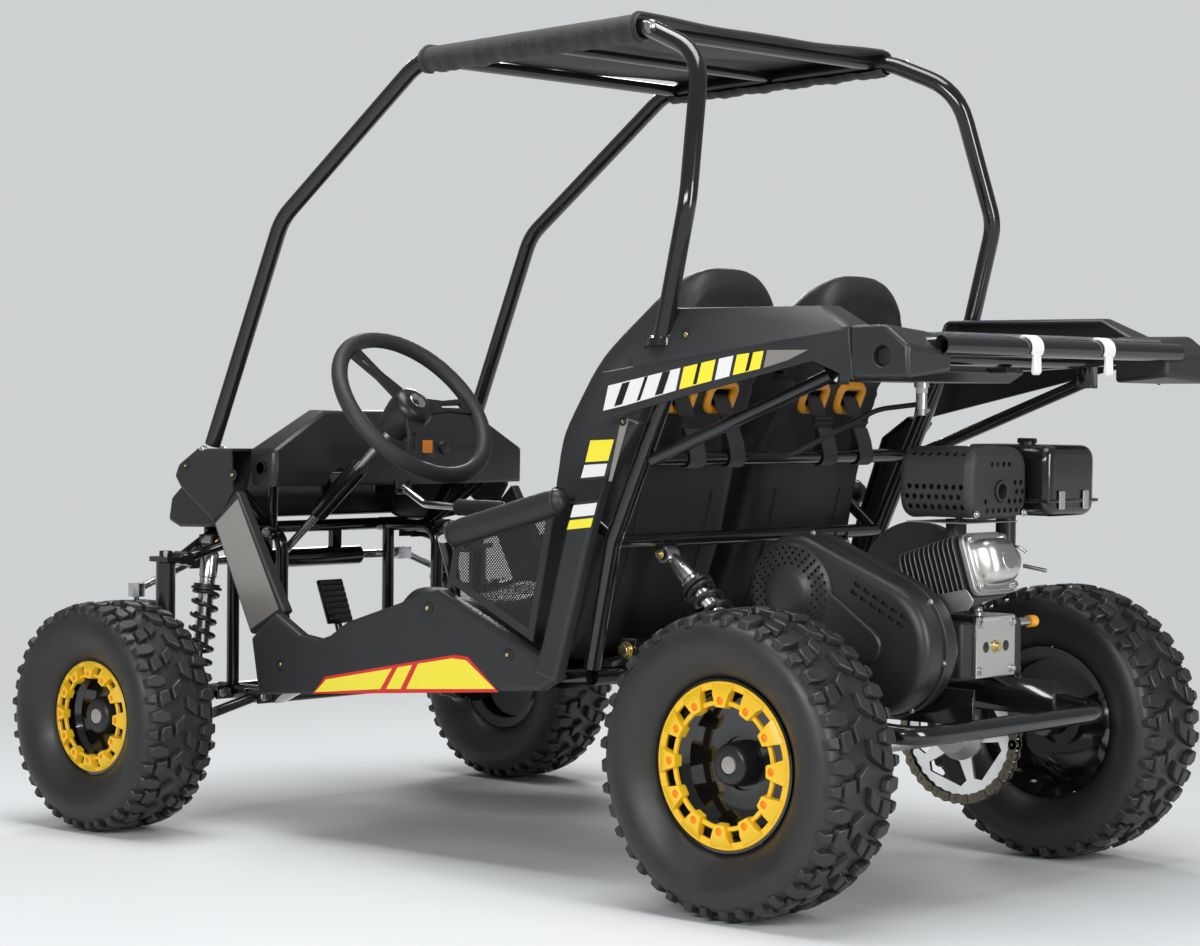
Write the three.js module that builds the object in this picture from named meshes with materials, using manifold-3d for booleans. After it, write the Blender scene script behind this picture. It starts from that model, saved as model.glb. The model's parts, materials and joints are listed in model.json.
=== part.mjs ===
// Two-seat off-road go kart with a tube cage, in millimetres.
// X points forward, Y to the driver's left, Z up. The frame below is built from the rear axle,
// and the whole kart is centred over its own footprint at the end, with the tyres on Z = 0.
import * as THREE from "three";
import { ConvexGeometry } from "three/addons/geometries/ConvexGeometry.js";
import { mergeVertices } from "three/addons/utils/BufferGeometryUtils.js";
import Module from "manifold-3d";

const wasm = await Module();
wasm.setup();

// Driving dimensions
const wheelbase = 1190;
const frontTrack = 910;
const rearTrack = 745;
const cageHeight = 1184;
const bodyHalf = 340;
const fit = 0.4; // gap left between pieces that touch
const overrun = 5; // how far a cutting tool runs past what it cuts
const seam = 0.1; // how far a point on a joined surface may move when its seams are tidied

const frontWheel = { radius: 178, half: 70, bead: 77, ring: 88, back: 38, lug: 8, capOut: 34 };
const rearWheel = { radius: 203, half: 75, bead: 102, ring: 112, back: 44, lug: 9, capOut: 38 };
const hub = { radius: 30, disc: 2, plate: 5, boreGap: 0.8, spindleOut: 20, boreEnd: 22 };
const spindle = 8;
const axle = 13;
const ringPlate = { thick: 5, lugRise: 9 };
const lugCount = 12;
const treadPitches = 10;

const floor = { frontX: 1000, frontZ: 213, rearX: 345, rearZ: 270, pan: 2.5 };
const rail = { radius: 12.5, half: 290, rise: 14, bend: 60 };
const nose = { half: 175, tube: 10, rearX: 1115, postX: 1232, frontX: 1262 };

const arm = {
  innerHalf: 205, lowerZ: 192, upperZ: 454, outerHalf: 318, drop: 40,
  spread: 50, meet: 6, bushLength: 26, bush: 11, leg: 8, pin: 5, pinGap: 0.9, tab: 4,
};
const kingpin = { half: 352, bolt: 7, tube: 15, plate: 8, width: 44, head: 11, headHeight: 9, gap: 0.6 };
const steering = {
  armAhead: 74, armZ: 340, armRadius: 8, eye: 18, eyeBore: 12, eyeHeight: 10, rodZ: 402, cap: 13, capHeight: 20,
  stud: 4.5, studDrop: 14, trail: 3, rod: 6, rackTube: 16, rackHalf: 130, rack: 7, rackGap: 0.8, joint: 10,
};
// A tie rod is as long as an arm and lies at the same slope, so all three swing together
const rackEndHalf = kingpin.half - (arm.outerHalf - arm.innerHalf);
const wheelRim = {
  half: 158, centreX: 838, centreZ: 657, tilt: 39, radius: 133, grip: 12, boss: 34, bossLength: 52,
  spoke: 26, spokeThick: 6, shaft: 6, shaftLength: 392, jacket: 15, jacketStart: 150, jacketLength: 120,
};
const frontShock = { topHalf: 258, topZ: 438, lowHalf: 292, lowZ: 186 };
const rearShock = { half: 200, topX: 285, topZ: 455, lowX: 95, lowZ: 300 };
const shock = {
  eye: 12, eyeWidth: 22, pin: 4, body: 14, rod: 5, rodGap: 2.4, coil: 19, wire: 3.5, seat: 24, seatThick: 4,
  earGap: 1, ear: 4,
};
const swing = { pivotX: 335, pivotZ: 318, half: 205, sleeve: 15, pin: 7, tube: 13 };
const drive = { chainHalf: -110, teeth: 37, pitch: 15.875, outputTeeth: 12, outputX: -62, outputZ: 332 };
const cage = {
  tube: 12.5, bend: 90, footX: 1155, footHalf: 287, footZ: 594, kneeX: 1003, kneeHalf: 281, kneeZ: 944,
  browX: 706, browHalf: 281, browZ: 1166, tailX: 262, tailHalf: 281, tailZ: 1184,
  shoulderX: 150, shoulderHalf: 300, shoulderZ: 1138, hipX: 121, hipHalf: 358, hipZ: 939,
  rearX: 168, rearHalf: 354, rearZ: 748, foot: 19, footThick: 6, footSink: 3.5,
};
const rack = { railHalf: 311, tailHalf: 288, frontX: 178, frontZ: 722, rearX: -238, rearZ: 744, tube: 12.5 };

const lugShare = 0.38;
const lugStraddle = (Math.PI / treadPitches) * lugShare; // half of the angle that one lug covers
const frontAxleZ = frontWheel.radius * Math.cos(lugStraddle);
const rearAxleZ = rearWheel.radius * Math.cos(lugStraddle);

// Materials
const finish = (colour, roughness, metalness = 0) =>
  new THREE.MeshStandardMaterial({ color: colour, roughness, metalness });
const glossBlack = finish(0x0c0c0d, 0.22, 0.3);
const mattePlastic = finish(0x2b2b2c, 0.62);
const tyreRubber = finish(0x252423, 0.85);
const rimYellow = finish(0xffcc22, 0.4);
const seatCover = finish(0x1d1d1f, 0.7);
const cloth = finish(0x161617, 0.9);
const brightMetal = finish(0xb9bcc0, 0.3, 0.9);
const castMetal = finish(0x9a9c9e, 0.5, 0.8);
const heatBlack = finish(0x3a3835, 0.75, 0.2);
const clearSheet = finish(0xaeb4b8, 0.15);

// Closed meshes and solids
const bare = (geometry) => {
  const loose = geometry.index ? geometry.toNonIndexed() : geometry.clone();
  const plain = new THREE.BufferGeometry().setAttribute("position", loose.getAttribute("position"));
  return mergeVertices(plain, 1e-3);
};
const volumeOf = (geometry) => {
  const places = geometry.getAttribute("position");
  const [a, b, c] = [new THREE.Vector3(), new THREE.Vector3(), new THREE.Vector3()];
  let sum = 0;
  for (let i = 0; i < geometry.index.count; i += 3) {
    a.fromBufferAttribute(places, geometry.index.getX(i));
    b.fromBufferAttribute(places, geometry.index.getX(i + 1));
    c.fromBufferAttribute(places, geometry.index.getX(i + 2));
    sum += a.dot(b.cross(c));
  }
  return sum;
};
const turnedOver = (geometry) => {
  const index = geometry.index.array;
  for (let i = 0; i < index.length; i += 3) [index[i + 1], index[i + 2]] = [index[i + 2], index[i + 1]];
  return geometry;
};
const facesOut = (geometry) => {
  const closed = bare(geometry);
  return volumeOf(closed) < 0 ? turnedOver(closed) : closed;
};
const solidOf = (geometry) => {
  const closed = facesOut(geometry);
  return new wasm.Manifold(
    new wasm.Mesh({
      numProp: 3,
      vertProperties: new Float32Array(closed.getAttribute("position").array),
      triVerts: new Uint32Array(closed.index.array),
    }),
  );
};
const geometryOf = (solid) => {
  const mesh = solid.simplify(seam).getMesh();
  const places = new Float32Array(mesh.numVert * 3);
  for (let i = 0; i < mesh.numVert; i++)
    places.set(mesh.vertProperties.subarray(i * mesh.numProp, i * mesh.numProp + 3), i * 3);
  return new THREE.BufferGeometry()
    .setAttribute("position", new THREE.BufferAttribute(places, 3))
    .setIndex(new THREE.BufferAttribute(new Uint32Array(mesh.triVerts), 1));
};
const join = (...pieces) => geometryOf(pieces.map(solidOf).reduce((whole, next) => whole.add(next)));
const cut = (piece, ...tools) =>
  geometryOf(tools.map(solidOf).reduce((left, tool) => left.subtract(tool), solidOf(piece)));
const moved = (geometry, x, y, z) => geometry.clone().translate(x, y, z);
const mirrored = (geometry) => turnedOver(bare(geometry).scale(1, -1, 1));

// Plain forms
const vector = (place) => new THREE.Vector3(...place);
const polygon = (radius, sides, turn = 0) =>
  Array.from({ length: sides }, (_, i) => {
    const angle = turn + (i * 2 * Math.PI) / sides;
    return [radius * Math.cos(angle), radius * Math.sin(angle)];
  });
const shapeOf = (outline, holes = []) => {
  const flat = (points) => points.map(([x, y]) => new THREE.Vector2(x, y));
  const shape = new THREE.Shape(flat(outline));
  shape.holes = holes.map((hole) => new THREE.Path(flat(hole)));
  return shape;
};
const extruded = (outline, depth, holes) =>
  new THREE.ExtrudeGeometry(shapeOf(outline, holes), { depth, bevelEnabled: false, curveSegments: 1 });
const block = (x0, x1, y0, y1, z0, z1) =>
  new THREE.BoxGeometry(x1 - x0, y1 - y0, z1 - z0).translate((x0 + x1) / 2, (y0 + y1) / 2, (z0 + z1) / 2);
const bar = (from, to, radius, sides = 8, endRadius = radius) => {
  const [start, end] = [vector(from), vector(to)];
  const length = start.distanceTo(end);
  const turn = new THREE.Quaternion().setFromUnitVectors(
    new THREE.Vector3(0, 1, 0),
    end.clone().sub(start).normalize(),
  );
  return new THREE.CylinderGeometry(endRadius, radius, length, sides)
    .applyQuaternion(turn)
    .translate(...start.add(end).multiplyScalar(1 / 2));
};
// An outline in X and Z, from Y = near to Y = near + thick
const sidePlate = (outline, near, thick, holes) =>
  extruded(outline, thick, holes).rotateX(Math.PI / 2).translate(0, near + thick, 0);
// An outline in X and Y, from Z = low to Z = low + thick
const flatPlate = (outline, low, thick, holes) => extruded(outline, thick, holes).translate(0, 0, low);
const hull = (places) => new ConvexGeometry(places.map(vector));
// A closed skin over rings of points, each ring with the same count
const loft = (rings) => {
  const count = rings[0].length;
  const places = rings.flat().flatMap((place) => [...place]);
  const middle = (ring) => [0, 1, 2].map((k) => ring.reduce((sum, place) => sum + place[k], 0) / count);
  places.push(...middle(rings[0]), ...middle(rings.at(-1)));
  const faces = [];
  for (let r = 0; r + 1 < rings.length; r++)
    for (let i = 0; i < count; i++) {
      const [a, b] = [r * count + i, r * count + ((i + 1) % count)];
      faces.push(a, b, b + count, a, b + count, a + count);
    }
  const [first, last] = [rings.length * count, rings.length * count + 1];
  for (let i = 0; i < count; i++) {
    const next = (i + 1) % count;
    faces.push(first, next, i, last, (rings.length - 1) * count + i, (rings.length - 1) * count + next);
  }
  return new THREE.BufferGeometry()
    .setAttribute("position", new THREE.Float32BufferAttribute(places, 3))
    .setIndex(faces);
};
// An outline moved inward by a wall on every edge
const inset = (outline, wall) => {
  const area = outline.reduce((sum, [x, y], i) => {
    const [nx, ny] = outline[(i + 1) % outline.length];
    return sum + x * ny - nx * y;
  }, 0);
  const side = Math.sign(area);
  return outline.map((place, i) => {
    const point = new THREE.Vector2(...place);
    const before = new THREE.Vector2(...outline.at(i - 1)).sub(point).normalize();
    const after = new THREE.Vector2(...outline[(i + 1) % outline.length]).sub(point).normalize();
    const inward = new THREE.Vector2(-after.y, after.x).add(new THREE.Vector2(before.y, -before.x));
    const reach = wall / Math.max(inward.lengthSq() / 2, 1 / 2);
    return point.add(inward.multiplyScalar(reach * side)).toArray();
  });
};
const scaled = (shares, length, height) => shares.map(([x, z]) => [x * length, z * height]);

// Bent tubes
class Route extends THREE.Curve {
  constructor(stations) {
    super();
    this.stations = stations;
  }
  getPoint(t, target = new THREE.Vector3()) {
    const last = this.stations.length - 1;
    const index = Math.min(Math.floor(t * last + 1e-9), last - 1);
    return target.lerpVectors(this.stations[index], this.stations[index + 1], t * last - index);
  }
  getPointAt(u, target) {
    return this.getPoint(u, target);
  }
  getTangentAt(u, target = new THREE.Vector3()) {
    const last = this.stations.length - 1;
    const index = Math.round(u * last);
    const here = this.stations[index];
    const before = this.stations[Math.max(index - 1, 0)];
    const after = this.stations[Math.min(index + 1, last)];
    const ahead = after.clone().sub(here).normalize();
    return target.copy(here).sub(before).normalize().add(ahead).normalize();
  }
}
const rounded = (places, bend, steps) => {
  const points = places.map(vector);
  const stations = [points[0]];
  for (let i = 1; i + 1 < points.length; i++) {
    const into = points[i].clone().sub(points[i - 1]);
    const out = points[i + 1].clone().sub(points[i]);
    const angle = into.angleTo(out);
    const reach = Math.min(bend * Math.tan(angle / 2), into.length() * 0.48, out.length() * 0.48);
    const start = points[i].clone().addScaledVector(into.normalize(), -reach);
    const end = points[i].clone().addScaledVector(out.normalize(), reach);
    const curve = new THREE.QuadraticBezierCurve3(start, points[i], end);
    stations.push(...curve.getPoints(steps));
  }
  return [...stations, points.at(-1)];
};
const tube = (places, radius, bend = 0, sides = 8, steps = 4) => {
  const stations = bend ? rounded(places, bend, steps) : places.map(vector);
  return new THREE.ExtrudeGeometry(shapeOf(polygon(radius, sides, Math.PI / sides)), {
    steps: stations.length - 1,
    extrudePath: new Route(stations),
  });
};

// A coil spring between two points: one unbroken tube
const coil = (from, to, radius, wire, turns) => {
  const [steps, sides] = [8, 5];
  const [start, end] = [vector(from), vector(to)];
  const axis = end.clone().sub(start);
  const side = new THREE.Vector3(1, 0, 0).projectOnPlane(axis).normalize();
  const across = axis.clone().normalize().cross(side);
  const centre = (t) => {
    const angle = 2 * Math.PI * turns * t;
    return start.clone().addScaledVector(axis, t)
      .addScaledVector(side, radius * Math.cos(angle))
      .addScaledVector(across, radius * Math.sin(angle));
  };
  const count = steps * turns;
  const rings = Array.from({ length: count + 1 }, (_, i) => {
    const t = i / count;
    const angle = 2 * Math.PI * turns * t;
    const outward = side.clone().multiplyScalar(Math.cos(angle)).addScaledVector(across, Math.sin(angle));
    const along = axis.clone().normalize();
    return polygon(wire, sides).map(([u, v]) =>
      centre(t).addScaledVector(outward, u).addScaledVector(along, v).toArray(),
    );
  });
  const pitch = axis.length() / turns;
  const middles = Array.from({ length: count + 1 }, (_, i) => centre(i / count));
  let least = Infinity;
  middles.forEach((a, i) =>
    middles.slice(i + steps / 2 + 1).forEach((b) => (least = Math.min(least, a.distanceTo(b)))),
  );
  console.log(`coil: pitch ${pitch.toFixed(1)} mm, least gap ${(least - 2 * wire).toFixed(2)} mm`);
  return loft(rings);
};

// Wheels, about the Y axis with the outer face at +Y
const tyreColumnShares = [[1, 0.6, 0], [0.9, 0.92, 1], [0.07, 1, 1], [-0.07, 1, 2], [-0.9, 0.92, 2], [-1, 0.6, 0]];
const lugStationShares = [0, 1 / 2 - lugShare, 1 / 2, 1 - lugShare];
const tyre = (size) => {
  const stations = treadPitches * lugStationShares.length;
  const height = size.radius - size.bead;
  const inside = (size.ring + 2 * fit) / Math.cos(lugStraddle);
  const columns = [
    [size.back, inside, 0],
    ...tyreColumnShares.map(([a, r, lug]) => [a * size.half, size.bead + r * height, lug]),
    [-size.back, inside, 0],
  ];
  const pitch = (2 * Math.PI) / treadPitches;
  const down = -Math.PI / 2 - pitch * ((lugStationShares[1] + lugStationShares[2]) / 2);
  const places = [];
  for (let p = 0; p < treadPitches; p++)
    lugStationShares.forEach((share, s) => {
      const angle = down + pitch * (p + share);
      const raised = s === 1 || s === 2 ? 1 : 2;
      columns.forEach(([a, r, lug]) => {
        const radius = lug && lug !== raised ? r - size.lug : r;
        places.push(radius * Math.cos(angle), a, radius * Math.sin(angle));
      });
    });
  const faces = [];
  const n = columns.length;
  for (let s = 0; s < stations; s++)
    for (let c = 0; c < n; c++) {
      const [a, b] = [s * n + c, s * n + ((c + 1) % n)];
      const [d, e] = [((s + 1) % stations) * n + c, ((s + 1) % stations) * n + ((c + 1) % n)];
      faces.push(a, b, e, a, e, d);
    }
  return new THREE.BufferGeometry()
    .setAttribute("position", new THREE.Float32BufferAttribute(places, 3))
    .setIndex(faces);
};
const rimSides = 16;
const ringInnerShare = 0.76;
const lugSpotShares = { outer: 0.98, middle: 0.84, inner: 0.68 };
const lugAngleShares = { outer: 0.36, inner: 0.22 };
const rim = (size, bore) => {
  const barrel = size.bead - hub.plate;
  const face = size.back + ringPlate.thick;
  const profile = [
    [bore, hub.disc], [barrel, hub.disc], [barrel, -size.back], [size.ring, -size.back], [size.ring, face],
    [size.ring * ringInnerShare, face], [size.ring * ringInnerShare, size.back],
    [barrel, hub.disc + hub.plate], [hub.radius, hub.disc + hub.plate], [hub.radius - hub.plate, size.capOut],
    [0, size.capOut], [0, hub.boreEnd], [bore, hub.boreEnd], [bore, hub.disc],
  ];
  const revolved = new THREE.LatheGeometry(profile.map(([r, a]) => new THREE.Vector2(r, a)), rimSides);
  const lugs = Array.from({ length: lugCount }, (_, i) => {
    const corner = (share, reach, a) => {
      const angle = (2 * Math.PI * (i + reach)) / lugCount;
      return [share * size.ring * Math.cos(angle), a, share * size.ring * Math.sin(angle)];
    };
    const [wide, thin] = [lugAngleShares.outer, lugAngleShares.inner];
    return hull([1, -1].flatMap((s) => [
      corner(lugSpotShares.outer, wide * s, face - fit),
      corner(lugSpotShares.middle, thin * s, face + ringPlate.lugRise),
      corner(lugSpotShares.inner, thin * s, face + ringPlate.lugRise / 2),
      corner(lugSpotShares.inner, thin * s, size.back),
    ]));
  });
  return join(revolved, ...lugs);
};

// The kart as a scene
const kart = new THREE.Group();
const group = () => {
  const made = new THREE.Group();
  kart.add(made);
  return made;
};
const piece = (parent, name, geometry, material, pivot = [0, 0, 0]) => {
  const closed = bare(geometryOf(solidOf(geometry)));
  const mesh = new THREE.Mesh(closed.translate(...pivot.map((p) => -p)), material);
  mesh.name = name;
  mesh.position.set(...pivot);
  parent.add(mesh);
};
const sides = { left: 1, right: -1 };
const onSide = (geometry, side) => (side > 0 ? geometry : mirrored(geometry));
const sidePlace = ([x, y, z], side) => [x, y * side, z];
const pair = (parent, name, geometry, material, pivot = [0, 0, 0]) => {
  for (const [word, side] of Object.entries(sides))
    piece(parent, `${name}_${word}`, onSide(geometry, side), material, sidePlace(pivot, side));
};
const both = (geometry) => [geometry, mirrored(geometry)];

const floorZ = (x) =>
  floor.frontZ + ((floor.frontX - x) / (floor.frontX - floor.rearX)) * (floor.rearZ - floor.frontZ);
const railZ = (x) => floorZ(x) + rail.rise;

const chassis = group();

// Lower frame: side rails, cross tubes, floor pan and the box that carries the front suspension
const railRoute = [
  [floor.rearX, rail.half, railZ(floor.rearX)],
  [floor.frontX - rail.bend, rail.half, railZ(floor.frontX - rail.bend)],
  [nose.rearX, nose.half, arm.lowerZ],
  [nose.frontX, nose.half, arm.lowerZ],
];
const crossTube = (x, half, z, radius) => bar([x, -half, z], [x, half, z], radius, 6);
const pinAlongX = (x0, x1, y, z, radius) => bar([x0, y, z], [x1, y, z], radius, 6);
const bushPlaces = [-1, 1].map((end) => wheelbase + end * arm.spread);
const armTabs = (pivotZ) =>
  bushPlaces.flatMap((x) => {
    const near = arm.bushLength / 2 + fit;
    const reach = near + arm.tab;
    const tabAt = (x0, x1) =>
      block(x0, x1, nose.half, arm.innerHalf + arm.bush, pivotZ - arm.bush, pivotZ + arm.bush);
    return [
      tabAt(x - reach, x - near),
      tabAt(x + near, x + reach),
      pinAlongX(x - reach, x + reach, arm.innerHalf, pivotZ, arm.pin),
    ];
  });
const eyeEars = (x, half, z, towardHalf, rise) => {
  const near = shock.eyeWidth / 2 + shock.earGap;
  const earAt = (x0, x1) =>
    block(x0, x1, Math.min(half - shock.eye, towardHalf), Math.max(half + shock.eye, towardHalf),
      z - shock.eye / 3, z + shock.eye + rise);
  return [
    earAt(x - near - shock.ear, x - near),
    earAt(x + near, x + near + shock.ear),
    pinAlongX(x - near - shock.ear, x + near + shock.ear, half, z, shock.pin),
  ];
};
const towerSize = { supportX: 1140, clevisGap: 18, clevisHeight: 34, clevisWide: 34 };
const clevisZ = cage.footZ;
const pillarClevis = () => {
  const [x, y] = [cage.footX, cage.footHalf];
  const reach = towerSize.clevisGap;
  const wide = towerSize.clevisWide / 2;
  return [
    block(x - reach, x + reach, y - wide, y + wide, clevisZ - towerSize.clevisHeight / 2, clevisZ - cage.tube / 2),
  ];
};
const dashBar = { x: 1044, z: 560, half: 286, radius: 10 };
const gearCase = { back: 22, half: 20, low: 18, high: 18 };
const columnTop = [wheelRim.centreX, wheelRim.half, wheelRim.centreZ];
const tiltAngle = THREE.MathUtils.degToRad(wheelRim.tilt);
const alongColumn = (distance) => [
  columnTop[0] + distance * Math.cos(tiltAngle),
  columnTop[1],
  columnTop[2] - distance * Math.sin(tiltAngle),
];
const rackX = wheelbase + steering.armAhead - steering.trail;
const sillShares = [
  [0.843, 0.254], [0.797, 0.289], [0.75, 0.264], [0.716, 0.26], [0.696, 0.266], [0.665, 0.285],
  [0.504, 0.335], [0.354, 0.271], [0.302, 0.241], [0.335, 0.222], [0.715, 0.192], [0.829, 0.181],
];
const sillBracketShares = [0.42, 0.56, 0.75];
const panelWall = 3;
const panelDepth = 20;
const sillInner = bodyHalf - panelDepth;
const armrest = { frontX: 574, frontZ: 474, rearX: 348, rearZ: 533, half: 345, thick: 15, tube: 9, footHalf: 298 };
const seatPlace = { half: 152, width: 268, postX: 450, frontPostX: 690, post: 12 };
const seatUnder = (x) => cageHeight * 0.25 + (x - wheelbase * 0.336) * 0.0765;
const columnEnd = alongColumn(wheelRim.shaftLength);
const mainFrame = () => {
  const half = [
    tube(railRoute, rail.radius, rail.bend, 6, 2),
    tube([[nose.frontX, nose.half, arm.upperZ], [nose.rearX, nose.half, arm.upperZ],
      [nose.rearX, nose.half, arm.lowerZ]], nose.tube, nose.tube * 3, 6, 2),
    bar([nose.postX, nose.half, arm.lowerZ], [nose.postX, nose.half, arm.upperZ], nose.tube, 6),
    bar([towerSize.supportX, nose.half, arm.upperZ],
      [cage.footX, cage.footHalf, clevisZ - towerSize.clevisHeight / 2 + fit], nose.tube, 6),
    ...armTabs(arm.lowerZ),
    ...armTabs(arm.upperZ),
    ...eyeEars(wheelbase, frontShock.topHalf, frontShock.topZ, nose.half, 0),
    ...pillarClevis(),
    ...sillBracketShares.map((share) => {
      const x = share * wheelbase;
      return block(x - rail.radius, x + rail.radius, rail.half, sillInner + panelDepth - panelWall - fit,
        railZ(x) - rail.radius / 2, railZ(x) + rail.radius / 2);
    }),
    tube([[armrest.frontX + rail.bend / 2, armrest.footHalf, railZ(armrest.frontX)],
      [armrest.frontX + rail.bend / 2, rail.half + rail.radius, armrest.frontZ - rail.bend],
      [armrest.frontX + armrest.tube, armrest.half, armrest.frontZ - armrest.tube / 2]],
    armrest.tube, rail.bend / 2, 6, 2),
  ];
  const under = (x, y) => [x, y, floorZ(x)];
  const over = (x, y) => [x, y, floorZ(x) + floor.pan];
  const corners = [[floor.rearX, 1], [floor.rearX, -1], [floor.frontX - rail.bend, 1],
    [floor.frontX - rail.bend, -1]].map(([x, s]) => [x, s * (rail.half + rail.radius)]);
  const toe = [[nose.rearX, nose.half], [nose.rearX, -nose.half]];
  const seatBars = [seatPlace.postX, seatPlace.frontPostX].map((x) =>
    block(x - seatPlace.post / 2, x + seatPlace.post / 2, rail.radius / 3 - rail.half, rail.half - rail.radius / 3,
      floorZ(x), seatUnder(x - seatPlace.post / 2) - fit),
  );
  return join(
    ...half.flatMap(both),
    hull([...corners, ...toe].flatMap(([x, y]) => [under(x, y), over(x, y)])),
    crossTube(floor.rearX, rail.half, railZ(floor.rearX), rail.radius),
    crossTube(floor.frontX - rail.bend, rail.half, railZ(floor.frontX - rail.bend), rail.radius),
    crossTube(nose.rearX, nose.half, arm.lowerZ, nose.tube),
    crossTube(nose.frontX, nose.half, arm.lowerZ, nose.tube),
    crossTube(nose.frontX, nose.half, arm.upperZ, nose.tube),
    bar([dashBar.x, -dashBar.half, dashBar.z], [dashBar.x, dashBar.half, dashBar.z], dashBar.radius, 6),
    ...[1, -1].map((s) => bar([towerSize.supportX, s * nose.half, arm.upperZ],
      [dashBar.x, s * dashBar.half * 0.9, dashBar.z], arm.leg, 6)),
    ...seatBars,
    ...steeringCase(),
    ...pedalMounts(),
    ...leverBracket(),
  );
};
// The rack tube, its bracket, the case that the column runs into, and the column jacket
const steeringCase = () => {
  const outer = bar([rackX, -steering.rackHalf, steering.rodZ], [rackX, steering.rackHalf, steering.rodZ],
    steering.rackTube, 8);
  const bore = steering.rack + steering.rackGap;
  const inner = bar([rackX, -steering.rackHalf - gearCase.half * 2, steering.rodZ],
    [rackX, steering.rackHalf + gearCase.half * 2, steering.rodZ], bore);
  const hanger = [-1, 1].map((s) => {
    const y = s * steering.rackHalf * 0.6;
    return block(rackX - nose.tube / 2, nose.frontX + nose.tube / 2, y - nose.tube, y + nose.tube,
      steering.rodZ, arm.upperZ);
  });
  const caseEnd = rackX - gearCase.back;
  const [low, high] = [steering.rodZ - gearCase.low, steering.rodZ + gearCase.high];
  const caseBlocks = [
    block(columnEnd[0] + wheelRim.shaft, caseEnd, wheelRim.half - gearCase.half, wheelRim.half + gearCase.half, low,
      high),
    block(caseEnd - gearCase.half, rackX, steering.rackHalf - gearCase.half, steering.rackHalf + gearCase.half, low,
      high),
  ];
  const jacketFrom = alongColumn(wheelRim.jacketStart);
  const jacketTo = alongColumn(wheelRim.jacketStart + wheelRim.jacketLength);
  const beyond = alongColumn(wheelRim.jacketStart + wheelRim.jacketLength + overrun);
  const before = alongColumn(wheelRim.jacketStart - overrun);
  const jacket = cut(bar(jacketFrom, jacketTo, wheelRim.jacket),
    bar(before, beyond, wheelRim.shaft + 2 * kingpin.gap));
  const hangTo = alongColumn(wheelRim.jacketStart + wheelRim.jacketLength * 0.7);
  const strap = cut(bar([hangTo[0], hangTo[1], hangTo[2]], [dashBar.x, wheelRim.half, dashBar.z], nose.tube, 6),
    bar(before, beyond, wheelRim.jacket - 1));
  return [cut(join(outer, ...hanger, ...caseBlocks), inner), join(jacket, strap)];
};
const pedal = { x: 1042, brakeHalf: 225, throttleHalf: 92, rise: 20, reach: 118, lean: 22, arm: 6, pad: 52,
  padHeight: 74, padThick: 8, sleeve: 9, sleeveLength: 24, pin: 5, ear: 4 };
const pedalPivotZ = floorZ(pedal.x) + floor.pan + pedal.rise;
const pedalMounts = () =>
  [pedal.brakeHalf, pedal.throttleHalf].flatMap((y) => {
    const near = pedal.sleeveLength / 2 + fit;
    const ears = [-1, 1].map((s) =>
      block(pedal.x - pedal.sleeve, pedal.x + pedal.sleeve, Math.min(y + s * near, y + s * (near + pedal.ear)),
        Math.max(y + s * near, y + s * (near + pedal.ear)), floorZ(pedal.x + pedal.sleeve),
        pedalPivotZ + pedal.sleeve),
    );
    return [...ears, bar([pedal.x, y - near - pedal.ear, pedalPivotZ], [pedal.x, y + near + pedal.ear, pedalPivotZ],
      pedal.pin, 6)];
  });

// Rear frame: posts behind the seats, rack rails, cross tubes, struts and the mounts of the rear suspension
const post = { footX: floor.rearX, footHalf: 290, midX: 292, midHalf: 308, midZ: 475 };
const strut = { topX: -83, topZ: 706, lowX: 222, lowZ: 590, tube: 9, half: 308 };
const crossLevels = { midX: 246, midZ: 590 };
const swingEar = { thick: 6, radius: 17, gap: 0.8 };
const stub = { x: 366, half: 334, z: 528 };
const footPad = { half: 24, out: 9 };
const rearFrame = () => {
  const footZ = railZ(post.footX) + rail.radius + fit;
  const half = [
    tube([[post.footX, post.footHalf, footZ], [post.midX, post.midHalf, post.midZ],
      [rack.frontX, rack.railHalf, rack.frontZ]], rail.radius, rail.bend, 6, 2),
    bar([rack.frontX, rack.railHalf, rack.frontZ], [rack.rearX, rack.tailHalf, rack.rearZ], rack.tube, 6),
    bar([strut.topX, strut.half, strut.topZ], [strut.lowX, strut.half, strut.lowZ], strut.tube, 6),
    block(strut.topX - rack.tube, strut.topX + rack.tube, rack.tailHalf + fit, strut.half + fit, strut.topZ - rack.tube,
      rack.rearZ - fit),
    block(cage.rearX - footPad.half, cage.rearX + footPad.half, rack.railHalf - rack.tube / 2, cage.rearHalf + footPad.out,
      rack.frontZ, cage.rearZ - cage.footSink - fit),
    bar([post.midX, post.midHalf - armrest.tube, post.midZ], [stub.x, post.midHalf, stub.z], armrest.tube, 6),
    bar([stub.x, post.midHalf - armrest.tube, stub.z], [stub.x, stub.half, stub.z], armrest.tube, 6),
    ...shockEarsAcross(rearShock.topX, rearShock.topZ, rearShock.topX - shock.eye / 3, post.midX,
      rearShock.topZ - shock.eye * 0.4, post.midZ),
    ...swingEars(),
  ];
  return join(
    ...half.flatMap(both),
    crossTube(post.midX, post.midHalf, post.midZ, nose.tube),
    crossTube(crossLevels.midX, rack.railHalf - fit, crossLevels.midZ, nose.tube),
    crossTube(rack.frontX, rack.railHalf, rack.frontZ, rack.tube),
    crossTube(rack.rearX, rack.tailHalf, rack.rearZ, rack.tube),
    crossTube(strut.topX, rack.tailHalf + fit, rack.rearZ - rack.tube, nose.tube),
  );
};
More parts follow.
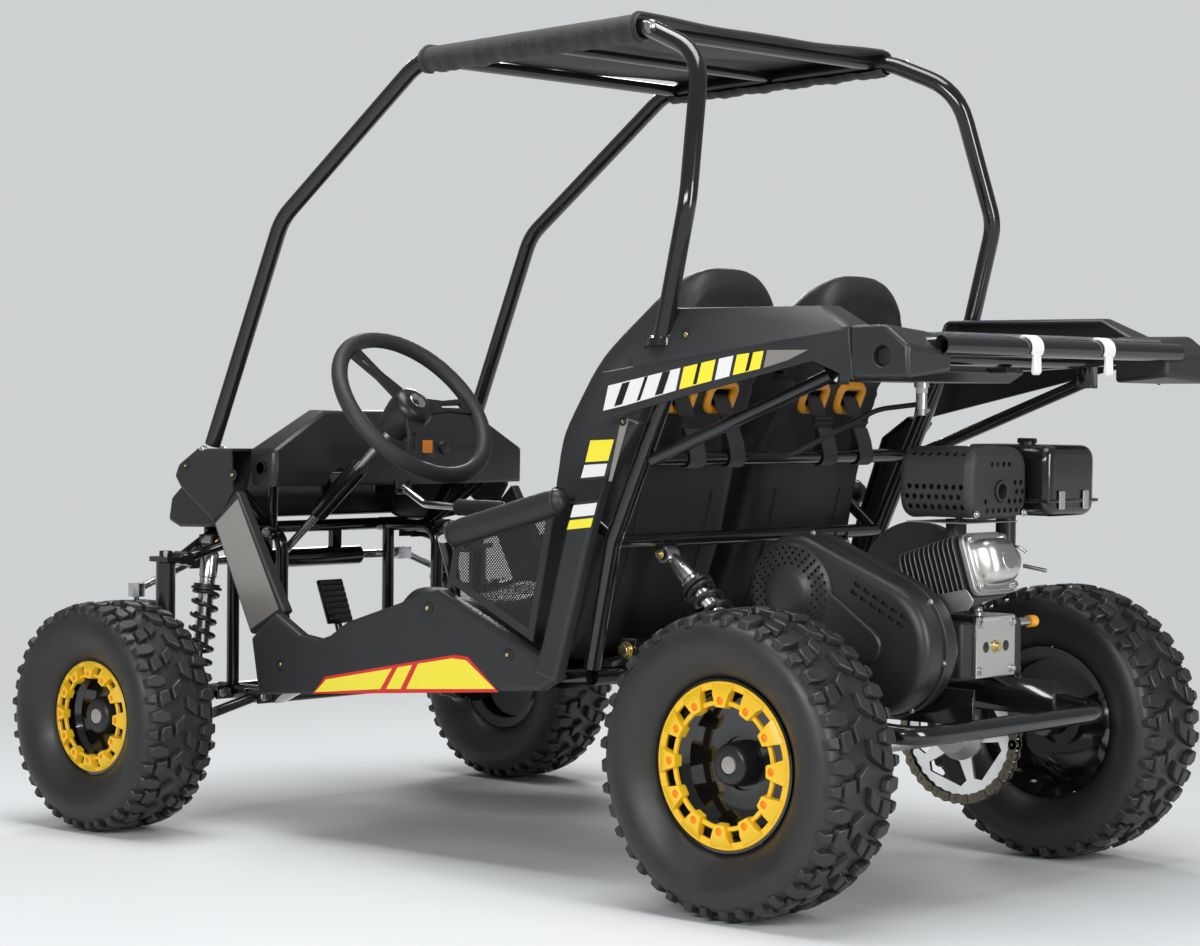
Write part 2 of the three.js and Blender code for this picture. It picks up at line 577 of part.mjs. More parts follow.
// Two ears that hold a rear shock's eye at x and z, each from x0 to x1 and from low to high
const shockEarsAcross = (x, z, x0, x1, low, high) => {
  const near = shock.eyeWidth / 2 + shock.earGap;
  const y = rearShock.half;
  const earAt = (y0, y1) => block(x0, x1, y0, y1, low, high);
  return [
    earAt(y - near - shock.ear, y - near),
    earAt(y + near, y + near + shock.ear),
    bar([x, y - near - shock.ear, z], [x, y + near + shock.ear, z], shock.pin, 6),
  ];
};
const swingEars = () => {
  const near = swing.half + swing.sleeve + swingEar.gap;
  const footZ = railZ(post.footX) + rail.radius + fit;
  return [
    block(swing.pivotX - swingEar.radius, swing.pivotX + swingEar.radius, near, near + swingEar.thick, footZ,
      swing.pivotZ + swingEar.radius),
    block(swing.pivotX, swing.pivotX + swingEar.radius, near, post.footHalf, footZ, footZ + 2 * swingEar.thick),
    bar([swing.pivotX, near + swingEar.thick, swing.pivotZ], [swing.pivotX, swing.half - swing.sleeve, swing.pivotZ],
      swing.pin, 8),
  ];
};

// Cage: two bent tubes a side and the roof's cross tubes
const rollCage = () => {
  const half = [
    tube([[cage.footX, cage.footHalf, cage.footZ], [cage.kneeX, cage.kneeHalf, cage.kneeZ],
      [cage.browX, cage.browHalf, cage.browZ], [cage.tailX, cage.tailHalf, cage.tailZ],
      [cage.shoulderX, cage.shoulderHalf, cage.shoulderZ], [cage.hipX, cage.hipHalf, cage.hipZ],
      [cage.rearX, cage.rearHalf, cage.rearZ]], cage.tube, cage.bend, 8, 3),
    bar([cage.rearX, cage.rearHalf, cage.rearZ - cage.footSink], [cage.rearX, cage.rearHalf, cage.rearZ + cage.footThick],
      cage.foot),
  ];
  return join(...half.flatMap(both),
    ...roofTubes.map(([share, radius]) => crossTube(roofX(share), cage.browHalf, roofZ(share), radius)));
};
const roofX = (share) => cage.tailX + share * (cage.browX - cage.tailX);
const roofZ = (share) => cage.tailZ + share * (cage.browZ - cage.tailZ);
const roofTubes = [[0.06, 9], [0.5, 7], [0.94, 9]];

// Canopy: cloth over the roof, wrapped round both side rails
const canopyCloth = { gap: 0.8, thick: 3, frontShare: 0.9, rearShare: 0.05, wrap: 215 };
const canopy = () => {
  const inner = cage.tube + canopyCloth.gap;
  const outer = inner + canopyCloth.thick;
  const steps = 7;
  const arc = (radius, from, to) => Array.from({ length: steps + 1 }, (_, i) => {
    const angle = THREE.MathUtils.degToRad(from + ((to - from) * i) / steps);
    return [cage.tailHalf + radius * Math.cos(angle), radius * Math.sin(angle)];
  });
  const [top, low] = [90, 90 - canopyCloth.wrap];
  const over = (points) => points.map(([y, z]) => [-y, z]).reverse();
  const upper = arc(outer, low, top);
  const under = arc(inner, top, low);
  const outline = [...upper, ...over(upper), ...over(under), ...under];
  const length = (canopyCloth.frontShare - canopyCloth.rearShare) * (cage.browX - cage.tailX);
  const slope = Math.atan2(cage.tailZ - cage.browZ, cage.browX - cage.tailX);
  return extruded(outline, length).rotateX(Math.PI / 2).rotateZ(Math.PI / 2).rotateY(slope)
    .translate(roofX(canopyCloth.rearShare), 0, roofZ(canopyCloth.rearShare));
};

// Front bodywork: corner shells, nose and slanted struts in one moulding
const cowlCornerShares = [
  [0.981, 0.496], [0.908, 0.498], [0.904, 0.441], [0.925, 0.41], [0.945, 0.399], [1.012, 0.443],
  [1.025, 0.459], [1.017, 0.475],
];
const cowlInnerShares = [[0.978, 0.491], [0.89, 0.493], [0.89, 0.3], [1.01, 0.3], [1.01, 0.444], [1.021, 0.459],
  [1.013, 0.472]];
const noseShares = [[1.097, 0.396], [1.091, 0.427], [1.06, 0.448], [1.034, 0.473], [0.992, 0.496], [0.912, 0.496],
  [0.958, 0.397], [1, 0.389], [1.073, 0.387]];
const noseInnerShares = [[1.092, 0.3], [1.087, 0.425], [1.057, 0.445], [1.031, 0.469], [0.99, 0.491], [0.89, 0.491],
  [0.89, 0.3]];
const frontStrutShares = [[0.892, 0.443], [0.937, 0.399], [0.863, 0.257], [0.846, 0.257], [0.797, 0.289]];
const cowl = { half: 312, noseHalf: 252, strutNear: 300, strutThick: 20, wall: 4 };
const atHalf = (outline, y) => outline.map(([x, z]) => [x, y, z]);
const frontCowl = () => {
  const corner = scaled(cowlCornerShares, wheelbase, cageHeight);
  const cornerInner = scaled(cowlInnerShares, wheelbase, cageHeight);
  const noseOuter = scaled(noseShares, wheelbase, cageHeight);
  const noseInner = scaled(noseInnerShares, wheelbase, cageHeight);
  const bonnet = hull([...atHalf(corner, cowl.half), ...atHalf(corner, -cowl.half)]);
  const snout = hull([cowl.noseHalf, -cowl.noseHalf].flatMap((y) => atHalf(noseOuter, y)));
  const bonnetRoom = hull([1, -1].flatMap((s) => atHalf(cornerInner, s * (cowl.half - cowl.wall))));
  const snoutRoom = hull([1, -1].flatMap((s) => atHalf(noseInner, s * (cowl.noseHalf - cowl.wall))));
  const strutPlate = sidePlate(scaled(frontStrutShares, wheelbase, cageHeight), cowl.strutNear, cowl.strutThick);
  const pillarRoom = block(cage.footX - cage.tube * 2, cage.footX + cage.tube * 2,
    cage.footHalf - cage.tube * 2, cowl.half - cowl.wall, clevisZ - towerSize.clevisHeight, cageHeight / 2 + clevisZ / 5);
  return cut(join(cut(join(bonnet, snout), bonnetRoom, snoutRoom), ...both(strutPlate)), ...both(pillarRoom));
};

// Instrument panel between the pillars, with its hump and the seat of the rocker switch
const dashShares = { lowFront: 0.905, lowRear: 0.856, lowZ: 0.462, topZ: 0.4955, humpFront: 0.895, humpRear: 0.862,
  humpZ: 0.549, faceX: 0.838, faceZ: 0.5 };
const dash = { half: 282, humpHalf: 168, wall: 4 };
const rocker = { half: -30, width: 24, height: 12, depth: 8, gap: 0.8 };
const dashBody = (wall) => {
  const x = (share) => share * wheelbase;
  const z = (share) => share * cageHeight;
  const d = dashShares;
  return hull([1, -1].flatMap((s) => [
    [x(d.lowFront) - wall, s * (dash.half - wall), z(d.lowZ) - wall * overrun],
    [x(d.lowFront) - wall, s * (dash.half - wall), z(d.topZ) - wall],
    [x(d.lowRear) + wall, s * (dash.half - wall), z(d.topZ) - wall],
    [x(d.lowRear) + wall, s * (dash.half - wall), z(d.lowZ) - wall * overrun],
    [x(d.humpFront), s * (dash.humpHalf - wall), z(d.humpZ) - wall],
    [x(d.humpRear), s * (dash.humpHalf - wall), z(d.humpZ) - wall],
    [x(d.faceX) + wall, s * (dash.humpHalf - wall), z(d.faceZ) - wall],
    [x(d.faceX) + wall * 2, s * (dash.humpHalf - wall), z(d.lowZ) - wall * overrun],
  ]));
};
const rockerPlace = [dashShares.faceX * wheelbase + dash.wall, rocker.half, dashShares.faceZ * cageHeight];
const dashPanel = () => {
  const [x, y, z] = rockerPlace;
  const half = rocker.width / 2 + rocker.gap;
  const well = block(x - rocker.depth * 2, x + rocker.depth * 2, y - half, y + half,
    z - rocker.height - rocker.gap, z + rocker.height + rocker.gap);
  const bezel = block(x - rocker.depth / 2, x + rocker.depth * 3, y - half - dash.wall, y + half + dash.wall,
    z - rocker.height - dash.wall, z + rocker.height + dash.wall);
  const columnRoom = bar(alongColumn(0), columnEnd, wheelRim.jacket + nose.tube, 10);
  const pillarRoom = block(dashBar.x - nose.tube * 2, cage.footX, dash.half - nose.tube * 3, dash.half + overrun,
    clevisZ - cage.footHalf, clevisZ - cage.foot * 2);
  const barRoom = bar([dashBar.x, -dash.half - overrun, dashBar.z], [dashBar.x, dash.half + overrun, dashBar.z],
    dashBar.radius + fit, 6);
  return cut(join(cut(dashBody(0), dashBody(dash.wall)), bezel), well, columnRoom, barRoom, ...both(pillarRoom));
};

// Side panels: a dipped sill and the strut that rises behind the seat, each a shell open inward
const rearStrutShares = [[0.213, 0.549], [0.254, 0.521], [0.294, 0.41], [0.329, 0.279], [0.345, 0.243], [0.306, 0.233],
  [0.255, 0.41], [0.234, 0.473], [0.181, 0.541]];
const rearStrut = { near: 325.5, thick: 20 };
const sillShell = (outline, near, thick) =>
  cut(sidePlate(outline, near, thick), sidePlate(inset(outline, panelWall), near - panelWall, thick));
const sidePanel = () =>
  join(sillShell(scaled(sillShares, wheelbase, cageHeight), sillInner + fit, panelDepth),
    sillShell(scaled(rearStrutShares, wheelbase, cageHeight), rearStrut.near, rearStrut.thick));

// Rear fairings: a two-faceted side shell that ends in a corner pad
const fairingSideShares = [[0.229, 0.541], [0.218, 0.598], [-0.131, 0.648], [-0.137, 0.59], [-0.083, 0.611]];
const fairingTopShares = [[0.177, 0.6], [0.149, 0.671], [-0.084, 0.671], [-0.137, 0.643]];
const cornerPadShares = [[-0.128, 0.592], [-0.128, 0.648], [-0.178, 0.65], [-0.209, 0.627], [-0.209, 0.592]];
const fairing = { half: 374, topHalf: 340, wall: 4, padInner: 262, hole: 14, holeDeep: 16 };
const rearFairing = () => {
  const band = scaled(fairingSideShares, wheelbase, cageHeight);
  const crown = scaled(fairingTopShares, wheelbase, cageHeight);
  const [foot, head] = [[crown[0], crown[3]], [crown[1], crown[2]]];
  const roof = (shift) => hull([
    ...atHalf(foot, fairing.half - shift), ...atHalf(head, fairing.topHalf - shift),
    ...atHalf(foot, fairing.topHalf - shift - fairing.wall), ...atHalf(head, fairing.topHalf - shift - fairing.wall),
  ]);
  const pad = scaled(cornerPadShares, wheelbase, cageHeight);
  const padBody = hull([
    ...atHalf(pad, fairing.half - fairing.wall),
    ...atHalf(pad.slice(0, 2), fairing.padInner),
    ...atHalf(inset(pad, fairing.hole / 2).slice(2), fairing.padInner),
  ]);
  const [padX, padZ] = pad[4];
  const recess = [padX + fairing.hole * 3, fairing.half, padZ + fairing.hole * 2];
  const roomShift = 2 * fairing.wall;
  const pillarRoom = [
    bar([cage.rearX, cage.rearHalf, cage.rearZ], [cage.hipX, cage.hipHalf, cage.hipZ], cage.tube + 3 * fit),
    bar([cage.rearX, cage.rearHalf, cage.rearZ - cage.foot],
      [cage.rearX, cage.rearHalf, cage.rearZ + cage.footThick + fit], cage.foot + 3 * fit),
    block(cage.rearX - footPad.half - fit, cage.rearX + footPad.half + fit, rack.railHalf,
      cage.rearHalf + footPad.out + fit, rack.frontZ - fit, cage.rearZ),
  ];
  const railRoom = bar([rack.frontX, rack.railHalf, rack.frontZ], [rack.rearX, rack.tailHalf, rack.rearZ],
    rack.tube + 2 * fit, 6);
  const tailRoom = bar([rack.rearX, -rack.tailHalf, rack.rearZ], [rack.rearX, rack.tailHalf + rack.tube, rack.rearZ],
    rack.tube + 2 * fit, 6);
  return cut(
    join(
      cut(roof(0), moved(roof(0), 0, -roomShift / 2, -roomShift)),
      sidePlate(band, fairing.half - fairing.wall * 2, fairing.wall),
      padBody,
    ),
    ...pillarRoom, railRoom, tailRoom,
    bar(recess, [recess[0], fairing.half - fairing.holeDeep, recess[2]], fairing.hole, 10),
  );
};

// Bucket seats: a lofted back and base with raised bolsters, two harness slots through the back
const seatShares = [[0.639, 0.297], [0.626, 0.272], [0.336, 0.25], [0.318, 0.279], [0.271, 0.405],
  [0.244, 0.524], [0.192, 0.659], [0.165, 0.705], [0.18, 0.728], [0.22, 0.718], [0.267, 0.642], [0.324, 0.524],
  [0.36, 0.397], [0.38, 0.328], [0.504, 0.297], [0.605, 0.314]];
const seatWidthShares = [-1, -0.9, -0.62, -0.3, 0, 0.3, 0.62, 0.9, 1];
const seatDishShares = [0.55, 1, 0.7, 0.12, 0, 0.12, 0.7, 1, 0.55];
const seatShoulderShares = [0.86, 0.93, 0.985, 1, 1, 1, 0.985, 0.93, 0.86];
const seatForm = { dish: 42, frontPoints: 10, slotZ: 0.572, slotHalf: 44, slotWide: 42, slotHigh: 20 };
const seat = (side) => {
  const outline = scaled(seatShares, wheelbase, cageHeight);
  const baseZ = outline[2][1];
  const backX = outline[3][0];
  const rings = seatWidthShares.map((share, s) => {
    const shoulder = seatShoulderShares[s];
    return outline.map(([x, z], i) => {
      const lean = (z - baseZ) / (cageHeight / 2);
      const bulge = i >= seatForm.frontPoints ? seatDishShares[s] * seatForm.dish : 0;
      const high = i >= 6 && i <= 10 ? shoulder : 1;
      const narrow = i >= 6 && i <= 9 ? 0.78 : 1;
      return [
        x + bulge * Math.min(lean * 2, 1) * (i < 14 ? 1 : 0),
        side * seatPlace.half + share * (seatPlace.width / 2) * narrow,
        baseZ + (z - baseZ) * high + (i >= 14 || i === 0 ? bulge * 0.6 * (i === 0 ? 0 : 1) : 0),
      ];
    });
  });
  const slots = [-1, 1].map((s) => {
    const y = side * seatPlace.half + s * seatForm.slotHalf;
    const z = seatForm.slotZ * cageHeight;
    return block(0, backX + seatPlace.width, y - seatForm.slotWide / 2, y + seatForm.slotWide / 2,
      z - seatForm.slotHigh / 2, z + seatForm.slotHigh / 2);
  });
  return cut(loft(rings), ...slots);
};

// Side bolsters: a padded sleeve with a mesh net sewn under it
const netShares = [[0.472, 0.4], [0.309, 0.445], [0.343, 0.28], [0.482, 0.345]];
const netForm = { near: 342, thick: 3, hem: 13, rows: 3, columns: 4, gapShare: 0.74 };
const padSwellShares = [0.25, 0.8, 1, 0.96, 1, 0.96, 1, 0.8, 0.25];
const sideNet = () => {
  const outline = scaled(netShares, wheelbase, cageHeight);
  const at = (u, v) => {
    const [a, b, c, d] = inset(outline, netForm.hem);
    const mix = (p, q, t) => [p[0] + (q[0] - p[0]) * t, p[1] + (q[1] - p[1]) * t];
    return mix(mix(a, b, u), mix(d, c, u), v);
  };
  const gaps = Array.from({ length: netForm.rows * netForm.columns }, (_, i) => {
    const [row, column] = [Math.floor(i / netForm.columns), i % netForm.columns];
    const spot = (du, dv) => at((column + 1 / 2 + du) / netForm.columns, (row + 1 / 2 + dv) / netForm.rows);
    const g = netForm.gapShare / 2;
    return [spot(0, -g), spot(g, 0), spot(0, g), spot(-g, 0)];
  });
  const steps = padSwellShares.length - 1;
  const sleeve = loft(padSwellShares.map((swell, i) => {
    const t = i / steps;
    const x = armrest.frontX + (armrest.rearX - armrest.frontX) * t;
    const z = armrest.frontZ + (armrest.rearZ - armrest.frontZ) * t;
    return polygon(armrest.thick * swell, 8).map(([u, v]) => [x, armrest.half + u * 0.9, z + v * 1.12]);
  }));
  return join(sidePlate(outline, netForm.near, netForm.thick, gaps), sleeve);
};

// Clear deck panel with its clips, over the rack
const deck = { frontX: 120, half: 262, thick: 4, rise: 13.5, clip: 24, clipHalf: 88, clipDrop: 20 };
const rearDeck = () => {
  const low = rack.rearZ + deck.rise;
  const clipAt = (y) => {
    const x = rack.rearX;
    const reach = rack.tube + fit;
    const outer = bar([x, y - deck.clip / 2, rack.rearZ], [x, y + deck.clip / 2, rack.rearZ], reach + deck.thick, 12);
    const inner = bar([x, y - deck.clip, rack.rearZ], [x, y + deck.clip, rack.rearZ], reach, 12);
    const lower = block(x - deck.clip, x + deck.clip, y - deck.clip, y + deck.clip,
      rack.rearZ - deck.clipDrop * 2, rack.rearZ - rack.tube / 2);
    return cut(outer, inner, lower);
  };
  return join(
    flatPlate([[deck.frontX, -deck.half], [deck.frontX, deck.half], [rack.rearX + deck.thick, deck.half],
      [rack.rearX - deck.thick, 0], [rack.rearX + deck.thick, -deck.half]].reverse(), low, deck.thick),
    clipAt(deck.clipHalf), clipAt(-deck.clipHalf),
  );
};

// Fuel tank slung under the deck, its tap and the hose down to the engine
const tank = { frontX: 112, rearX: -62, half: 168, low: 699, chamfer: 12, tapX: 0, tapHalf: -7, tapLength: 46,
  tap: 8, hose: 3.5, hoseBend: 60,
  tabHalf: 90, tabWide: 24, tabThick: 8 };
const fuelTank = () => {
  const high = rack.rearZ - rack.tube - fit;
  const levels = [[tank.low, tank.chamfer], [tank.low + tank.chamfer, 0], [high - tank.chamfer, 0],
    [high, tank.chamfer]];
  const body = hull(levels.flatMap(([z, in_]) => [1, -1].flatMap((s) => [
    [tank.frontX - in_, s * (tank.half - in_), z], [tank.rearX + in_, s * (tank.half - in_), z],
  ])));
  const foot = tank.low - tank.tapLength;
  const tabTo = (x, tubeLow) =>
    [1, -1].map((s) => block(Math.min(x, 0), Math.max(x, 0), s * tank.tabHalf - tank.tabWide / 2,
      s * tank.tabHalf + tank.tabWide / 2, tubeLow - fit - tank.tabThick, tubeLow - fit));
  return join(
    body,
    ...tabTo(rack.frontX, rack.frontZ - rack.tube),
    ...tabTo(strut.topX - nose.tube, rack.rearZ - rack.tube - nose.tube),
    bar([tank.tapX, tank.tapHalf, tank.low + 1], [tank.tapX, tank.tapHalf, foot], tank.tap, 8),
    bar([tank.tapX, tank.tapHalf, foot + tank.tap], [tank.tapX, tank.tapHalf - 2 * tank.tap, foot + tank.tap],
      tank.tap / 2, 6),
    tube([[tank.tapX, tank.tapHalf, foot + tank.tap * 2], [tank.tapX + tank.hoseBend, tank.tapHalf + tank.hoseBend / 3,
      foot + tank.tap], [post.midX - nose.tube - tank.hoseBend * 2, tank.half / 2, foot - tank.hoseBend],
    [crossLevels.midX - nose.tube - tank.hose - fit, tank.half / 2, crossLevels.midZ]], tank.hose, tank.hoseBend, 6, 4),
  );
};

// Steering wheel with its spokes, hub boss and shaft, drawn upright and tipped onto the column
const steeringWheel = () => {
  const grip = new THREE.TorusGeometry(wheelRim.radius, wheelRim.grip, 6, 24).rotateY(Math.PI / 2);
  const spokes = [90, 210, 330].map((degrees) => {
    const angle = THREE.MathUtils.degToRad(degrees);
    const spoke = block(-wheelRim.spokeThick / 2, wheelRim.spokeThick / 2, -wheelRim.spoke / 2, wheelRim.spoke / 2,
      0, wheelRim.radius);
    return spoke.rotateX(angle);
  });
  const wheel = join(
    grip, ...spokes,
    bar([-wheelRim.grip, 0, 0], [wheelRim.bossLength, 0, 0], wheelRim.boss, 12, wheelRim.boss * 0.8),
    bar([0, 0, 0], [wheelRim.shaftLength, 0, 0], wheelRim.shaft, 8),
  );
  return wheel.rotateY(tiltAngle).translate(...columnTop);
};
const steeringRack = () => {
  const end = rackEndHalf - steering.joint;
  const near = steering.rod + kingpin.gap;
  const reach = near + arm.tab;
  const [low, high] = [steering.rodZ - steering.joint, steering.rodZ + steering.joint];
  const plateAt = (x0, x1) => block(x0, x1, end - steering.joint, rackEndHalf + steering.joint, low, high);
  const fork = [
    plateAt(rackX - reach, rackX - near), plateAt(rackX + near, rackX + reach),
    block(rackX - reach, rackX + reach, end - steering.joint, end, low, high),
    pinAlongX(rackX - reach, rackX + reach, rackEndHalf, steering.rodZ, shock.pin),
  ];
  return join(bar([rackX, -end, steering.rodZ], [rackX, end, steering.rodZ], steering.rack, 8),
    ...fork.flatMap(both));
};
const pedalArm = (y) => {
  const lean = THREE.MathUtils.degToRad(pedal.lean);
  const top = [pedal.x + pedal.reach * Math.sin(lean), y, pedalPivotZ + pedal.reach * Math.cos(lean)];
  const pad = block(-pedal.padThick / 2, pedal.padThick / 2, y - pedal.pad / 2, y + pedal.pad / 2,
    -pedal.padHeight / 2, pedal.padHeight / 2).rotateY(lean).translate(top[0] - pedal.arm, 0, top[2]);
  const sleeve = bar([pedal.x, y - pedal.sleeveLength / 2, pedalPivotZ], [pedal.x, y + pedal.sleeveLength / 2,
    pedalPivotZ], pedal.sleeve, 10);
  const bore = bar([pedal.x, y - pedal.sleeveLength, pedalPivotZ], [pedal.x, y + pedal.sleeveLength, pedalPivotZ],
    pedal.pin + arm.pinGap, 10);
  return cut(join(sleeve, bar([pedal.x, y, pedalPivotZ], top, pedal.arm, 8), pad), bore);
};
const lever = { x: 1010, half: 18, z: 526, rod: 6, dropX: 950, dropZ: 501, endX: 862, gripX: 772, gripZ: 498, grip: 13,
  sleeve: 11, sleeveLength: 26, bracket: 4, pin: 5 };
const gearLever = () => {
  const sleeve = bar([lever.x, lever.half - lever.sleeveLength / 2, lever.z],
    [lever.x, lever.half + lever.sleeveLength / 2, lever.z], lever.sleeve, 10);
  const bore = bar([lever.x, lever.half - lever.sleeveLength, lever.z],
    [lever.x, lever.half + lever.sleeveLength, lever.z], lever.pin + arm.pinGap, 10);
  return join(
    cut(join(sleeve, tube([[lever.x - lever.sleeve + 1, lever.half, lever.z], [lever.dropX, lever.half, lever.dropZ],
      [lever.endX, lever.half, lever.gripZ]], lever.rod, lever.sleeveLength, 8, 3)), bore),
    bar([lever.endX + lever.grip, lever.half, lever.gripZ], [lever.gripX, lever.half, lever.gripZ], lever.grip, 10,
      lever.grip * 0.85),
  );
};
const leverBracket = () => {
  const near = lever.sleeveLength / 2 + kingpin.gap;
  const earAt = (y0, y1) => block(lever.x - lever.sleeve, dashBar.x + lever.pin, y0, y1, lever.z - lever.sleeve,
    lever.z + lever.sleeve);
  const reach = near + lever.bracket;
  return [
    block(dashBar.x - lever.pin, dashBar.x + lever.pin, lever.half - reach, lever.half + reach,
      lever.z - lever.sleeve, dashBar.z),
    earAt(lever.half - near - lever.bracket, lever.half - near),
    earAt(lever.half + near, lever.half + near + lever.bracket),
    bar([lever.x, lever.half - reach, lever.z], [lever.x, lever.half + reach, lever.z], lever.pin, 6),
  ];
};
const rockerSwitch = () => {
  const [x, y, z] = rockerPlace;
  const half = rocker.width / 2;
  return hull([
    [x - rocker.depth, y - half, z + rocker.height * 0.9], [x - rocker.depth, y + half, z + rocker.height * 0.9],
    [x - rocker.depth * 0.4, y - half, z], [x - rocker.depth * 0.4, y + half, z],
    [x - rocker.depth, y - half, z - rocker.height * 0.9], [x - rocker.depth, y + half, z - rocker.height * 0.9],
    [x + rocker.depth / 2, y - half, z + rocker.height * 0.9], [x + rocker.depth / 2, y + half, z + rocker.height * 0.9],
    [x + rocker.depth / 2, y - half, z - rocker.height * 0.9], [x + rocker.depth / 2, y + half, z - rocker.height * 0.9],
  ]);
};

// Front suspension, drawn for the left wheel
const lowerOuter = [wheelbase, arm.outerHalf, arm.lowerZ - arm.drop];
const upperOuter = [wheelbase, arm.outerHalf, arm.upperZ - arm.drop];
const wishbone = (pivotZ, extra = []) => {
  const outer = [wheelbase, arm.outerHalf, pivotZ - arm.drop];
  const sleeveHalf = kingpin.width / 2 - arm.tab - kingpin.gap;
  const bushes = bushPlaces.map((x) =>
    bar([x - arm.bushLength / 2, arm.innerHalf, pivotZ], [x + arm.bushLength / 2, arm.innerHalf, pivotZ], arm.bush));
  const legs = [-1, 1].map((s) =>
    bar([wheelbase + s * arm.spread, arm.innerHalf, pivotZ], [wheelbase + s * arm.meet, outer[1], outer[2]], arm.leg, 6));
  const bore = arm.pin + arm.pinGap;
  const innerBore = bushPlaces.map((x) =>
    bar([x - arm.bushLength, arm.innerHalf, pivotZ], [x + arm.bushLength / 2 + overrun, arm.innerHalf, pivotZ], bore));
  const outerBore = bar([outer[0] - kingpin.width, outer[1], outer[2]], [outer[0] + kingpin.width, outer[1], outer[2]],
    bore);
  return cut(
    join(...bushes, ...legs,
      bar([outer[0] - sleeveHalf, outer[1], outer[2]], [outer[0] + sleeveHalf, outer[1], outer[2]], arm.bush),
      ...extra),
    ...innerBore, outerBore,
  );
};
const lowerArm = () => {
  const reach = shock.eyeWidth / 2 + shock.earGap + shock.ear;
  const share = (frontShock.lowHalf - arm.innerHalf) / (arm.outerHalf - arm.innerHalf);
  const armZ = arm.lowerZ - arm.drop * share;
  const bridge = block(wheelbase - reach - arm.leg, wheelbase + reach + arm.leg, frontShock.lowHalf - arm.leg,
    frontShock.lowHalf + arm.leg, armZ - arm.leg, armZ + arm.leg / 2);
  const ears = [[-reach, -reach + shock.ear], [reach - shock.ear, reach]].map(([a, b]) =>
    block(wheelbase + a, wheelbase + b, frontShock.lowHalf - arm.leg, frontShock.lowHalf + arm.leg, armZ,
      frontShock.lowZ + shock.eye - shock.earGap));
  return wishbone(arm.lowerZ, [bridge, ...ears,
    pinAlongX(wheelbase - reach, wheelbase + reach, frontShock.lowHalf, frontShock.lowZ, shock.pin)]);
};
const upright = () => {
  const endPlate = ([x, y, z]) => {
    const near = kingpin.width / 2 - arm.tab;
    const start = y + arm.bush + kingpin.gap;
    const earAt = (x0, x1) => block(x0, x1, y - arm.pin, start + kingpin.plate, z - kingpin.plate, z + kingpin.plate);
    return [
      earAt(x - near - arm.tab, x - near), earAt(x + near, x + near + arm.tab),
      block(x - near - arm.tab, x + near + arm.tab, start, kingpin.half + kingpin.tube, z - kingpin.plate / 2,
        z + kingpin.plate / 2),
      pinAlongX(x - near - arm.tab, x + near + arm.tab, y, z, arm.pin),
    ];
  };
  const topZ = upperOuter[2] + kingpin.plate / 2;
  return join(
    ...endPlate(lowerOuter), ...endPlate(upperOuter),
    bar([wheelbase, kingpin.half, lowerOuter[2] - kingpin.plate], [wheelbase, kingpin.half, topZ + kingpin.headHeight],
      kingpin.bolt, 6),
    bar([wheelbase, kingpin.half, topZ], [wheelbase, kingpin.half, topZ + kingpin.headHeight], kingpin.head, 6),
  );
};
const spindleEnd = frontTrack / 2 + hub.spindleOut;
const knuckle = () => {
  const [x, y] = [wheelbase, kingpin.half];
  const low = lowerOuter[2] + kingpin.plate / 2 + kingpin.gap;
  const high = upperOuter[2] - kingpin.plate / 2 - kingpin.gap;
  const eyePlace = [x + steering.armAhead, y];
  const eyeAt = (radius, rise) => bar([...eyePlace, steering.armZ - rise], [...eyePlace, steering.armZ + rise], radius, 10);
  return cut(
    join(
      bar([x, y, low], [x, y, high], kingpin.tube),
      bar([x, y, frontAxleZ], [x, spindleEnd, frontAxleZ], spindle),
      bar([x, y, frontAxleZ], [x, frontTrack / 2 + hub.disc - fit, frontAxleZ], kingpin.tube * 0.8, 8),
      bar([x, y, steering.armZ], [x + steering.armAhead - steering.eyeBore, y, steering.armZ], steering.armRadius, 6),
      eyeAt(steering.eye, steering.eyeHeight / 2),
    ),
    bar([x, y, low - overrun], [x, y, high + overrun], kingpin.bolt + 2 * kingpin.gap),
    eyeAt(steering.eyeBore, steering.eyeHeight),
  );
};
const tieRod = () => {
  const inner = [rackX, rackEndHalf, steering.rodZ];
  const outer = [rackX, kingpin.half, steering.rodZ - arm.drop];
  const [capTop, capLow] = [outer[2] + steering.capHeight / 2, outer[2] - steering.capHeight / 2];
  const atOuter = (z) => [rackX, kingpin.half, z];
  const onPin = (reach) => [rackX + reach, rackEndHalf, steering.rodZ];
  return cut(
    join(
      bar(onPin(-steering.rod), onPin(steering.rod), steering.joint - 1),
      bar(inner, outer, steering.rod, 6),
      bar(atOuter(capLow), atOuter(capTop), steering.cap, 10),
      bar(atOuter(capLow + 1), atOuter(capLow - steering.studDrop), steering.stud, 6),
    ),
    bar(onPin(-2 * steering.rod), onPin(2 * steering.rod), shock.pin + arm.pinGap, 6),
  );
};

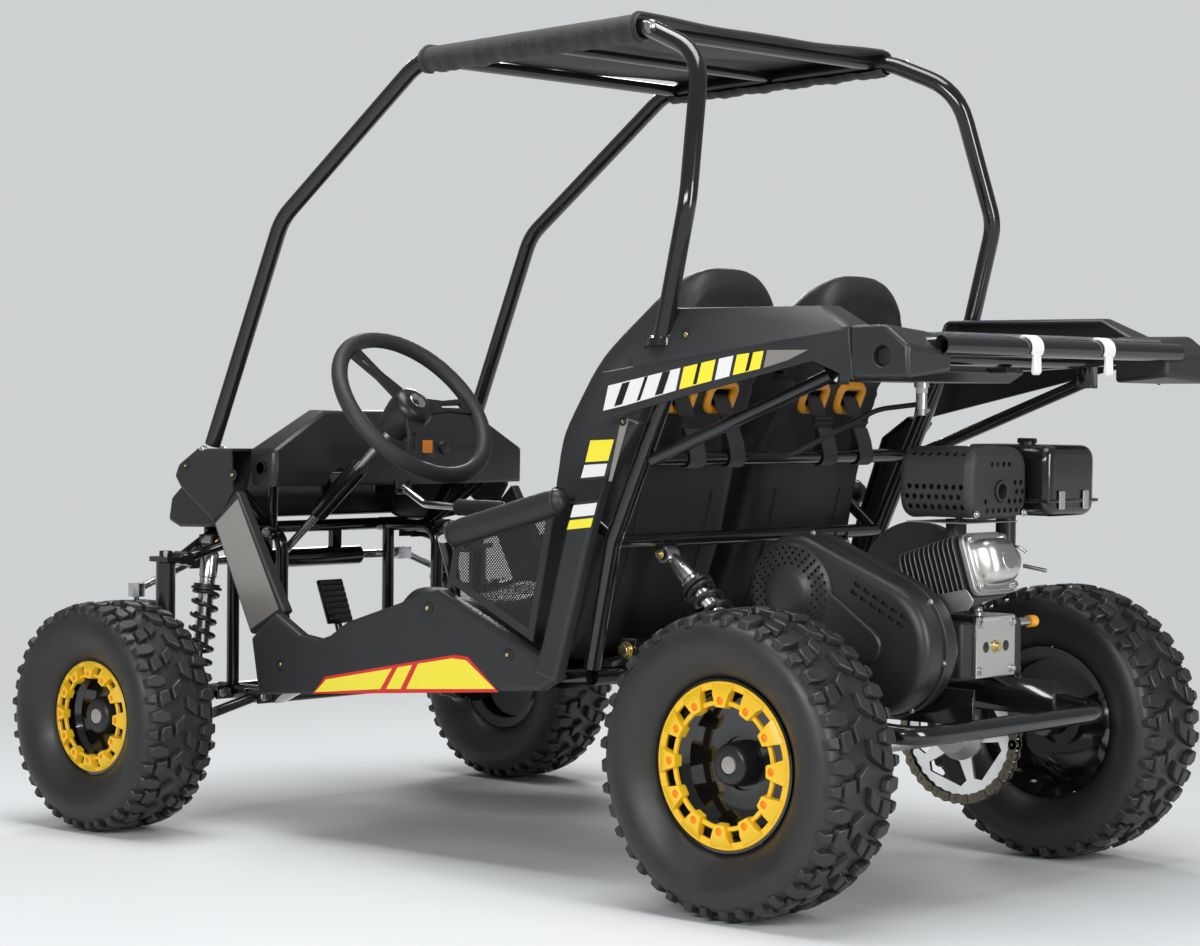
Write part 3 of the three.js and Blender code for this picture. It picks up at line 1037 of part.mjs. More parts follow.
// Coil-over shocks: a body with its top eye, a rod with its lower eye, and the spring between their seats
const shockParts = (top, low, across) => {
  const [start, end] = [vector(top), vector(low)];
  const length = start.distanceTo(end);
  const at = (distance) => start.clone().lerp(end, distance / length).toArray();
  const side = (distance, reach) => vector(at(distance)).addScaledVector(vector(across), reach).toArray();
  const half = shock.eyeWidth / 2;
  const eye = (distance) => bar(side(distance, -half), side(distance, half), shock.eye, 8);
  const eyeBore = (distance) => bar(side(distance, -half - overrun), side(distance, half + overrun),
    shock.pin + arm.pinGap, 6);
  const seatTop = length * 0.3;
  const seatLow = length * 0.86;
  const bodyEnd = length * 0.66;
  const body = cut(
    join(eye(0), bar(at(shock.eye * 0.6), at(bodyEnd), shock.body, 10),
      bar(at(seatTop - shock.seatThick), at(seatTop), shock.seat)),
    eyeBore(0),
    bar(at(length * 0.38), at(bodyEnd + overrun), shock.rod + shock.rodGap),
  );
  const rod = cut(
    join(eye(length), bar(at(length * 0.5), at(seatLow + 1), shock.rod, 6),
      bar(at(seatLow), at(seatLow + shock.seatThick), shock.seat),
      bar(at(seatLow + shock.seatThick - 1), at(length - shock.eye * 0.6), shock.body * 0.7, 6)),
    eyeBore(length),
  );
  const spring = coil(at(seatTop + shock.wire + fit), at(seatLow - shock.wire - fit), shock.coil, shock.wire, 4);
  return { body, rod, spring };
};

// Rear suspension and drive
const swingRoute = { kneeX: 180, kneeZ: 284, axleX: 20, axleHalf: 235, axleZ: 250, tailX: -166, tailZ: 236, bend: 55 };
const carrier = { half: 228, width: 14, radius: 30, boreGap: 0.3 };
const enginePlate = { x0: -60, x1: 152, half: 100, z: 288, thick: 6, webZ: 240 };
const swingArm = () => {
  const path = [[swing.pivotX, swing.half, swing.pivotZ], [swingRoute.kneeX, swing.half, swingRoute.kneeZ],
    [swingRoute.axleX, swingRoute.axleHalf, swingRoute.axleZ], [swingRoute.tailX, swingRoute.axleHalf,
      swingRoute.tailZ]];
  const route = [...path, ...path.map(([x, y, z]) => [x, -y, z]).reverse()];
  const sleeveEnd = swing.half + swing.sleeve;
  const crossAt = (x, z) => crossTube(x, swingRoute.axleHalf - swing.tube, z, swing.tube);
  const half = [
    bar([0, carrier.half - carrier.width / 2, rearAxleZ], [0, carrier.half + carrier.width / 2, rearAxleZ],
      carrier.radius, 10),
    block(-carrier.radius * 0.7, carrier.radius * 0.7, carrier.half - carrier.width / 2,
      carrier.half + carrier.width / 2, rearAxleZ, swingRoute.axleZ),
    block(swingRoute.tailX, enginePlate.x1, enginePlate.half - arm.tab, enginePlate.half, enginePlate.webZ,
      enginePlate.z + 1),
    ...shockEarsAcross(rearShock.lowX, rearShock.lowZ, rearShock.lowX - shock.eye, rearShock.lowX + shock.eye,
      rearShock.lowZ - shock.eye * 2.2, rearShock.lowZ + shock.eye),
    block(rearShock.lowX - shock.eye, rearShock.lowX + shock.eye, rearShock.half - shock.eyeWidth / 2 - shock.ear - 1,
      swingRoute.axleHalf - swing.tube, rearShock.lowZ - shock.eye * 3.4, rearShock.lowZ - shock.eye * 1.9),
  ];
  return cut(
    join(
      tube(route, swing.tube, swingRoute.bend, 8, 3),
      bar([swing.pivotX, -sleeveEnd, swing.pivotZ], [swing.pivotX, sleeveEnd, swing.pivotZ], swing.sleeve),
      crossAt(enginePlate.x1, enginePlate.webZ + swing.tube),
      block(enginePlate.x0, enginePlate.x1, -enginePlate.half, enginePlate.half, enginePlate.z,
        enginePlate.z + enginePlate.thick),
      ...half.flatMap(both),
    ),
    ...[1, -1].map((s) => bar([swing.pivotX, s * (swing.half - 2 * swing.sleeve), swing.pivotZ],
      [swing.pivotX, s * (sleeveEnd + overrun), swing.pivotZ], swing.pin + arm.pinGap)),
    ...[1, -1].map((s) => bar([0, s * (carrier.half - carrier.width), rearAxleZ],
      [0, s * (carrier.half + carrier.width), rearAxleZ], (axle + carrier.boreGap) / Math.cos(Math.PI / 10), 10)),
  );
};
const disc = { half: 207, radius: 70, thick: 4, carrier: 26 };
const pitchRadius = (teeth) => drive.pitch / (2 * Math.sin(Math.PI / teeth));
const toothShares = { root: 0.45, tip: 0.3 };
const sprocket = (teeth, x, z) => {
  const radius = pitchRadius(teeth);
  const step = (2 * Math.PI) / teeth;
  const outline = Array.from({ length: teeth }, (_, i) => {
    const point = (r, share) => {
      const angle = step * (i + share);
      return [x + r * Math.cos(angle), z + r * Math.sin(angle)];
    };
    return [point(radius - drive.pitch * toothShares.root, 0), point(radius + drive.pitch * toothShares.tip, 1 / 2)];
  }).flat();
  const thick = drive.pitch / 3;
  return sidePlate(outline, drive.chainHalf - thick / 2, thick);
};
const rearAxle = () => {
  const end = rearTrack / 2 + hub.spindleOut;
  return join(
    bar([0, -end, rearAxleZ], [0, end, rearAxleZ], axle, 10),
    sprocket(drive.teeth, 0, rearAxleZ),
    bar([0, drive.chainHalf - disc.carrier / 2, rearAxleZ], [0, drive.chainHalf + disc.carrier, rearAxleZ],
      disc.carrier),
    bar([0, disc.half - disc.thick / 2, rearAxleZ], [0, disc.half + disc.thick / 2, rearAxleZ], disc.radius, 18),
    bar([0, disc.half - disc.carrier, rearAxleZ], [0, disc.half, rearAxleZ], disc.carrier),
    ...[1, -1].map((s) => bar([0, s * (rearTrack / 2 + hub.disc - fit), rearAxleZ],
      [0, s * (rearTrack / 2 - disc.carrier * 2), rearAxleZ], disc.carrier * 0.8)),
  );
};
// The chain's run: round the axle sprocket, round the output sprocket, straight between them
const chainForm = { plate: 1.6, plateHigh: 10, roller: 2.8, halfWidth: 5, rollerEvery: 3 };
const chainRun = () => {
  const from = new THREE.Vector2(0, rearAxleZ);
  const to = new THREE.Vector2(drive.outputX, drive.outputZ);
  const gap = to.clone().sub(from);
  const wrap = Math.acos((pitchRadius(drive.teeth) - pitchRadius(drive.outputTeeth)) / gap.length());
  const onTeeth = (centre, teeth, start, end) => {
    const [step, radius] = [(2 * Math.PI) / teeth, pitchRadius(teeth)];
    const [first, last] = [Math.ceil(start / step), Math.floor(end / step)];
    return Array.from({ length: last - first + 1 }, (_, i) => [
      centre.x + radius * Math.cos((first + i) * step), centre.y + radius * Math.sin((first + i) * step),
    ]);
  };
  const straight = (a, b) => {
    const steps = Math.round(Math.hypot(b[0] - a[0], b[1] - a[1]) / drive.pitch);
    return Array.from({ length: steps - 1 }, (_, i) => {
      const t = (i + 1) / steps;
      return [a[0] + (b[0] - a[0]) * t, a[1] + (b[1] - a[1]) * t];
    });
  };
  const facing = gap.angle();
  const around = onTeeth(from, drive.teeth, facing + wrap, facing + 2 * Math.PI - wrap);
  const back = onTeeth(to, drive.outputTeeth, facing - wrap, facing + wrap);
  return [...around, ...straight(around.at(-1), back[0]), ...back, ...straight(back.at(-1), around[0])];
};
const driveChain = () => {
  const run = chainRun();
  const half = chainForm.plateHigh / 2;
  const [outer, inner] = [inset(run, -half), inset(run, half)];
  const strips = [-1, 1].map((s) =>
    sidePlate(outer, drive.chainHalf + s * chainForm.halfWidth - chainForm.plate / 2, chainForm.plate, [inner]));
  const rollers = run.filter((_, i) => i % chainForm.rollerEvery === 0).map(([x, z]) =>
    bar([x, drive.chainHalf - chainForm.halfWidth, z], [x, drive.chainHalf + chainForm.halfWidth, z],
      chainForm.roller, 4));
  return join(...strips, ...rollers);
};

// Engine: crankcase, sloping finned cylinder, valve cover, flywheel shroud, carburettor and exhaust stub
const motor = { x0: -16, x1: 146, half: 100, z1: 418, y: 38, headX: -178, headZ: 457, startX: 20, startZ: 402,
  core: 82, fin: 5, finWide: 104, finHigh: 88, fins: 7, cover: 92, coverHigh: 82, flange: 5, dome: 28,
  shroud: 96, shroudDeep: 62, shroudX: 76, shroudZ: 405, carbX: -92, carbHalf: -72, carbZ: 452, carb: 20 };
const engine = () => {
  const start = vector([motor.startX, motor.y, motor.startZ]);
  const head = vector([motor.headX + motor.dome, motor.y, motor.headZ]);
  const axis = head.clone().sub(start).normalize();
  const lean = Math.atan2(axis.z, -axis.x);
  const across = (long, wide, high, place) =>
    new THREE.BoxGeometry(long, wide, high).rotateY(lean).translate(...place.toArray());
  const reach = head.distanceTo(start);
  const spot = (distance) => start.clone().addScaledVector(axis, distance);
  const fins = Array.from({ length: motor.fins }, (_, i) =>
    across(motor.fin, motor.finWide, motor.finHigh, spot(reach * (0.4 + (0.52 * i) / motor.fins))));
  const dome = hull([0, 1].flatMap((level) => {
    const inward = level * motor.flange * 2;
    const place = (u, v) => {
      const [wide, high] = [motor.cover / 2 - motor.flange - inward, motor.coverHigh / 2 - motor.flange - inward];
      const along = spot(reach + level * motor.dome);
      return [along.x + v * high * Math.sin(lean), along.y + u * wide, along.z + v * high * Math.cos(lean)];
    };
    return [place(-0.6, -1), place(0.6, -1), place(1, -0.6), place(1, 0.6), place(0.6, 1), place(-0.6, 1),
      place(-1, 0.6), place(-1, -0.6)];
  }));
  const base = enginePlate.z + enginePlate.thick + fit;
  const chamfer = motor.fin * 4;
  const crankcase = hull([[motor.x0, base], [motor.x1, base], [motor.x1, motor.z1 - chamfer],
    [motor.x1 - chamfer, motor.z1], [motor.x0, motor.z1]].flatMap(([x, z]) =>
    [[x, motor.half, z], [x, -motor.half, z]]));
  return join(
    crankcase,
    across(reach, motor.core, motor.core * 0.86, spot(reach / 2)),
    ...fins,
    across(motor.flange * 2, motor.cover, motor.coverHigh, spot(reach - motor.flange)),
    dome,
    bar([motor.shroudX, -motor.half + 1, motor.shroudZ], [motor.shroudX, -motor.half - motor.shroudDeep, motor.shroudZ],
      motor.shroud, 18, motor.shroud * 0.84),
    bar([motor.carbX, motor.y - motor.core / 2 + 1, motor.carbZ], [motor.carbX, motor.carbHalf - motor.carb,
      motor.carbZ], motor.carb, 10),
    bar([motor.carbX, motor.carbHalf, motor.carbZ], [motor.carbX, motor.carbHalf, motor.carbZ - motor.carb * 2],
      motor.carb * 0.8, 10),
    bar([motor.carbX, motor.carbHalf - motor.carb / 2, motor.carbZ], [motor.carbX, motor.carbHalf - motor.carb / 2,
      airBox.low - fit], motor.carb * 0.7, 10),
    bar([motor.carbX, motor.y, motor.headZ - motor.dome], [motor.carbX, motor.y, silencer.low - fit],
      motor.carb * 0.7, 10),
  );
};
const silencer = { x0: -152, x1: -32, y0: -46, y1: 92, low: 514, high: 612, bulge: 26, port: 12, portHalf: 20,
  portZ: 552, portDeep: 14 };
const roundedBox = (size, inward) => {
  const { x0, x1, y0, y1, low, high, bulge } = size;
  const ring = (x, shrink) => {
    const [a, b, c, d] = [y0 + shrink, y1 - shrink, low + shrink / 2, high - shrink];
    const r = bulge;
    return [[a, c], [b, c], [b, d - r], [b - r * 0.3, d - r * 0.35], [b - r, d], [a + r, d], [a + r * 0.3, d - r * 0.35],
      [a, d - r]].map(([y, z]) => [x, y, z]);
  };
  return loft([ring(x0, inward), ring(x0 + inward, 0), ring(x1 - inward, 0), ring(x1, inward)]);
};
const muffler = () =>
  cut(roundedBox(silencer, silencer.port),
    bar([silencer.x0 - overrun, silencer.portHalf, silencer.portZ],
      [silencer.x0 + silencer.portDeep, silencer.portHalf, silencer.portZ], silencer.port, 12));
const airBox = { x0: -178, x1: -28, y0: -176, y1: -56, low: 516, high: 614, bulge: 24, lip: 4, lipZ: 540 };
const airCleaner = () =>
  join(roundedBox(airBox, airBox.lip * 2),
    block(airBox.x0 - airBox.lip / 2, airBox.x1 + airBox.lip / 2, airBox.y0 - airBox.lip / 2, airBox.y1 + airBox.lip / 2,
      airBox.lipZ - airBox.lip, airBox.lipZ));
const belt = { frontX: 76, frontZ: 410, front: 80, rearX: -55, rearZ: 344, rear: 93, near: 103, wall: 172, far: 192,
  round: 16, crown: 34 };
const beltCover = () => {
  const disk = (x, z, radius, y) => polygon(radius, 16, Math.PI / 16).map(([u, v]) => [x + u, y, z + v]);
  const level = (y, inward) => [...disk(belt.frontX, belt.frontZ, belt.front - inward, y),
    ...disk(belt.rearX, belt.rearZ, belt.rear - inward, y)];
  return join(
    hull([...level(belt.near, 0), ...level(belt.wall, 0), ...level(belt.far - belt.round / 2, belt.round)]),
    bar([belt.frontX, belt.wall, belt.frontZ], [belt.frontX, belt.far, belt.frontZ], belt.front - belt.round / 3, 16,
      belt.crown),
  );
};
const box = { x0: -114, x1: -20, y0: -94, y1: 54, low: 296, high: 374, plate: 6, plateHalf: 34, collar: 38, bolt: 9,
  boltHigh: 12, output: 16, fitting: 6, fittingLength: 40 };
const gearbox = () => {
  const middle = (box.y0 + box.y1) / 2;
  const height = (box.low + box.high) / 2;
  return join(
    block(box.x0, box.x1, box.y0, box.y1, enginePlate.z + enginePlate.thick + fit, box.high),
    block(box.x0 - box.plate, box.x0 + 1, middle - box.plateHalf * 1.4, middle + box.plateHalf * 1.4, box.low,
      box.high + box.plate),
    bar([box.x0 + box.collar + box.plate, box.y1 - 1, height], [box.x0 + box.collar + box.plate, belt.near - fit,
      height], box.collar, 14),
    bar([box.x0 + box.bolt * 3, middle, box.high - 1], [box.x0 + box.bolt * 3, middle, box.high + box.boltHigh],
      box.bolt, 6),
    bar([drive.outputX, box.y0 + 1, drive.outputZ], [drive.outputX, drive.chainHalf, drive.outputZ], box.output, 10),
    sprocket(drive.outputTeeth, drive.outputX, drive.outputZ),
    bar([box.x0 + box.bolt * 2, box.y0 + 1, box.high - box.bolt], [box.x0 + box.bolt * 2, box.y0 - box.fittingLength,
      box.high - box.bolt], box.fitting, 6),
  );
};

// What stands on the chassis
piece(chassis, "main_frame", mainFrame(), glossBlack);
piece(chassis, "rear_frame", rearFrame(), glossBlack);
piece(chassis, "roll_cage", rollCage(), glossBlack);
piece(chassis, "canopy", canopy(), cloth);
piece(chassis, "front_cowl", frontCowl(), mattePlastic);
piece(chassis, "dash_panel", dashPanel(), mattePlastic);
pair(chassis, "side_panel", sidePanel(), mattePlastic);
pair(chassis, "rear_fairing", rearFairing(), mattePlastic);
for (const [word, side] of Object.entries(sides)) piece(chassis, `seat_${word}`, seat(side), seatCover);
pair(chassis, "side_net", sideNet(), seatCover);
piece(chassis, "rear_deck", rearDeck(), clearSheet);
piece(chassis, "fuel_tank", fuelTank(), mattePlastic);

// Controls
piece(group(), "steering_wheel", steeringWheel(), mattePlastic, columnTop);
const rackGroup = group();
piece(rackGroup, "steering_rack", steeringRack(), brightMetal, [rackX, 0, steering.rodZ]);
piece(group(), "throttle_pedal", pedalArm(pedal.throttleHalf), glossBlack, [pedal.x, pedal.throttleHalf, pedalPivotZ]);
piece(group(), "brake_pedal", pedalArm(pedal.brakeHalf), glossBlack, [pedal.x, pedal.brakeHalf, pedalPivotZ]);
piece(group(), "gear_lever", gearLever(), brightMetal, [lever.x, lever.half, lever.z]);
piece(group(), "rocker_switch", rockerSwitch(), finish(0xe0731c, 0.4), rockerPlace);

// Front corners
const corner = group();
pair(corner, "front_lower_arm", lowerArm(), glossBlack, [wheelbase, arm.innerHalf, arm.lowerZ]);
pair(corner, "front_upper_arm", wishbone(arm.upperZ), glossBlack, [wheelbase, arm.innerHalf, arm.upperZ]);
pair(corner, "front_upright", upright(), brightMetal, lowerOuter);
pair(corner, "front_knuckle", knuckle(), glossBlack, [wheelbase, kingpin.half, frontAxleZ]);
pair(corner, "tie_rod", tieRod(), brightMetal, [rackX, rackEndHalf, steering.rodZ]);
const frontTop = [wheelbase, frontShock.topHalf, frontShock.topZ];
const frontLow = [wheelbase, frontShock.lowHalf, frontShock.lowZ];
const frontShockParts = shockParts(frontTop, frontLow, [1, 0, 0]);
pair(corner, "front_shock_body", frontShockParts.body, brightMetal, frontTop);
pair(corner, "front_shock_rod", frontShockParts.rod, brightMetal, frontLow);
pair(corner, "front_spring", frontShockParts.spring, glossBlack, frontTop);

// Wheels
const wheelSets = {
  front: { size: frontWheel, place: [wheelbase, frontTrack / 2, frontAxleZ], bore: spindle + hub.boreGap },
  rear: { size: rearWheel, place: [0, rearTrack / 2, rearAxleZ], bore: axle + hub.boreGap },
};
for (const [end, set] of Object.entries(wheelSets)) {
  const parts = {
    rim: [rim(set.size, set.bore), rimYellow],
    tyre: [tyre(set.size), tyreRubber],
  };
  for (const [part, [geometry, material]] of Object.entries(parts))
    for (const [word, side] of Object.entries(sides)) {
      const turned = side > 0 ? geometry.clone() : geometry.clone().rotateZ(Math.PI);
      const place = sidePlace(set.place, side);
      piece(kart, `${end}_${part}_${word}`, turned.translate(...place), material, place);
    }
}

// Rear suspension, drive and engine
const rearGroup = group();
piece(rearGroup, "swing_arm", swingArm(), glossBlack, [swing.pivotX, 0, swing.pivotZ]);
piece(rearGroup, "rear_axle", rearAxle(), brightMetal, [0, 0, rearAxleZ]);
piece(rearGroup, "drive_chain", driveChain(), brightMetal, [0, drive.chainHalf, rearAxleZ]);
piece(rearGroup, "engine", engine(), castMetal);
piece(rearGroup, "muffler", muffler(), heatBlack);
piece(rearGroup, "air_cleaner", airCleaner(), mattePlastic);
piece(rearGroup, "belt_cover", beltCover(), heatBlack);
piece(rearGroup, "gearbox", gearbox(), castMetal);
const rearTop = [rearShock.topX, rearShock.half, rearShock.topZ];
const rearLow = [rearShock.lowX, rearShock.half, rearShock.lowZ];
const rearShockParts = shockParts(rearTop, rearLow, [0, 1, 0]);
pair(rearGroup, "rear_shock_body", rearShockParts.body, brightMetal, rearTop);
pair(rearGroup, "rear_shock_rod", rearShockParts.rod, brightMetal, rearLow);
pair(rearGroup, "rear_spring", rearShockParts.spring, glossBlack, rearTop);

// The kart is centred over its footprint, front to rear
const footprint = new THREE.Box3().setFromObject(kart, true);
kart.position.x = -(footprint.min.x + footprint.max.x) / 2;

export default kart;
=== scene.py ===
# %% [markdown]
# An off-road go kart is a tube frame on four knobbly tyres, with a cloth roof, two bucket seats and
# an engine behind them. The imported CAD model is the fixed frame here: each piece below is placed
# from the same sizes, in metres, and rides on one of its bodies.

# %% The frame
import json
import math

import bpy
from mathutils import Matrix, Vector

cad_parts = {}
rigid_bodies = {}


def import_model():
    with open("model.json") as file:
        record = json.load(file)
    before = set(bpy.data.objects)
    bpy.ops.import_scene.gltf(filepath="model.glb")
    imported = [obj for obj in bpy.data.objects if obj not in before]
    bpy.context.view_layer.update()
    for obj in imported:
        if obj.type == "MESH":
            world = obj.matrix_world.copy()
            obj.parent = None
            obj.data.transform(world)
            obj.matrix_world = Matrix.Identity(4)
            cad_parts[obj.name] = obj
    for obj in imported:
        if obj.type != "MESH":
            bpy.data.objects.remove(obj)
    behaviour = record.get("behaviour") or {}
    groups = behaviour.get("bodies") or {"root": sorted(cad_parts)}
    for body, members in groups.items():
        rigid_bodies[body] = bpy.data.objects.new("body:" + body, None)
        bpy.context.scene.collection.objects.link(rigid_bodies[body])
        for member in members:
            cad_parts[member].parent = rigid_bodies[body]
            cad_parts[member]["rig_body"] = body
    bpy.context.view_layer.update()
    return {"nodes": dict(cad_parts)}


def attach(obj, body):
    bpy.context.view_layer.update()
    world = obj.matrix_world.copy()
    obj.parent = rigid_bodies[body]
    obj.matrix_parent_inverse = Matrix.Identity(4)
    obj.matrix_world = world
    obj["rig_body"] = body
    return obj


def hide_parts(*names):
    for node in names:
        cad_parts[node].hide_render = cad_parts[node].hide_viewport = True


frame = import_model()
nodes = frame["nodes"]
AXLE_X = -0.555917  # where the rear axle stands along X
SIDES = {"left": 1, "right": -1}


def spot(x, y, z):
    """A place given in millimetres ahead of the rear axle, left of the middle and above the ground."""
    return Vector((x / 1000 + AXLE_X, y / 1000, z / 1000))


# %% [markdown]
# The camera stands behind the kart's left rear corner, low down and far off, with a long lens, so
# the wheels keep nearly the same size. Its place and turn were worked out from the photo's lines.

# %% The camera
CAMERA_AT = spot(-2383.7, 3342.5, 673.6)
HEADING, PITCH, ROLL = -0.84348, -0.02563, 0.00914
look = Vector((math.cos(HEADING) * math.cos(PITCH), math.sin(HEADING) * math.cos(PITCH), math.sin(PITCH)))
level_right = look.cross(Vector((0, 0, 1))).normalized()
level_up = level_right.cross(look)
right = math.cos(ROLL) * level_right + math.sin(ROLL) * level_up
up = math.cos(ROLL) * level_up - math.sin(ROLL) * level_right
bpy.ops.object.camera_add()
camera = bpy.context.object
camera.data.sensor_width = 36
camera.data.lens = 88.1
camera.data.clip_end = 60
turn = Matrix((right, up, -look)).transposed().to_4x4()
camera.matrix_world = Matrix.Translation(CAMERA_AT) @ turn
bpy.context.scene.camera = camera
print("camera", tuple(round(v, 3) for v in camera.location))


# %% [markdown]
# A node group holds an effect that several finishes share. These three are the grain of a moulded
# surface, a slow change of shade over a piece, and the cross weave of a cloth. Each finish sets its
# own scale and strength on the group's sockets.

# %% Shared effects
def new_group(name, inputs, outputs):
    group = bpy.data.node_groups.new(name, "ShaderNodeTree")
    for label, kind, value in inputs:
        socket = group.interface.new_socket(name=label, in_out="INPUT", socket_type=kind)
        socket.default_value = value
    for label, kind in outputs:
        group.interface.new_socket(name=label, in_out="OUTPUT", socket_type=kind)
    return group, group.nodes.new("NodeGroupInput"), group.nodes.new("NodeGroupOutput")


def maths(tree, operation, first, second):
    node = tree.nodes.new("ShaderNodeMath")
    node.operation = operation
    tree.links.new(first, node.inputs[0])
    tree.links.new(second, node.inputs[1])
    return node.outputs[0]


def noise(tree, place, scale, detail):
    node = tree.nodes.new("ShaderNodeTexNoise")
    node.inputs["Detail"].default_value = detail
    tree.links.new(place, node.inputs["Vector"])
    tree.links.new(scale, node.inputs["Scale"])
    return node.outputs["Fac"]


def mixed(tree, amount, first, second):
    node = tree.nodes.new("ShaderNodeMix")
    node.data_type = "RGBA"
    for key, value in (("Factor", amount), ("A", first), ("B", second)):
        socket = next(s for s in node.inputs if s.name == key and (key == "Factor") == (s.type == "VALUE")
                      and s.type != "VECTOR")
        tree.links.new(value, socket)
    return next(s for s in node.outputs if s.type == "RGBA")


grain, gin, gout = new_group("moulded grain", [("Scale", "NodeSocketFloat", 900.0)], [("Height", "NodeSocketFloat")])
grain_place = grain.nodes.new("ShaderNodeTexCoord").outputs["Object"]
grain.links.new(noise(grain, grain_place, gin.outputs["Scale"], 2.0), gout.inputs["Height"])

shade, sin_, sout = new_group(
    "slow shade",
    [("Scale", "NodeSocketFloat", 6.0), ("Base", "NodeSocketColor", (0.1, 0.1, 0.1, 1)),
     ("Other", "NodeSocketColor", (0.2, 0.2, 0.2, 1)), ("Least", "NodeSocketFloat", 0.3),
     ("Most", "NodeSocketFloat", 0.5)],
    [("Color", "NodeSocketColor"), ("Roughness", "NodeSocketFloat")])
shade_place = shade.nodes.new("ShaderNodeTexCoord").outputs["Object"]
cloud = noise(shade, shade_place, sin_.outputs["Scale"], 4.0)
spread = shade.nodes.new("ShaderNodeMapRange")
spread.inputs["From Min"].default_value = 0.35
spread.inputs["From Max"].default_value = 0.65
shade.links.new(cloud, spread.inputs["Value"])
shade.links.new(sin_.outputs["Least"], spread.inputs["To Min"])
shade.links.new(sin_.outputs["Most"], spread.inputs["To Max"])
shade.links.new(spread.outputs["Result"], sout.inputs["Roughness"])
shade.links.new(mixed(shade, cloud, sin_.outputs["Base"], sin_.outputs["Other"]), sout.inputs["Color"])

weave, win, wout = new_group("cross weave", [("Scale", "NodeSocketFloat", 700.0)], [("Height", "NodeSocketFloat")])
weave_place = weave.nodes.new("ShaderNodeTexCoord").outputs["Object"]
threads = []
for direction in ("X", "Y"):
    thread = weave.nodes.new("ShaderNodeTexWave")
    thread.bands_direction = direction
    thread.inputs["Distortion"].default_value = 0.6
    weave.links.new(weave_place, thread.inputs["Vector"])
    weave.links.new(win.outputs["Scale"], thread.inputs["Scale"])
    threads.append(thread.outputs["Fac"])
weave.links.new(maths(weave, "MULTIPLY", *threads), wout.inputs["Height"])
print("effects", [g.name for g in bpy.data.node_groups])


# %% [markdown]
# A finish is one Principled surface. Its colour and roughness drift slowly over the piece, and a fine
# bump gives the orange peel of paint, the grain of plastic or the weave of cloth. Plain values that
# are the same all over, such as the coat on the frame's paint, stay on the surface itself.

# %% Finishes
def finish(name, base, other, rough, bump=None, metal=0.0, scale=6.0, **plain):
    material = bpy.data.materials.new(name)
    material.use_nodes = True
    tree = material.node_tree
    surface = tree.nodes["Principled BSDF"]
    drift = tree.nodes.new("ShaderNodeGroup")
    drift.node_tree = shade
    drift.inputs["Scale"].default_value = scale
    drift.inputs["Base"].default_value = (*base, 1)
    drift.inputs["Other"].default_value = (*other, 1)
    drift.inputs["Least"].default_value, drift.inputs["Most"].default_value = rough
    tree.links.new(drift.outputs["Color"], surface.inputs["Base Color"])
    tree.links.new(drift.outputs["Roughness"], surface.inputs["Roughness"])
    surface.inputs["Metallic"].default_value = metal
    if bump:
        group, size, depth = bump
        relief = tree.nodes.new("ShaderNodeGroup")
        relief.node_tree = group
        relief.inputs["Scale"].default_value = size
        bumped = tree.nodes.new("ShaderNodeBump")
        bumped.inputs["Distance"].default_value = depth
        bumped.inputs["Strength"].default_value = 0.6
        tree.links.new(relief.outputs["Height"], bumped.inputs["Height"])
        tree.links.new(bumped.outputs["Normal"], surface.inputs["Normal"])
    for socket, value in plain.items():
        surface.inputs[socket.replace("_", " ")].default_value = value
    material.diffuse_color = (*base, 1)
    return material


tube_paint = finish("gloss black powder coat", (0.006, 0.006, 0.007), (0.011, 0.011, 0.012), (0.12, 0.2),
                    (grain, 260, 0.00006), Coat_Weight=0.5, Coat_Roughness=0.06)
panel_plastic = finish("grained black plastic", (0.017, 0.018, 0.019), (0.027, 0.028, 0.03), (0.36, 0.5),
                       (grain, 1500, 0.00012))
smooth_plastic = finish("smooth black plastic", (0.012, 0.012, 0.013), (0.02, 0.02, 0.021), (0.28, 0.4),
                        (grain, 1200, 0.00006))
grip_rubber = finish("moulded wheel grip", (0.02, 0.02, 0.02), (0.032, 0.031, 0.03), (0.5, 0.62),
                     (grain, 2200, 0.0002))
tyre_rubber = finish("tyre rubber", (0.014, 0.014, 0.014), (0.029, 0.028, 0.027), (0.36, 0.54),
                     (grain, 700, 0.00025), scale=14)
ring_yellow = finish("yellow ring plastic", (0.95, 0.56, 0.015), (1.0, 0.63, 0.03), (0.3, 0.4),
                     (grain, 900, 0.00005))
hole_orange = finish("orange insert plastic", (0.9, 0.25, 0.01), (0.95, 0.3, 0.015), (0.35, 0.45),
                     (grain, 900, 0.00005))
dish_paint = finish("gloss black rim paint", (0.004, 0.004, 0.004), (0.008, 0.008, 0.008), (0.06, 0.12),
                    (grain, 200, 0.00005), Coat_Weight=0.8, Coat_Roughness=0.04)
seat_skin = finish("black seat leatherette", (0.014, 0.014, 0.015), (0.022, 0.022, 0.024), (0.42, 0.54),
                   (grain, 1100, 0.0003))
seat_weave = finish("seat back weave", (0.012, 0.012, 0.013), (0.02, 0.02, 0.022), (0.7, 0.85),
                    (weave, 420, 0.0005), Sheen_Weight=0.15)
roof_cloth = finish("black roof cloth", (0.008, 0.008, 0.008), (0.015, 0.015, 0.015), (0.62, 0.78),
                    (weave, 520, 0.0004), Sheen_Weight=0.2)
belt_webbing = finish("harness webbing", (0.008, 0.009, 0.011), (0.016, 0.018, 0.022), (0.55, 0.7),
                      (weave, 900, 0.0004), Sheen_Weight=0.2)
net_yarn = finish("black net yarn", (0.012, 0.012, 0.012), (0.02, 0.02, 0.02), (0.6, 0.75), (weave, 900, 0.0002))
zinc = finish("zinc plated steel", (0.6, 0.61, 0.63), (0.72, 0.72, 0.73), (0.2, 0.34), (grain, 900, 0.00005),
              metal=1.0, scale=30)
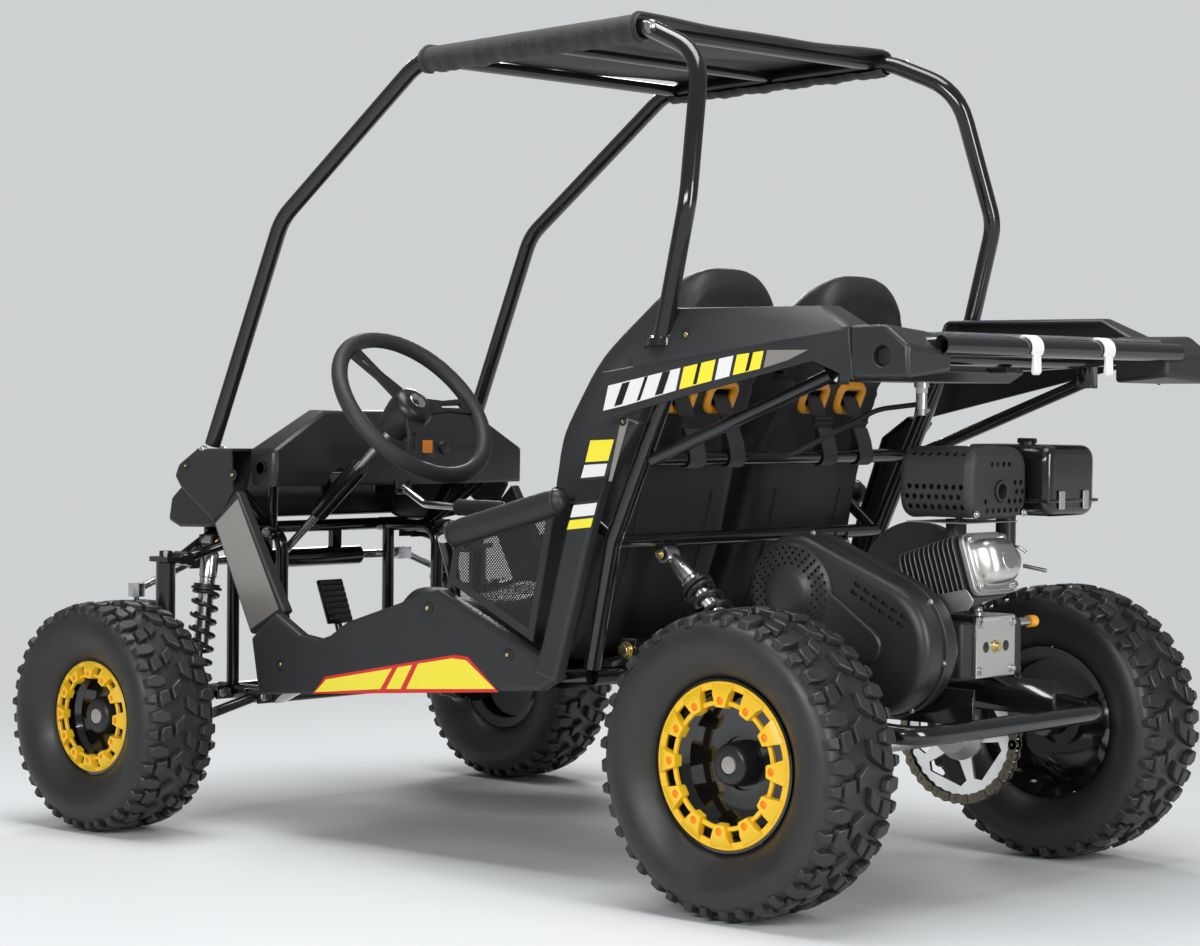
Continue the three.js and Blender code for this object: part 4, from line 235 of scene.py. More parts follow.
yellow_zinc = finish("yellow zinc bolt", (0.72, 0.56, 0.22), (0.78, 0.66, 0.36), (0.22, 0.34),
                     (grain, 900, 0.00005), metal=1.0, scale=40)
cast_alloy = finish("cast alloy", (0.46, 0.47, 0.47), (0.58, 0.59, 0.59), (0.36, 0.5), (grain, 1300, 0.0003),
                    metal=1.0, scale=18)
bright_alloy = finish("satin valve cover", (0.66, 0.67, 0.64), (0.74, 0.74, 0.7), (0.24, 0.34),
                      (grain, 500, 0.0001), metal=1.0, scale=12)
cylinder_black = finish("black cylinder paint", (0.02, 0.02, 0.02), (0.035, 0.035, 0.035), (0.4, 0.55),
                        (grain, 1300, 0.0002))
heat_paint = finish("matt heat-proof paint", (0.02, 0.0195, 0.019), (0.032, 0.031, 0.03), (0.5, 0.64),
                    (grain, 1600, 0.00015))
cover_plastic = finish("belt cover plastic", (0.016, 0.016, 0.016), (0.027, 0.0265, 0.026), (0.3, 0.42),
                       (grain, 1200, 0.0001))
chain_steel = finish("oiled chain steel", (0.16, 0.14, 0.11), (0.3, 0.27, 0.22), (0.3, 0.45),
                     (grain, 1500, 0.0001), metal=1.0, scale=60)
chrome = finish("ground sprocket steel", (0.68, 0.68, 0.67), (0.78, 0.78, 0.77), (0.12, 0.25),
                (grain, 700, 0.00006), metal=1.0, scale=16)
stripe_yellow = finish("yellow film", (0.93, 0.8, 0.045), (0.96, 0.84, 0.06), (0.2, 0.3), (grain, 600, 0.00003))
stripe_white = finish("white film", (0.8, 0.81, 0.82), (0.86, 0.86, 0.86), (0.22, 0.3), (grain, 600, 0.00003))
stripe_red = finish("red film", (0.62, 0.02, 0.02), (0.7, 0.03, 0.025), (0.2, 0.3), (grain, 600, 0.00003))
stripe_black = finish("black film", (0.006, 0.006, 0.006), (0.01, 0.01, 0.01), (0.2, 0.3), (grain, 600, 0.00003))
strut_silver = finish("silver film", (0.42, 0.4, 0.37), (0.52, 0.5, 0.46), (0.28, 0.4), (grain, 900, 0.0001),
                      metal=0.7)
trim_orange = finish("orange slot trim", (1.0, 0.4, 0.02), (1.0, 0.45, 0.03), (0.25, 0.35),
                     (grain, 800, 0.00005), Coat_Weight=0.3)
clip_white = finish("white clip plastic", (0.78, 0.79, 0.8), (0.84, 0.84, 0.84), (0.35, 0.45), (grain, 900, 0.00005))
deck_sheet = finish("clear deck sheet", (0.55, 0.58, 0.6), (0.62, 0.65, 0.67), (0.08, 0.16),
                    Transmission_Weight=0.85, IOR=1.49)
print(len(bpy.data.materials), "finishes")


# %% [markdown]
# The pieces below are shaped with Blender's own modelling tools. A few small helpers keep the steps
# short. A plate is a flat outline pushed to a thickness, a hull is the skin over its corners, a turned
# piece is a profile spun round an axle, and a bent tube is a curve with rounded corners.

# %% Modelling helpers
MERGED = 0.00002  # points nearer than this become one, in metres


def picked(obj):
    if bpy.context.mode != "OBJECT":
        bpy.ops.object.mode_set(mode="OBJECT")
    bpy.ops.object.select_all(action="DESELECT")
    obj.select_set(True)
    bpy.context.view_layer.objects.active = obj
    return obj


def edit(obj):
    """Opens a piece in edit mode with all of it selected."""
    picked(obj)
    bpy.ops.object.mode_set(mode="EDIT")
    bpy.ops.mesh.select_all(action="SELECT")


def applied(obj):
    picked(obj)
    for modifier in list(obj.modifiers):
        bpy.ops.object.modifier_apply(modifier=modifier.name)
    return obj


def tidy(obj, angle=35, outward=True):
    """Merges doubles, turns the faces outward, and shades smooth up to an angle."""
    edit(obj)
    bpy.ops.mesh.remove_doubles(threshold=MERGED)
    if outward:
        bpy.ops.mesh.normals_make_consistent(inside=False)
    bpy.ops.object.mode_set(mode="OBJECT")
    bpy.ops.object.shade_smooth_by_angle(angle=math.radians(angle))
    return obj


def placed(obj, name, material, body, *replaced, slot=None):
    """Names a finished piece, settles its place into its mesh, paints it and rides it on a body."""
    picked(obj)
    bpy.ops.object.transform_apply()
    obj.name = name
    obj.data.name = name
    if material:
        painted(obj, material)
    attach(obj, body)
    if replaced:
        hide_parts(*replaced)
    return obj


def joined(parts):
    """One object from several, each keeping its own finish."""
    picked(parts[0])
    for part in parts[1:]:
        part.select_set(True)
    if len(parts) > 1:
        bpy.ops.object.join()
    return bpy.context.object


def painted(obj, material):
    obj.data.materials.clear()
    obj.data.materials.append(material)
    return obj


def ring_of(points):
    """A closed ring of points, started as a circle and moved into its outline."""
    bpy.ops.object.select_all(action="DESELECT")
    bpy.ops.mesh.primitive_circle_add(vertices=len(points), radius=0.1, fill_type="NOTHING")
    obj = bpy.context.object
    obj.matrix_world = Matrix.Identity(4)
    for vertex, point in zip(obj.data.vertices, points):
        vertex.co = point
    return obj


def plate(points, push, angle=35):
    """A flat outline of places, pushed along a vector to its thickness."""
    obj = ring_of(points)
    edit(obj)
    bpy.ops.mesh.edge_face_add()
    bpy.ops.mesh.extrude_region_move(TRANSFORM_OT_translate={"value": push})
    bpy.ops.object.mode_set(mode="OBJECT")
    return tidy(obj, angle)


def softened(obj, width, segments=2, angle=35):
    """Rounds every edge sharper than 30 degrees."""
    rounding = obj.modifiers.new("rounding", "BEVEL")
    rounding.width = width
    rounding.segments = segments
    rounding.limit_method = "ANGLE"
    rounding.angle_limit = math.radians(30)
    applied(obj)
    return tidy(obj, angle, outward=False)


def hulled(points, bevel, segments=3, flat=1.5):
    """The skin over some corners, with faces that lean less than flat degrees made one."""
    obj = ring_of(points)
    edit(obj)
    bpy.ops.mesh.convex_hull()
    bpy.ops.mesh.dissolve_limited(angle_limit=math.radians(flat))
    bpy.ops.object.mode_set(mode="OBJECT")
    tidy(obj, 40)
    return softened(obj, bevel, segments, 40)


def turned(profile, centre, steps=64, angle=35):
    """A closed profile of (radius, along), spun round the axle line through centre, along Y."""
    obj = ring_of([centre + Vector((r, a, 0)) for r, a in profile])
    edit(obj)
    bpy.ops.mesh.spin(steps=steps, angle=2 * math.pi, center=centre, axis=(0, 1, 0), use_auto_merge=True)
    bpy.ops.object.mode_set(mode="OBJECT")
    return tidy(obj, angle)


def lathed(profile, place, steps, material, angle=35):
    """A painted turned piece, with its profile and its place in millimetres."""
    profile = [(r / 1000, a / 1000) for r, a in profile]
    return painted(turned(profile, spot(*place), steps, angle), material)


def cylinder(place, axis, radius, depth, sides):
    """A cylinder about a place, standing along an axis."""
    bpy.ops.object.select_all(action="DESELECT")
    bpy.ops.mesh.primitive_cylinder_add(vertices=sides, radius=radius, depth=depth, location=place,
                                        rotation=Vector(axis).to_track_quat("Z", "Y").to_euler())
    bpy.ops.object.transform_apply()
    return bpy.context.object


def cuboid(place, size):
    """A box about a place, with its three sizes."""
    bpy.ops.object.select_all(action="DESELECT")
    bpy.ops.mesh.primitive_cube_add(size=1, location=place, scale=size)
    bpy.ops.object.transform_apply()
    return bpy.context.object


def cut_by(obj, *cutters):
    """Takes the cutters' volume out of a piece."""
    cutter = joined(cutters)
    cutting = obj.modifiers.new("cut", "BOOLEAN")
    cutting.object = cutter
    cutting.solver = "EXACT"
    applied(obj)
    bpy.data.objects.remove(cutter)
    return tidy(obj, 40, outward=False)


def round_about(obj, count, centre):
    """Copies a piece's mesh round an axle along Y, count times in all."""
    edit(obj)
    bpy.ops.mesh.spin(steps=count - 1, dupli=True, angle=2 * math.pi * (count - 1) / count, center=centre,
                      axis=(0, 1, 0))
    bpy.ops.object.mode_set(mode="OBJECT")
    return obj


def corners_rounded(points, bend, steps=6):
    path = [points[0]]
    for before, here, after in zip(points, points[1:], points[2:]):
        into, out = (before - here), (after - here)
        turn_angle = math.pi - into.angle(out)
        reach = min(bend * math.tan(turn_angle / 2), into.length * 0.48, out.length * 0.48)
        first, last = here + into.normalized() * reach, here + out.normalized() * reach
        for step in range(steps + 1):
            t = step / steps
            path.append(first * (1 - t) ** 2 + here * 2 * t * (1 - t) + last * t * t)
    return path + [points[-1]]


def bent_tube(points, radius, bend=0.0, sides=4, closed=False):
    """A round tube along a path of places, as a mesh."""
    path = corners_rounded(points, bend) if bend else list(points)
    bpy.ops.object.select_all(action="DESELECT")
    bpy.ops.curve.primitive_bezier_curve_add()
    obj = bpy.context.object
    obj.matrix_world = Matrix.Identity(4)
    obj.data.splines.clear()
    line = obj.data.splines.new("POLY")
    line.points.add(len(path) - 1)
    line.use_cyclic_u = closed
    for point, place in zip(line.points, path):
        point.co = (*place, 1)
    obj.data.bevel_depth = radius
    obj.data.bevel_resolution = sides
    obj.data.use_fill_caps = not closed
    picked(obj)
    bpy.ops.object.convert(target="MESH")
    return tidy(bpy.context.object, 40)


def mirrored_in_y(obj):
    """The same piece on the kart's other side."""
    picked(obj)
    bpy.ops.object.duplicate()
    other = bpy.context.object
    other.data.transform(Matrix.Diagonal((1, -1, 1, 1)))
    other.data.flip_normals()
    return other


def bar(start, end, radius, sides, material):
    """A straight round bar between two places, all in millimetres."""
    return painted(bent_tube([spot(*start), spot(*end)], radius / 1000, 0, sides), material)


def slab(points, push, bevel, segments, material):
    """A painted plate with softened edges, with its outline in millimetres."""
    return painted(softened(plate([spot(*p) for p in points], push), bevel, segments), material)


def both_sides(obj, name, material, body, node=None, slot=None):
    """Places a left piece and its mirror image; {} in a name stands for the side's word."""
    other = mirrored_in_y(obj)
    for word, part in (("left", obj), ("right", other)):
        placed(part, name.format(word), material, body.format(word), *([node.format(word)] if node else []),
               slot=slot)
    return obj, other


print("helpers ready")


# %% [markdown]
# The floor is pale and plain. Close to the kart it is a real surface that takes the soft shadows, and
# further out it fades into the same even grey as the world behind it, so no horizon line shows.

# %% Floor and light
BACKDROP = (0.62, 0.635, 0.645, 1)
bpy.ops.mesh.primitive_circle_add(vertices=96, radius=24, fill_type="NGON", location=(0, 0, -0.0005))
floor = bpy.context.object
floor.name = "floor"
floor_paint = bpy.data.materials.new("pale studio floor")
floor_paint.use_nodes = True
tree = floor_paint.node_tree
matt = tree.nodes["Principled BSDF"]
matt.inputs["Base Color"].default_value = (0.66, 0.675, 0.685, 1)
matt.inputs["Roughness"].default_value = 0.9
glow = tree.nodes.new("ShaderNodeEmission")
glow.inputs["Color"].default_value = BACKDROP
reach = tree.nodes.new("ShaderNodeVectorMath")
reach.operation = "LENGTH"
tree.links.new(tree.nodes.new("ShaderNodeTexCoord").outputs["Object"], reach.inputs[0])
fade = tree.nodes.new("ShaderNodeMapRange")
fade.interpolation_type = "SMOOTHSTEP"
fade.inputs["From Min"].default_value = 0.9
fade.inputs["From Max"].default_value = 2.6
tree.links.new(reach.outputs["Value"], fade.inputs["Value"])
blend = tree.nodes.new("ShaderNodeMixShader")
tree.links.new(fade.outputs["Result"], blend.inputs["Fac"])
tree.links.new(matt.outputs["BSDF"], blend.inputs[1])
tree.links.new(glow.outputs["Emission"], blend.inputs[2])
tree.links.new(blend.outputs["Shader"], tree.nodes["Material Output"].inputs["Surface"])
floor.data.materials.append(floor_paint)

world = bpy.data.worlds.new("even studio")
bpy.context.scene.world = world
world.use_nodes = True
tree = world.node_tree
seen = tree.nodes["Background"]
seen.inputs["Color"].default_value = BACKDROP
dim = tree.nodes.new("ShaderNodeBackground")
dim.inputs["Color"].default_value = (0.62, 0.64, 0.66, 1)
dim.inputs["Strength"].default_value = 0.36
ray = tree.nodes.new("ShaderNodeLightPath")
straight = maths(tree, "MAXIMUM", ray.outputs["Is Camera Ray"], ray.outputs["Is Transmission Ray"])
choice = tree.nodes.new("ShaderNodeMixShader")
tree.links.new(straight, choice.inputs["Fac"])
tree.links.new(dim.outputs["Background"], choice.inputs[1])
tree.links.new(seen.outputs["Background"], choice.inputs[2])
tree.links.new(choice.outputs["Shader"], tree.nodes["World Output"].inputs["Surface"])


def softbox(place, aim, power, wide, high):
    bpy.ops.object.light_add(type="AREA", location=place)
    lamp = bpy.context.object
    lamp.data.shape = "RECTANGLE"
    lamp.data.size, lamp.data.size_y = wide, high
    lamp.data.energy = power
    lamp.rotation_euler = (Vector(aim) - Vector(place)).to_track_quat("-Z", "Y").to_euler()
    return lamp


softbox((0.0, 0.4, 3.6), (0, 0, 0.4), 105, 3.0, 1.6)
softbox((-1.4, 3.6, 1.7), (0, 0, 0.5), 75, 2.4, 0.7)
softbox((-3.6, 0.6, 1.5), (0, 0, 0.5), 62, 0.8, 2.0)
softbox((2.6, -2.6, 2.2), (0, 0, 0.6), 55, 1.2, 1.2)
bpy.context.scene.view_settings.view_transform = "Standard"


# %% [markdown]
# The tyre's body is a profile spun round the wheel's axle: bead, bulging sidewall, shoulder and a
# nearly flat crown. The tread is one pitch of slanted blocks, shaped once and copied round the wheel.
# The blocks stand on the carcass and reach the size at which the wheel touches the floor.

# %% Tyres
CARCASS = [(0.11, 0.42), (0.11, 0.6), (0.2, 0.72), (0.33, 0.87), (0.48, 0.965), (0.6, 1.0), (0.72, 0.985),
           (0.81, 0.93), (0.865, 0.83), (0.89, 0.68), (0.9, 0.4), (0.905, 0.0)]
TREAD_BLOCKS = [  # (along the rim, across the wheel) of each block's corners, as shares of the pitch and half width
    [(-0.3, 0.03), (0.1, 0.03), (0.34, 0.31), (-0.04, 0.34)],
    [(-0.02, 0.4), (0.36, 0.37), (0.5, 0.66), (0.26, 0.7), (0.04, 0.66)],
    [(-0.38, 0.44), (-0.14, 0.4), (-0.06, 0.64), (-0.12, 0.9), (-0.4, 0.9), (-0.46, 0.66)],
    [(0.1, 0.74), (0.4, 0.74), (0.34, 0.95), (0.14, 0.95)],
]
PITCHES = 20
WHEELS = {
    "front": dict(x=1190, y=455, z=176.73, radius=176.73, half=70, bead=77, ring=88, back=38, cap=34,
                  body="front_wheel_{}"),
    "rear": dict(x=0, y=372.5, z=201.56, radius=201.56, half=75, bead=102, ring=112, back=44, cap=38,
                 body="rear_wheels"),
}


def crown_at(wheel, share, lift):
    """The tread's radius at a share of the half width, on the carcass (lift 0) or on the blocks (lift 1)."""
    height = wheel["radius"] - wheel["bead"]
    low = 0.9 - 0.16 * max(share - 0.62, 0) ** 1.4 * 3
    high = 1.0 - 0.34 * max(share - 0.45, 0) ** 2
    return (wheel["bead"] + height * (low + (high - low) * lift)) / 1000


def tread_block(wheel, outline, side, offset):
    pitch = 2 * math.pi / PITCHES
    centre = spot(wheel["x"], wheel["y"], wheel["z"])
    rings = []
    for lift, shrink in ((0.0, 1.0), (1.0, 0.86)):
        middle = [sum(p[k] for p in outline) / len(outline) for k in (0, 1)]
        ring = []
        for along, across in outline:
            along = middle[0] + (along - middle[0]) * shrink
            across = middle[1] + (across - middle[1]) * shrink
            angle = (along + offset) * pitch
            radius = crown_at(wheel, across, lift)
            ring.append(centre + Vector((radius * math.cos(angle), side * across * wheel["half"] / 1000,
                                         radius * math.sin(angle))))
        rings.append(ring)
    obj = ring_of(rings[0])
    edit(obj)
    bpy.ops.mesh.edge_face_add()
    bpy.ops.mesh.extrude_region_move(TRANSFORM_OT_translate={"value": (0, 0, 0)})
    bpy.ops.object.mode_set(mode="OBJECT")
    for vertex, place in zip([v for v in obj.data.vertices if v.select], rings[1]):
        vertex.co = place
    tidy(obj, 30)
    return softened(obj, 0.0014, 1, 30)


def tyre(wheel):
    height = wheel["radius"] - wheel["bead"]
    half = [((wheel["bead"] + r * height) / 1000, a * wheel["half"] / 1000) for r, a in CARCASS]
    profile = half + [(r, -a) for r, a in reversed(half[:-1])]
    centre = spot(wheel["x"], wheel["y"], wheel["z"])
    body = turned(profile, centre, 96, 60)
    blocks = [tread_block(wheel, outline, side, offset)
              for side, offset in ((1, 0.0), (-1, 0.5)) for outline in TREAD_BLOCKS]
    tread = round_about(joined(blocks), PITCHES, centre)
    return painted(joined([body, tread]), tyre_rubber)


for end, wheel in WHEELS.items():
    left = tyre(wheel)
    both_sides(left, end + "_tyre_{}_knobbly", None, wheel["body"], end + "_tyre_{}", "tyre_rubber")
    print(end, "tyre faces", len(left.data.polygons))


# %% [markdown]
# A rim is a deep black dish with a hub cap. Over its edge lies a yellow ring with twelve raised pads,
# each with an orange insert sunk into its face, and a thin inner hoop that ties the pads together.

# %% Rims
PADS = 12


def rim(wheel):
    """A whole rim, drawn in millimetres outward from the wheel's middle."""
    ring, back, cap, lip = wheel["ring"], wheel["back"], wheel["cap"], wheel["bead"] - 3
    at = wheel["x"], wheel["y"], wheel["z"]
    centre = spot(*at)
    dish = lathed([
        (ring, back), (ring + 1, back + 5), (ring - 2.5, back + 6), (ring - 4, back + 2), (lip + 1, back),
        (lip - 3, back * 0.8), (lip - 4, back * 0.52), (lip * 0.86, back * 0.3), (lip * 0.62, back * 0.2),
        (lip * 0.36, back * 0.2), (lip * 0.35, back * 0.1), (12, back * 0.1), (12, 1.5), (lip * 0.7, 1.5),
        (lip * 0.93, -back * 0.2), (lip - 2, -back * 0.85), (ring - 1, -back), (ring - 1, -back + 3),
        (lip + 2, -back * 0.8), (lip + 2, back * 0.75), (ring - 4, back * 0.9)], at, 96, dish_paint, 30)
    hub_cap = lathed([(30, back * 0.12), (30, back * 0.3), (28, cap - 6), (25, cap - 1.2), (22, cap), (13.5, cap),
                      (12.5, cap - 1.5), (12.5, back * 0.12)], at, 48, smooth_plastic, 40)
    plug = lathed([(12.3, cap - 5), (12.3, cap - 1), (11, cap + 0.6), (0.2, cap + 1), (0.2, cap - 5)], at, 32,
                  strut_silver, 40)
    face = back + 6
    hoops = [lathed([(outer, face - 5), (outer, face - 1), (outer - 1, face), (inner + 1, face), (inner, face - 1),
                     (inner, face - 5)], at, 96, ring_yellow, 30)
             for outer, inner in ((ring - 3, ring * 0.885), (ring * 0.755, ring * 0.7))]

    def on_ring(share, turn, out):
        angle, reach = turn * 2 * math.pi / PADS, share * ring / 1000
        return centre + Vector((reach * math.cos(angle), out / 1000, reach * math.sin(angle)))

    corners = [on_ring(share, turn * s, face + out) for s in (1, -1) for share, turn, out in
               ((0.955, 0.33, -4), (0.955, 0.33, 0.5), (0.84, 0.27, 7), (0.68, 0.19, 7), (0.66, 0.19, -7),
                (0.9, 0.3, -7))]
    pad = hulled(corners, 0.0013, 2, flat=2)
    pad = cut_by(pad, cylinder(on_ring(0.755, 0, face + 3), (0, 1, 0), ring * 0.000047, 0.02, 24))
    insert = cylinder(on_ring(0.755, 0, face - 0.5), (0, 1, 0), ring * 0.000046, 0.01, 24)
    painted(insert, hole_orange)
    yellow = painted(joined([*hoops, round_about(pad, PADS, centre)]), ring_yellow)
    tidy(yellow, 30, outward=False)
    return joined([dish, hub_cap, plug, yellow, round_about(insert, PADS, centre)])


for end, wheel in WHEELS.items():
    left = rim(wheel)
    both_sides(left, end + "_rim_{}_ringed", None, wheel["body"], end + "_rim_{}", "rim_yellow")
    print(end, "rim faces", len(left.data.polygons))


# %% [markdown]
# The cage is two bent tubes a side. Each is drawn as a curve through the same points as the CAD
# solid, with rounded corners and a round section, so that the gloss paint shows one clean highlight.

# %% Cage
CAGE_ROUTE = [(1155, 287, 594), (1003, 281, 944), (706, 281, 1166), (262, 281, 1184), (150, 300, 1138),
              (121, 358, 939), (168, 354, 748)]
cage_parts = []
for side in SIDES.values():
    cage_parts.append(bent_tube([spot(x, y * side, z) for x, y, z in CAGE_ROUTE], 0.0125, 0.09, 6))
    cage_parts.append(bar((168, 354 * side, 744.5), (168, 354 * side, 754), 19, 6, tube_paint))
for share, radius in ((0.06, 9), (0.5, 7), (0.94, 9)):
    x, z = 262 + share * 444, 1184 - share * 18
    cage_parts.append(bar((x, -281, z), (x, 281, z), radius, 4, tube_paint))
cage = placed(joined(cage_parts), "round_cage_tubes", tube_paint, "chassis", "roll_cage", slot="gloss_black")
print("cage faces", len(cage.data.polygons))


def bolt_head(place, direction, size, material=zinc, washer=True):
    """A hexagon head on a washer, standing on a face."""
    direction = Vector(direction).normalized()
    place = Vector(place)
    parts = [cylinder(place + direction * size * 0.5, direction, size * 0.85, size * 0.8, 6)]
    if washer:
        parts.insert(0, cylinder(place + direction * size * 0.1, direction, size * 1.15, size * 0.25, 24))
    return painted(softened(joined(parts), size * 0.06, 1), material)


def bolts(name, body, places, material=zinc):
    """Several bolt heads as one piece: each place has a point, a direction and a size."""
    heads = [bolt_head(spot(*place), direction, size, material) for place, direction, size in places]
    return placed(joined(heads), name, None, body, slot="bright_metal")


bolts("cage_bolts", "chassis", [
    *[((1155, 287 * s + 17 * s, 585), (0, s, 0), 0.0075) for s in SIDES.values()],
    *[((1155, 287 * s - 17 * s, 585), (0, -s, 0), 0.0075) for s in SIDES.values()],
    *[((244, 281 * s + 14 * s, 1181), (0, s, 0), 0.008) for s in SIDES.values()],
    *[((168 + dx, 354 * s, 754), (0, 0, 1), 0.0045) for s in SIDES.values() for dx in (-15, 15)],
])


# %% [markdown]
# The roof is one sheet of cloth. It is pulled over both side tubes of the roof and rolled under them,
# and it sags a little between the cross tubes. A grid is bent into that form: across the kart its
# points run round one side tube, over the top and round the other.

# %% Canopy
ROOF_FRONT, ROOF_REAR = 690, 268
ROLL_RADIUS = 0.0185


def roof_point(u, v):
    """u runs from rear to front, v across from the left tube's underside to the right's."""
    x = ROOF_REAR + u * (ROOF_FRONT - ROOF_REAR)
    z = (1184 - (x - 262) / 444 * 18) / 1000
    wrap, half = math.radians(235), 0.281
    roll = 0.22
    side = 1 if v < 0.5 else -1
    share = min(v, 1 - v)
    flutter = 0.0016 * math.sin(x * 0.09) + 0.0012 * math.sin(x * 0.23 + side)
    if share < roll:
        angle = math.radians(90) - wrap * (1 - share / roll)
        radius = ROLL_RADIUS + flutter * (1 - share / roll)
        y, up_by = half + radius * math.cos(angle), radius * math.sin(angle)
    else:
        t = (share - roll) / (0.5 - roll)
        y = half * (1 - t)
        sag = math.sin(math.pi * min(t, 1) / 2) ** 1.3
        between = math.sin(math.pi * ((u * 2) % 1.0)) ** 2
        up_by = ROLL_RADIUS - sag * (0.006 + 0.008 * between) + 0.0014 * math.sin(x * 0.05 + y * 24) * sag
    return Vector((x / 1000 + AXLE_X, side * y, z + up_by))


bpy.ops.object.select_all(action="DESELECT")
ROWS, COLUMNS = 60, 110
bpy.ops.mesh.primitive_grid_add(x_subdivisions=ROWS, y_subdivisions=COLUMNS, size=1)
canopy = bpy.context.object
for vertex in canopy.data.vertices:
    vertex.co = roof_point(vertex.co.x + 0.5, vertex.co.y + 0.5)
thickness = canopy.modifiers.new("cloth thickness", "SOLIDIFY")
thickness.thickness = 0.0016
thickness.offset = 0
applied(canopy)
tidy(canopy, 60)
hems = []
for x in (ROOF_FRONT - 8, ROOF_REAR + 8):
    u = (x - ROOF_REAR) / (ROOF_FRONT - ROOF_REAR)
    hems.append(bent_tube([roof_point(u, v / 80) + Vector((0, 0, 0.001)) for v in range(3, 78)], 0.0035, 0, 3))
seam_places = [[roof_point(u / 40, v) + Vector((0, 0, 0.0012)) for u in range(41)] for v in (0.235, 0.765)]
hems += [bent_tube(path, 0.0012, 0, 2) for path in seam_places]
hem = placed(joined(hems), "canopy_hems", roof_cloth, "chassis", slot="cloth")
canopy = placed(canopy, "cloth_canopy", roof_cloth, "chassis", "canopy", slot="cloth")


# %% [markdown]
# The lower frame, the rear frame and the swing arm start as copies of their CAD solids, which carry
# the brackets and ears. Each long tube is then laid over its faceted copy as a smooth round one.

# %% Frames
def copied(node):
    """A copy of a CAD solid with its doubled points merged, ready to be joined with more."""
    obj = bpy.data.objects.new(node + "_copy", nodes[node].data.copy())
    bpy.context.scene.collection.objects.link(obj)
    return tidy(obj, 32, outward=False)


def tubes(routes, sides=(1, -1)):
    """Painted round tubes from (points, radius in mm, bend in mm), on the left and the right."""
    return [painted(bent_tube([spot(x, y * side, z) for x, y, z in points], (radius + 0.25) / 1000, bend / 1000, 5),
                    tube_paint) for points, radius, bend in routes for side in sides]


def framed(node, routes, across, whole_routes=()):
    """A copied frame with round tubes over it; those in across run straight from left to right."""
    spans = [*whole_routes, *[([(x, half, z), (x, -half, z)], radius, 0) for x, half, z, radius in across]]
    whole = joined([painted(copied(node), tube_paint), *tubes(routes), *tubes(spans, (1,))])
    return placed(whole, node + "_round", None, nodes[node]["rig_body"], node, slot="gloss_black")


framed("main_frame", [
    ([(345, 290, 284), (940, 290, 232.2), (1115, 175, 192), (1262, 175, 192)], 12.5, 60),
    ([(1262, 175, 454), (1115, 175, 454), (1115, 175, 192)], 10, 30),
    ([(1232, 175, 192), (1232, 175, 454)], 10, 0),
    ([(1140, 175, 454), (1155, 287, 577.4)], 10, 0),
    ([(1140, 175, 454), (1044, 257.4, 560)], 8, 0),
    ([(604, 298, 264), (604, 302.5, 414), (583, 345, 469.5)], 9, 30),
], [(345, 290, 284, 12.5), (940, 290, 232.2, 12.5), (1115, 175, 192, 10), (1262, 175, 192, 10),
    (1262, 175, 454, 10), (1044, 286, 560, 10), (1261, 130, 402, 16)])
framed("rear_frame", [
    ([(345, 290, 296.9), (292, 308, 475), (178, 311, 722)], 12.5, 60),
    ([(178, 311, 722), (-238, 288, 744)], 12.5, 0),
    ([(-83, 308, 706), (222, 308, 590)], 9, 0),
    ([(292, 299, 475), (366, 308, 528)], 9, 0),
    ([(366, 299, 528), (366, 334, 528)], 9, 0),
], [(292, 308, 475, 10), (246, 310, 590, 10), (178, 311, 722, 12.5), (-238, 288, 744, 12.5),
    (-83, 288, 731.5, 10)])
SWING_HALF = [(335, 205, 318), (180, 205, 284), (20, 235, 250), (-166, 235, 236)]
swing_route = SWING_HALF + [(x, -y, z) for x, y, z in reversed(SWING_HALF)]
framed("swing_arm", [], [(335, 220, 318, 15), (152, 222, 253, 13)], [(swing_route, 13, 55)])
print("frames ready")


# %% [markdown]
# The front corners: each arm has two round legs between its bushes, and zinc nuts stand at the ends
# of every pin. The left side is made, and its mirror image is the right side.

# %% Front arms
ARM_LEVELS = {"lower": 192, "upper": 454}
for level, z in ARM_LEVELS.items():
    legs = [([(1190 + 50 * s, 205, z), (1190 + 6 * s, 318, z - 40)], 8, 0) for s in (1, -1)]
    bushes = [([(1190 + 50 * s - 13, 205, z), (1190 + 50 * s + 13, 205, z)], 11.2, 0) for s in (1, -1)]
    arm = joined([painted(copied(f"front_{level}_arm_left"), tube_paint), *tubes(legs + bushes, (1,))])
    both_sides(arm, f"front_{level}_arm_round_{{}}", None, level + "_{}", f"front_{level}_arm_{{}}", "gloss_black")
for word, side in SIDES.items():
    heads = [bolt_head(spot(1190 + 50 * s + 17.8 * way, 205 * side, z), (way, 0, 0), 0.0065, zinc)
             for z in ARM_LEVELS.values() for s in (1, -1) for way in (-1, 1)]
    placed(joined(heads), f"arm_pin_nuts_{word}", None, "chassis", slot="bright_metal")
both_sides(copied("front_upright_left"), "front_upright_dressed_{}", tube_paint, "upright_{}", "front_upright_{}",
           "bright_metal")
knuckle = joined([painted(copied("front_knuckle_left"), tube_paint),
                  bar((1190, 352, 158), (1190, 352, 408), 15.4, 6, tube_paint),
                  bar((1190, 352, 176.7), (1190, 452, 176.7), 12.5, 5, zinc)])
both_sides(knuckle, "front_knuckle_round_{}", None, "knuckle_{}", "front_knuckle_{}", "gloss_black")
rod = joined([copied("tie_rod_left"), bar((1261, 243, 400.6), (1261, 344, 364.8), 6.3, 5, zinc),
              bar((1261, 352, 351.6), (1261, 352, 372.4), 13.4, 8, zinc)])
both_sides(rod, "tie_rod_round_{}", zinc, "tie_{}", "tie_rod_{}", "bright_metal")
placed(joined([copied("steering_rack"), bar((1261, 229, 402), (1261, -229, 402), 7.25, 5, zinc)]),
       "steering_rack_round", zinc, "rack", "steering_rack", slot="bright_metal")
print("front corners ready")


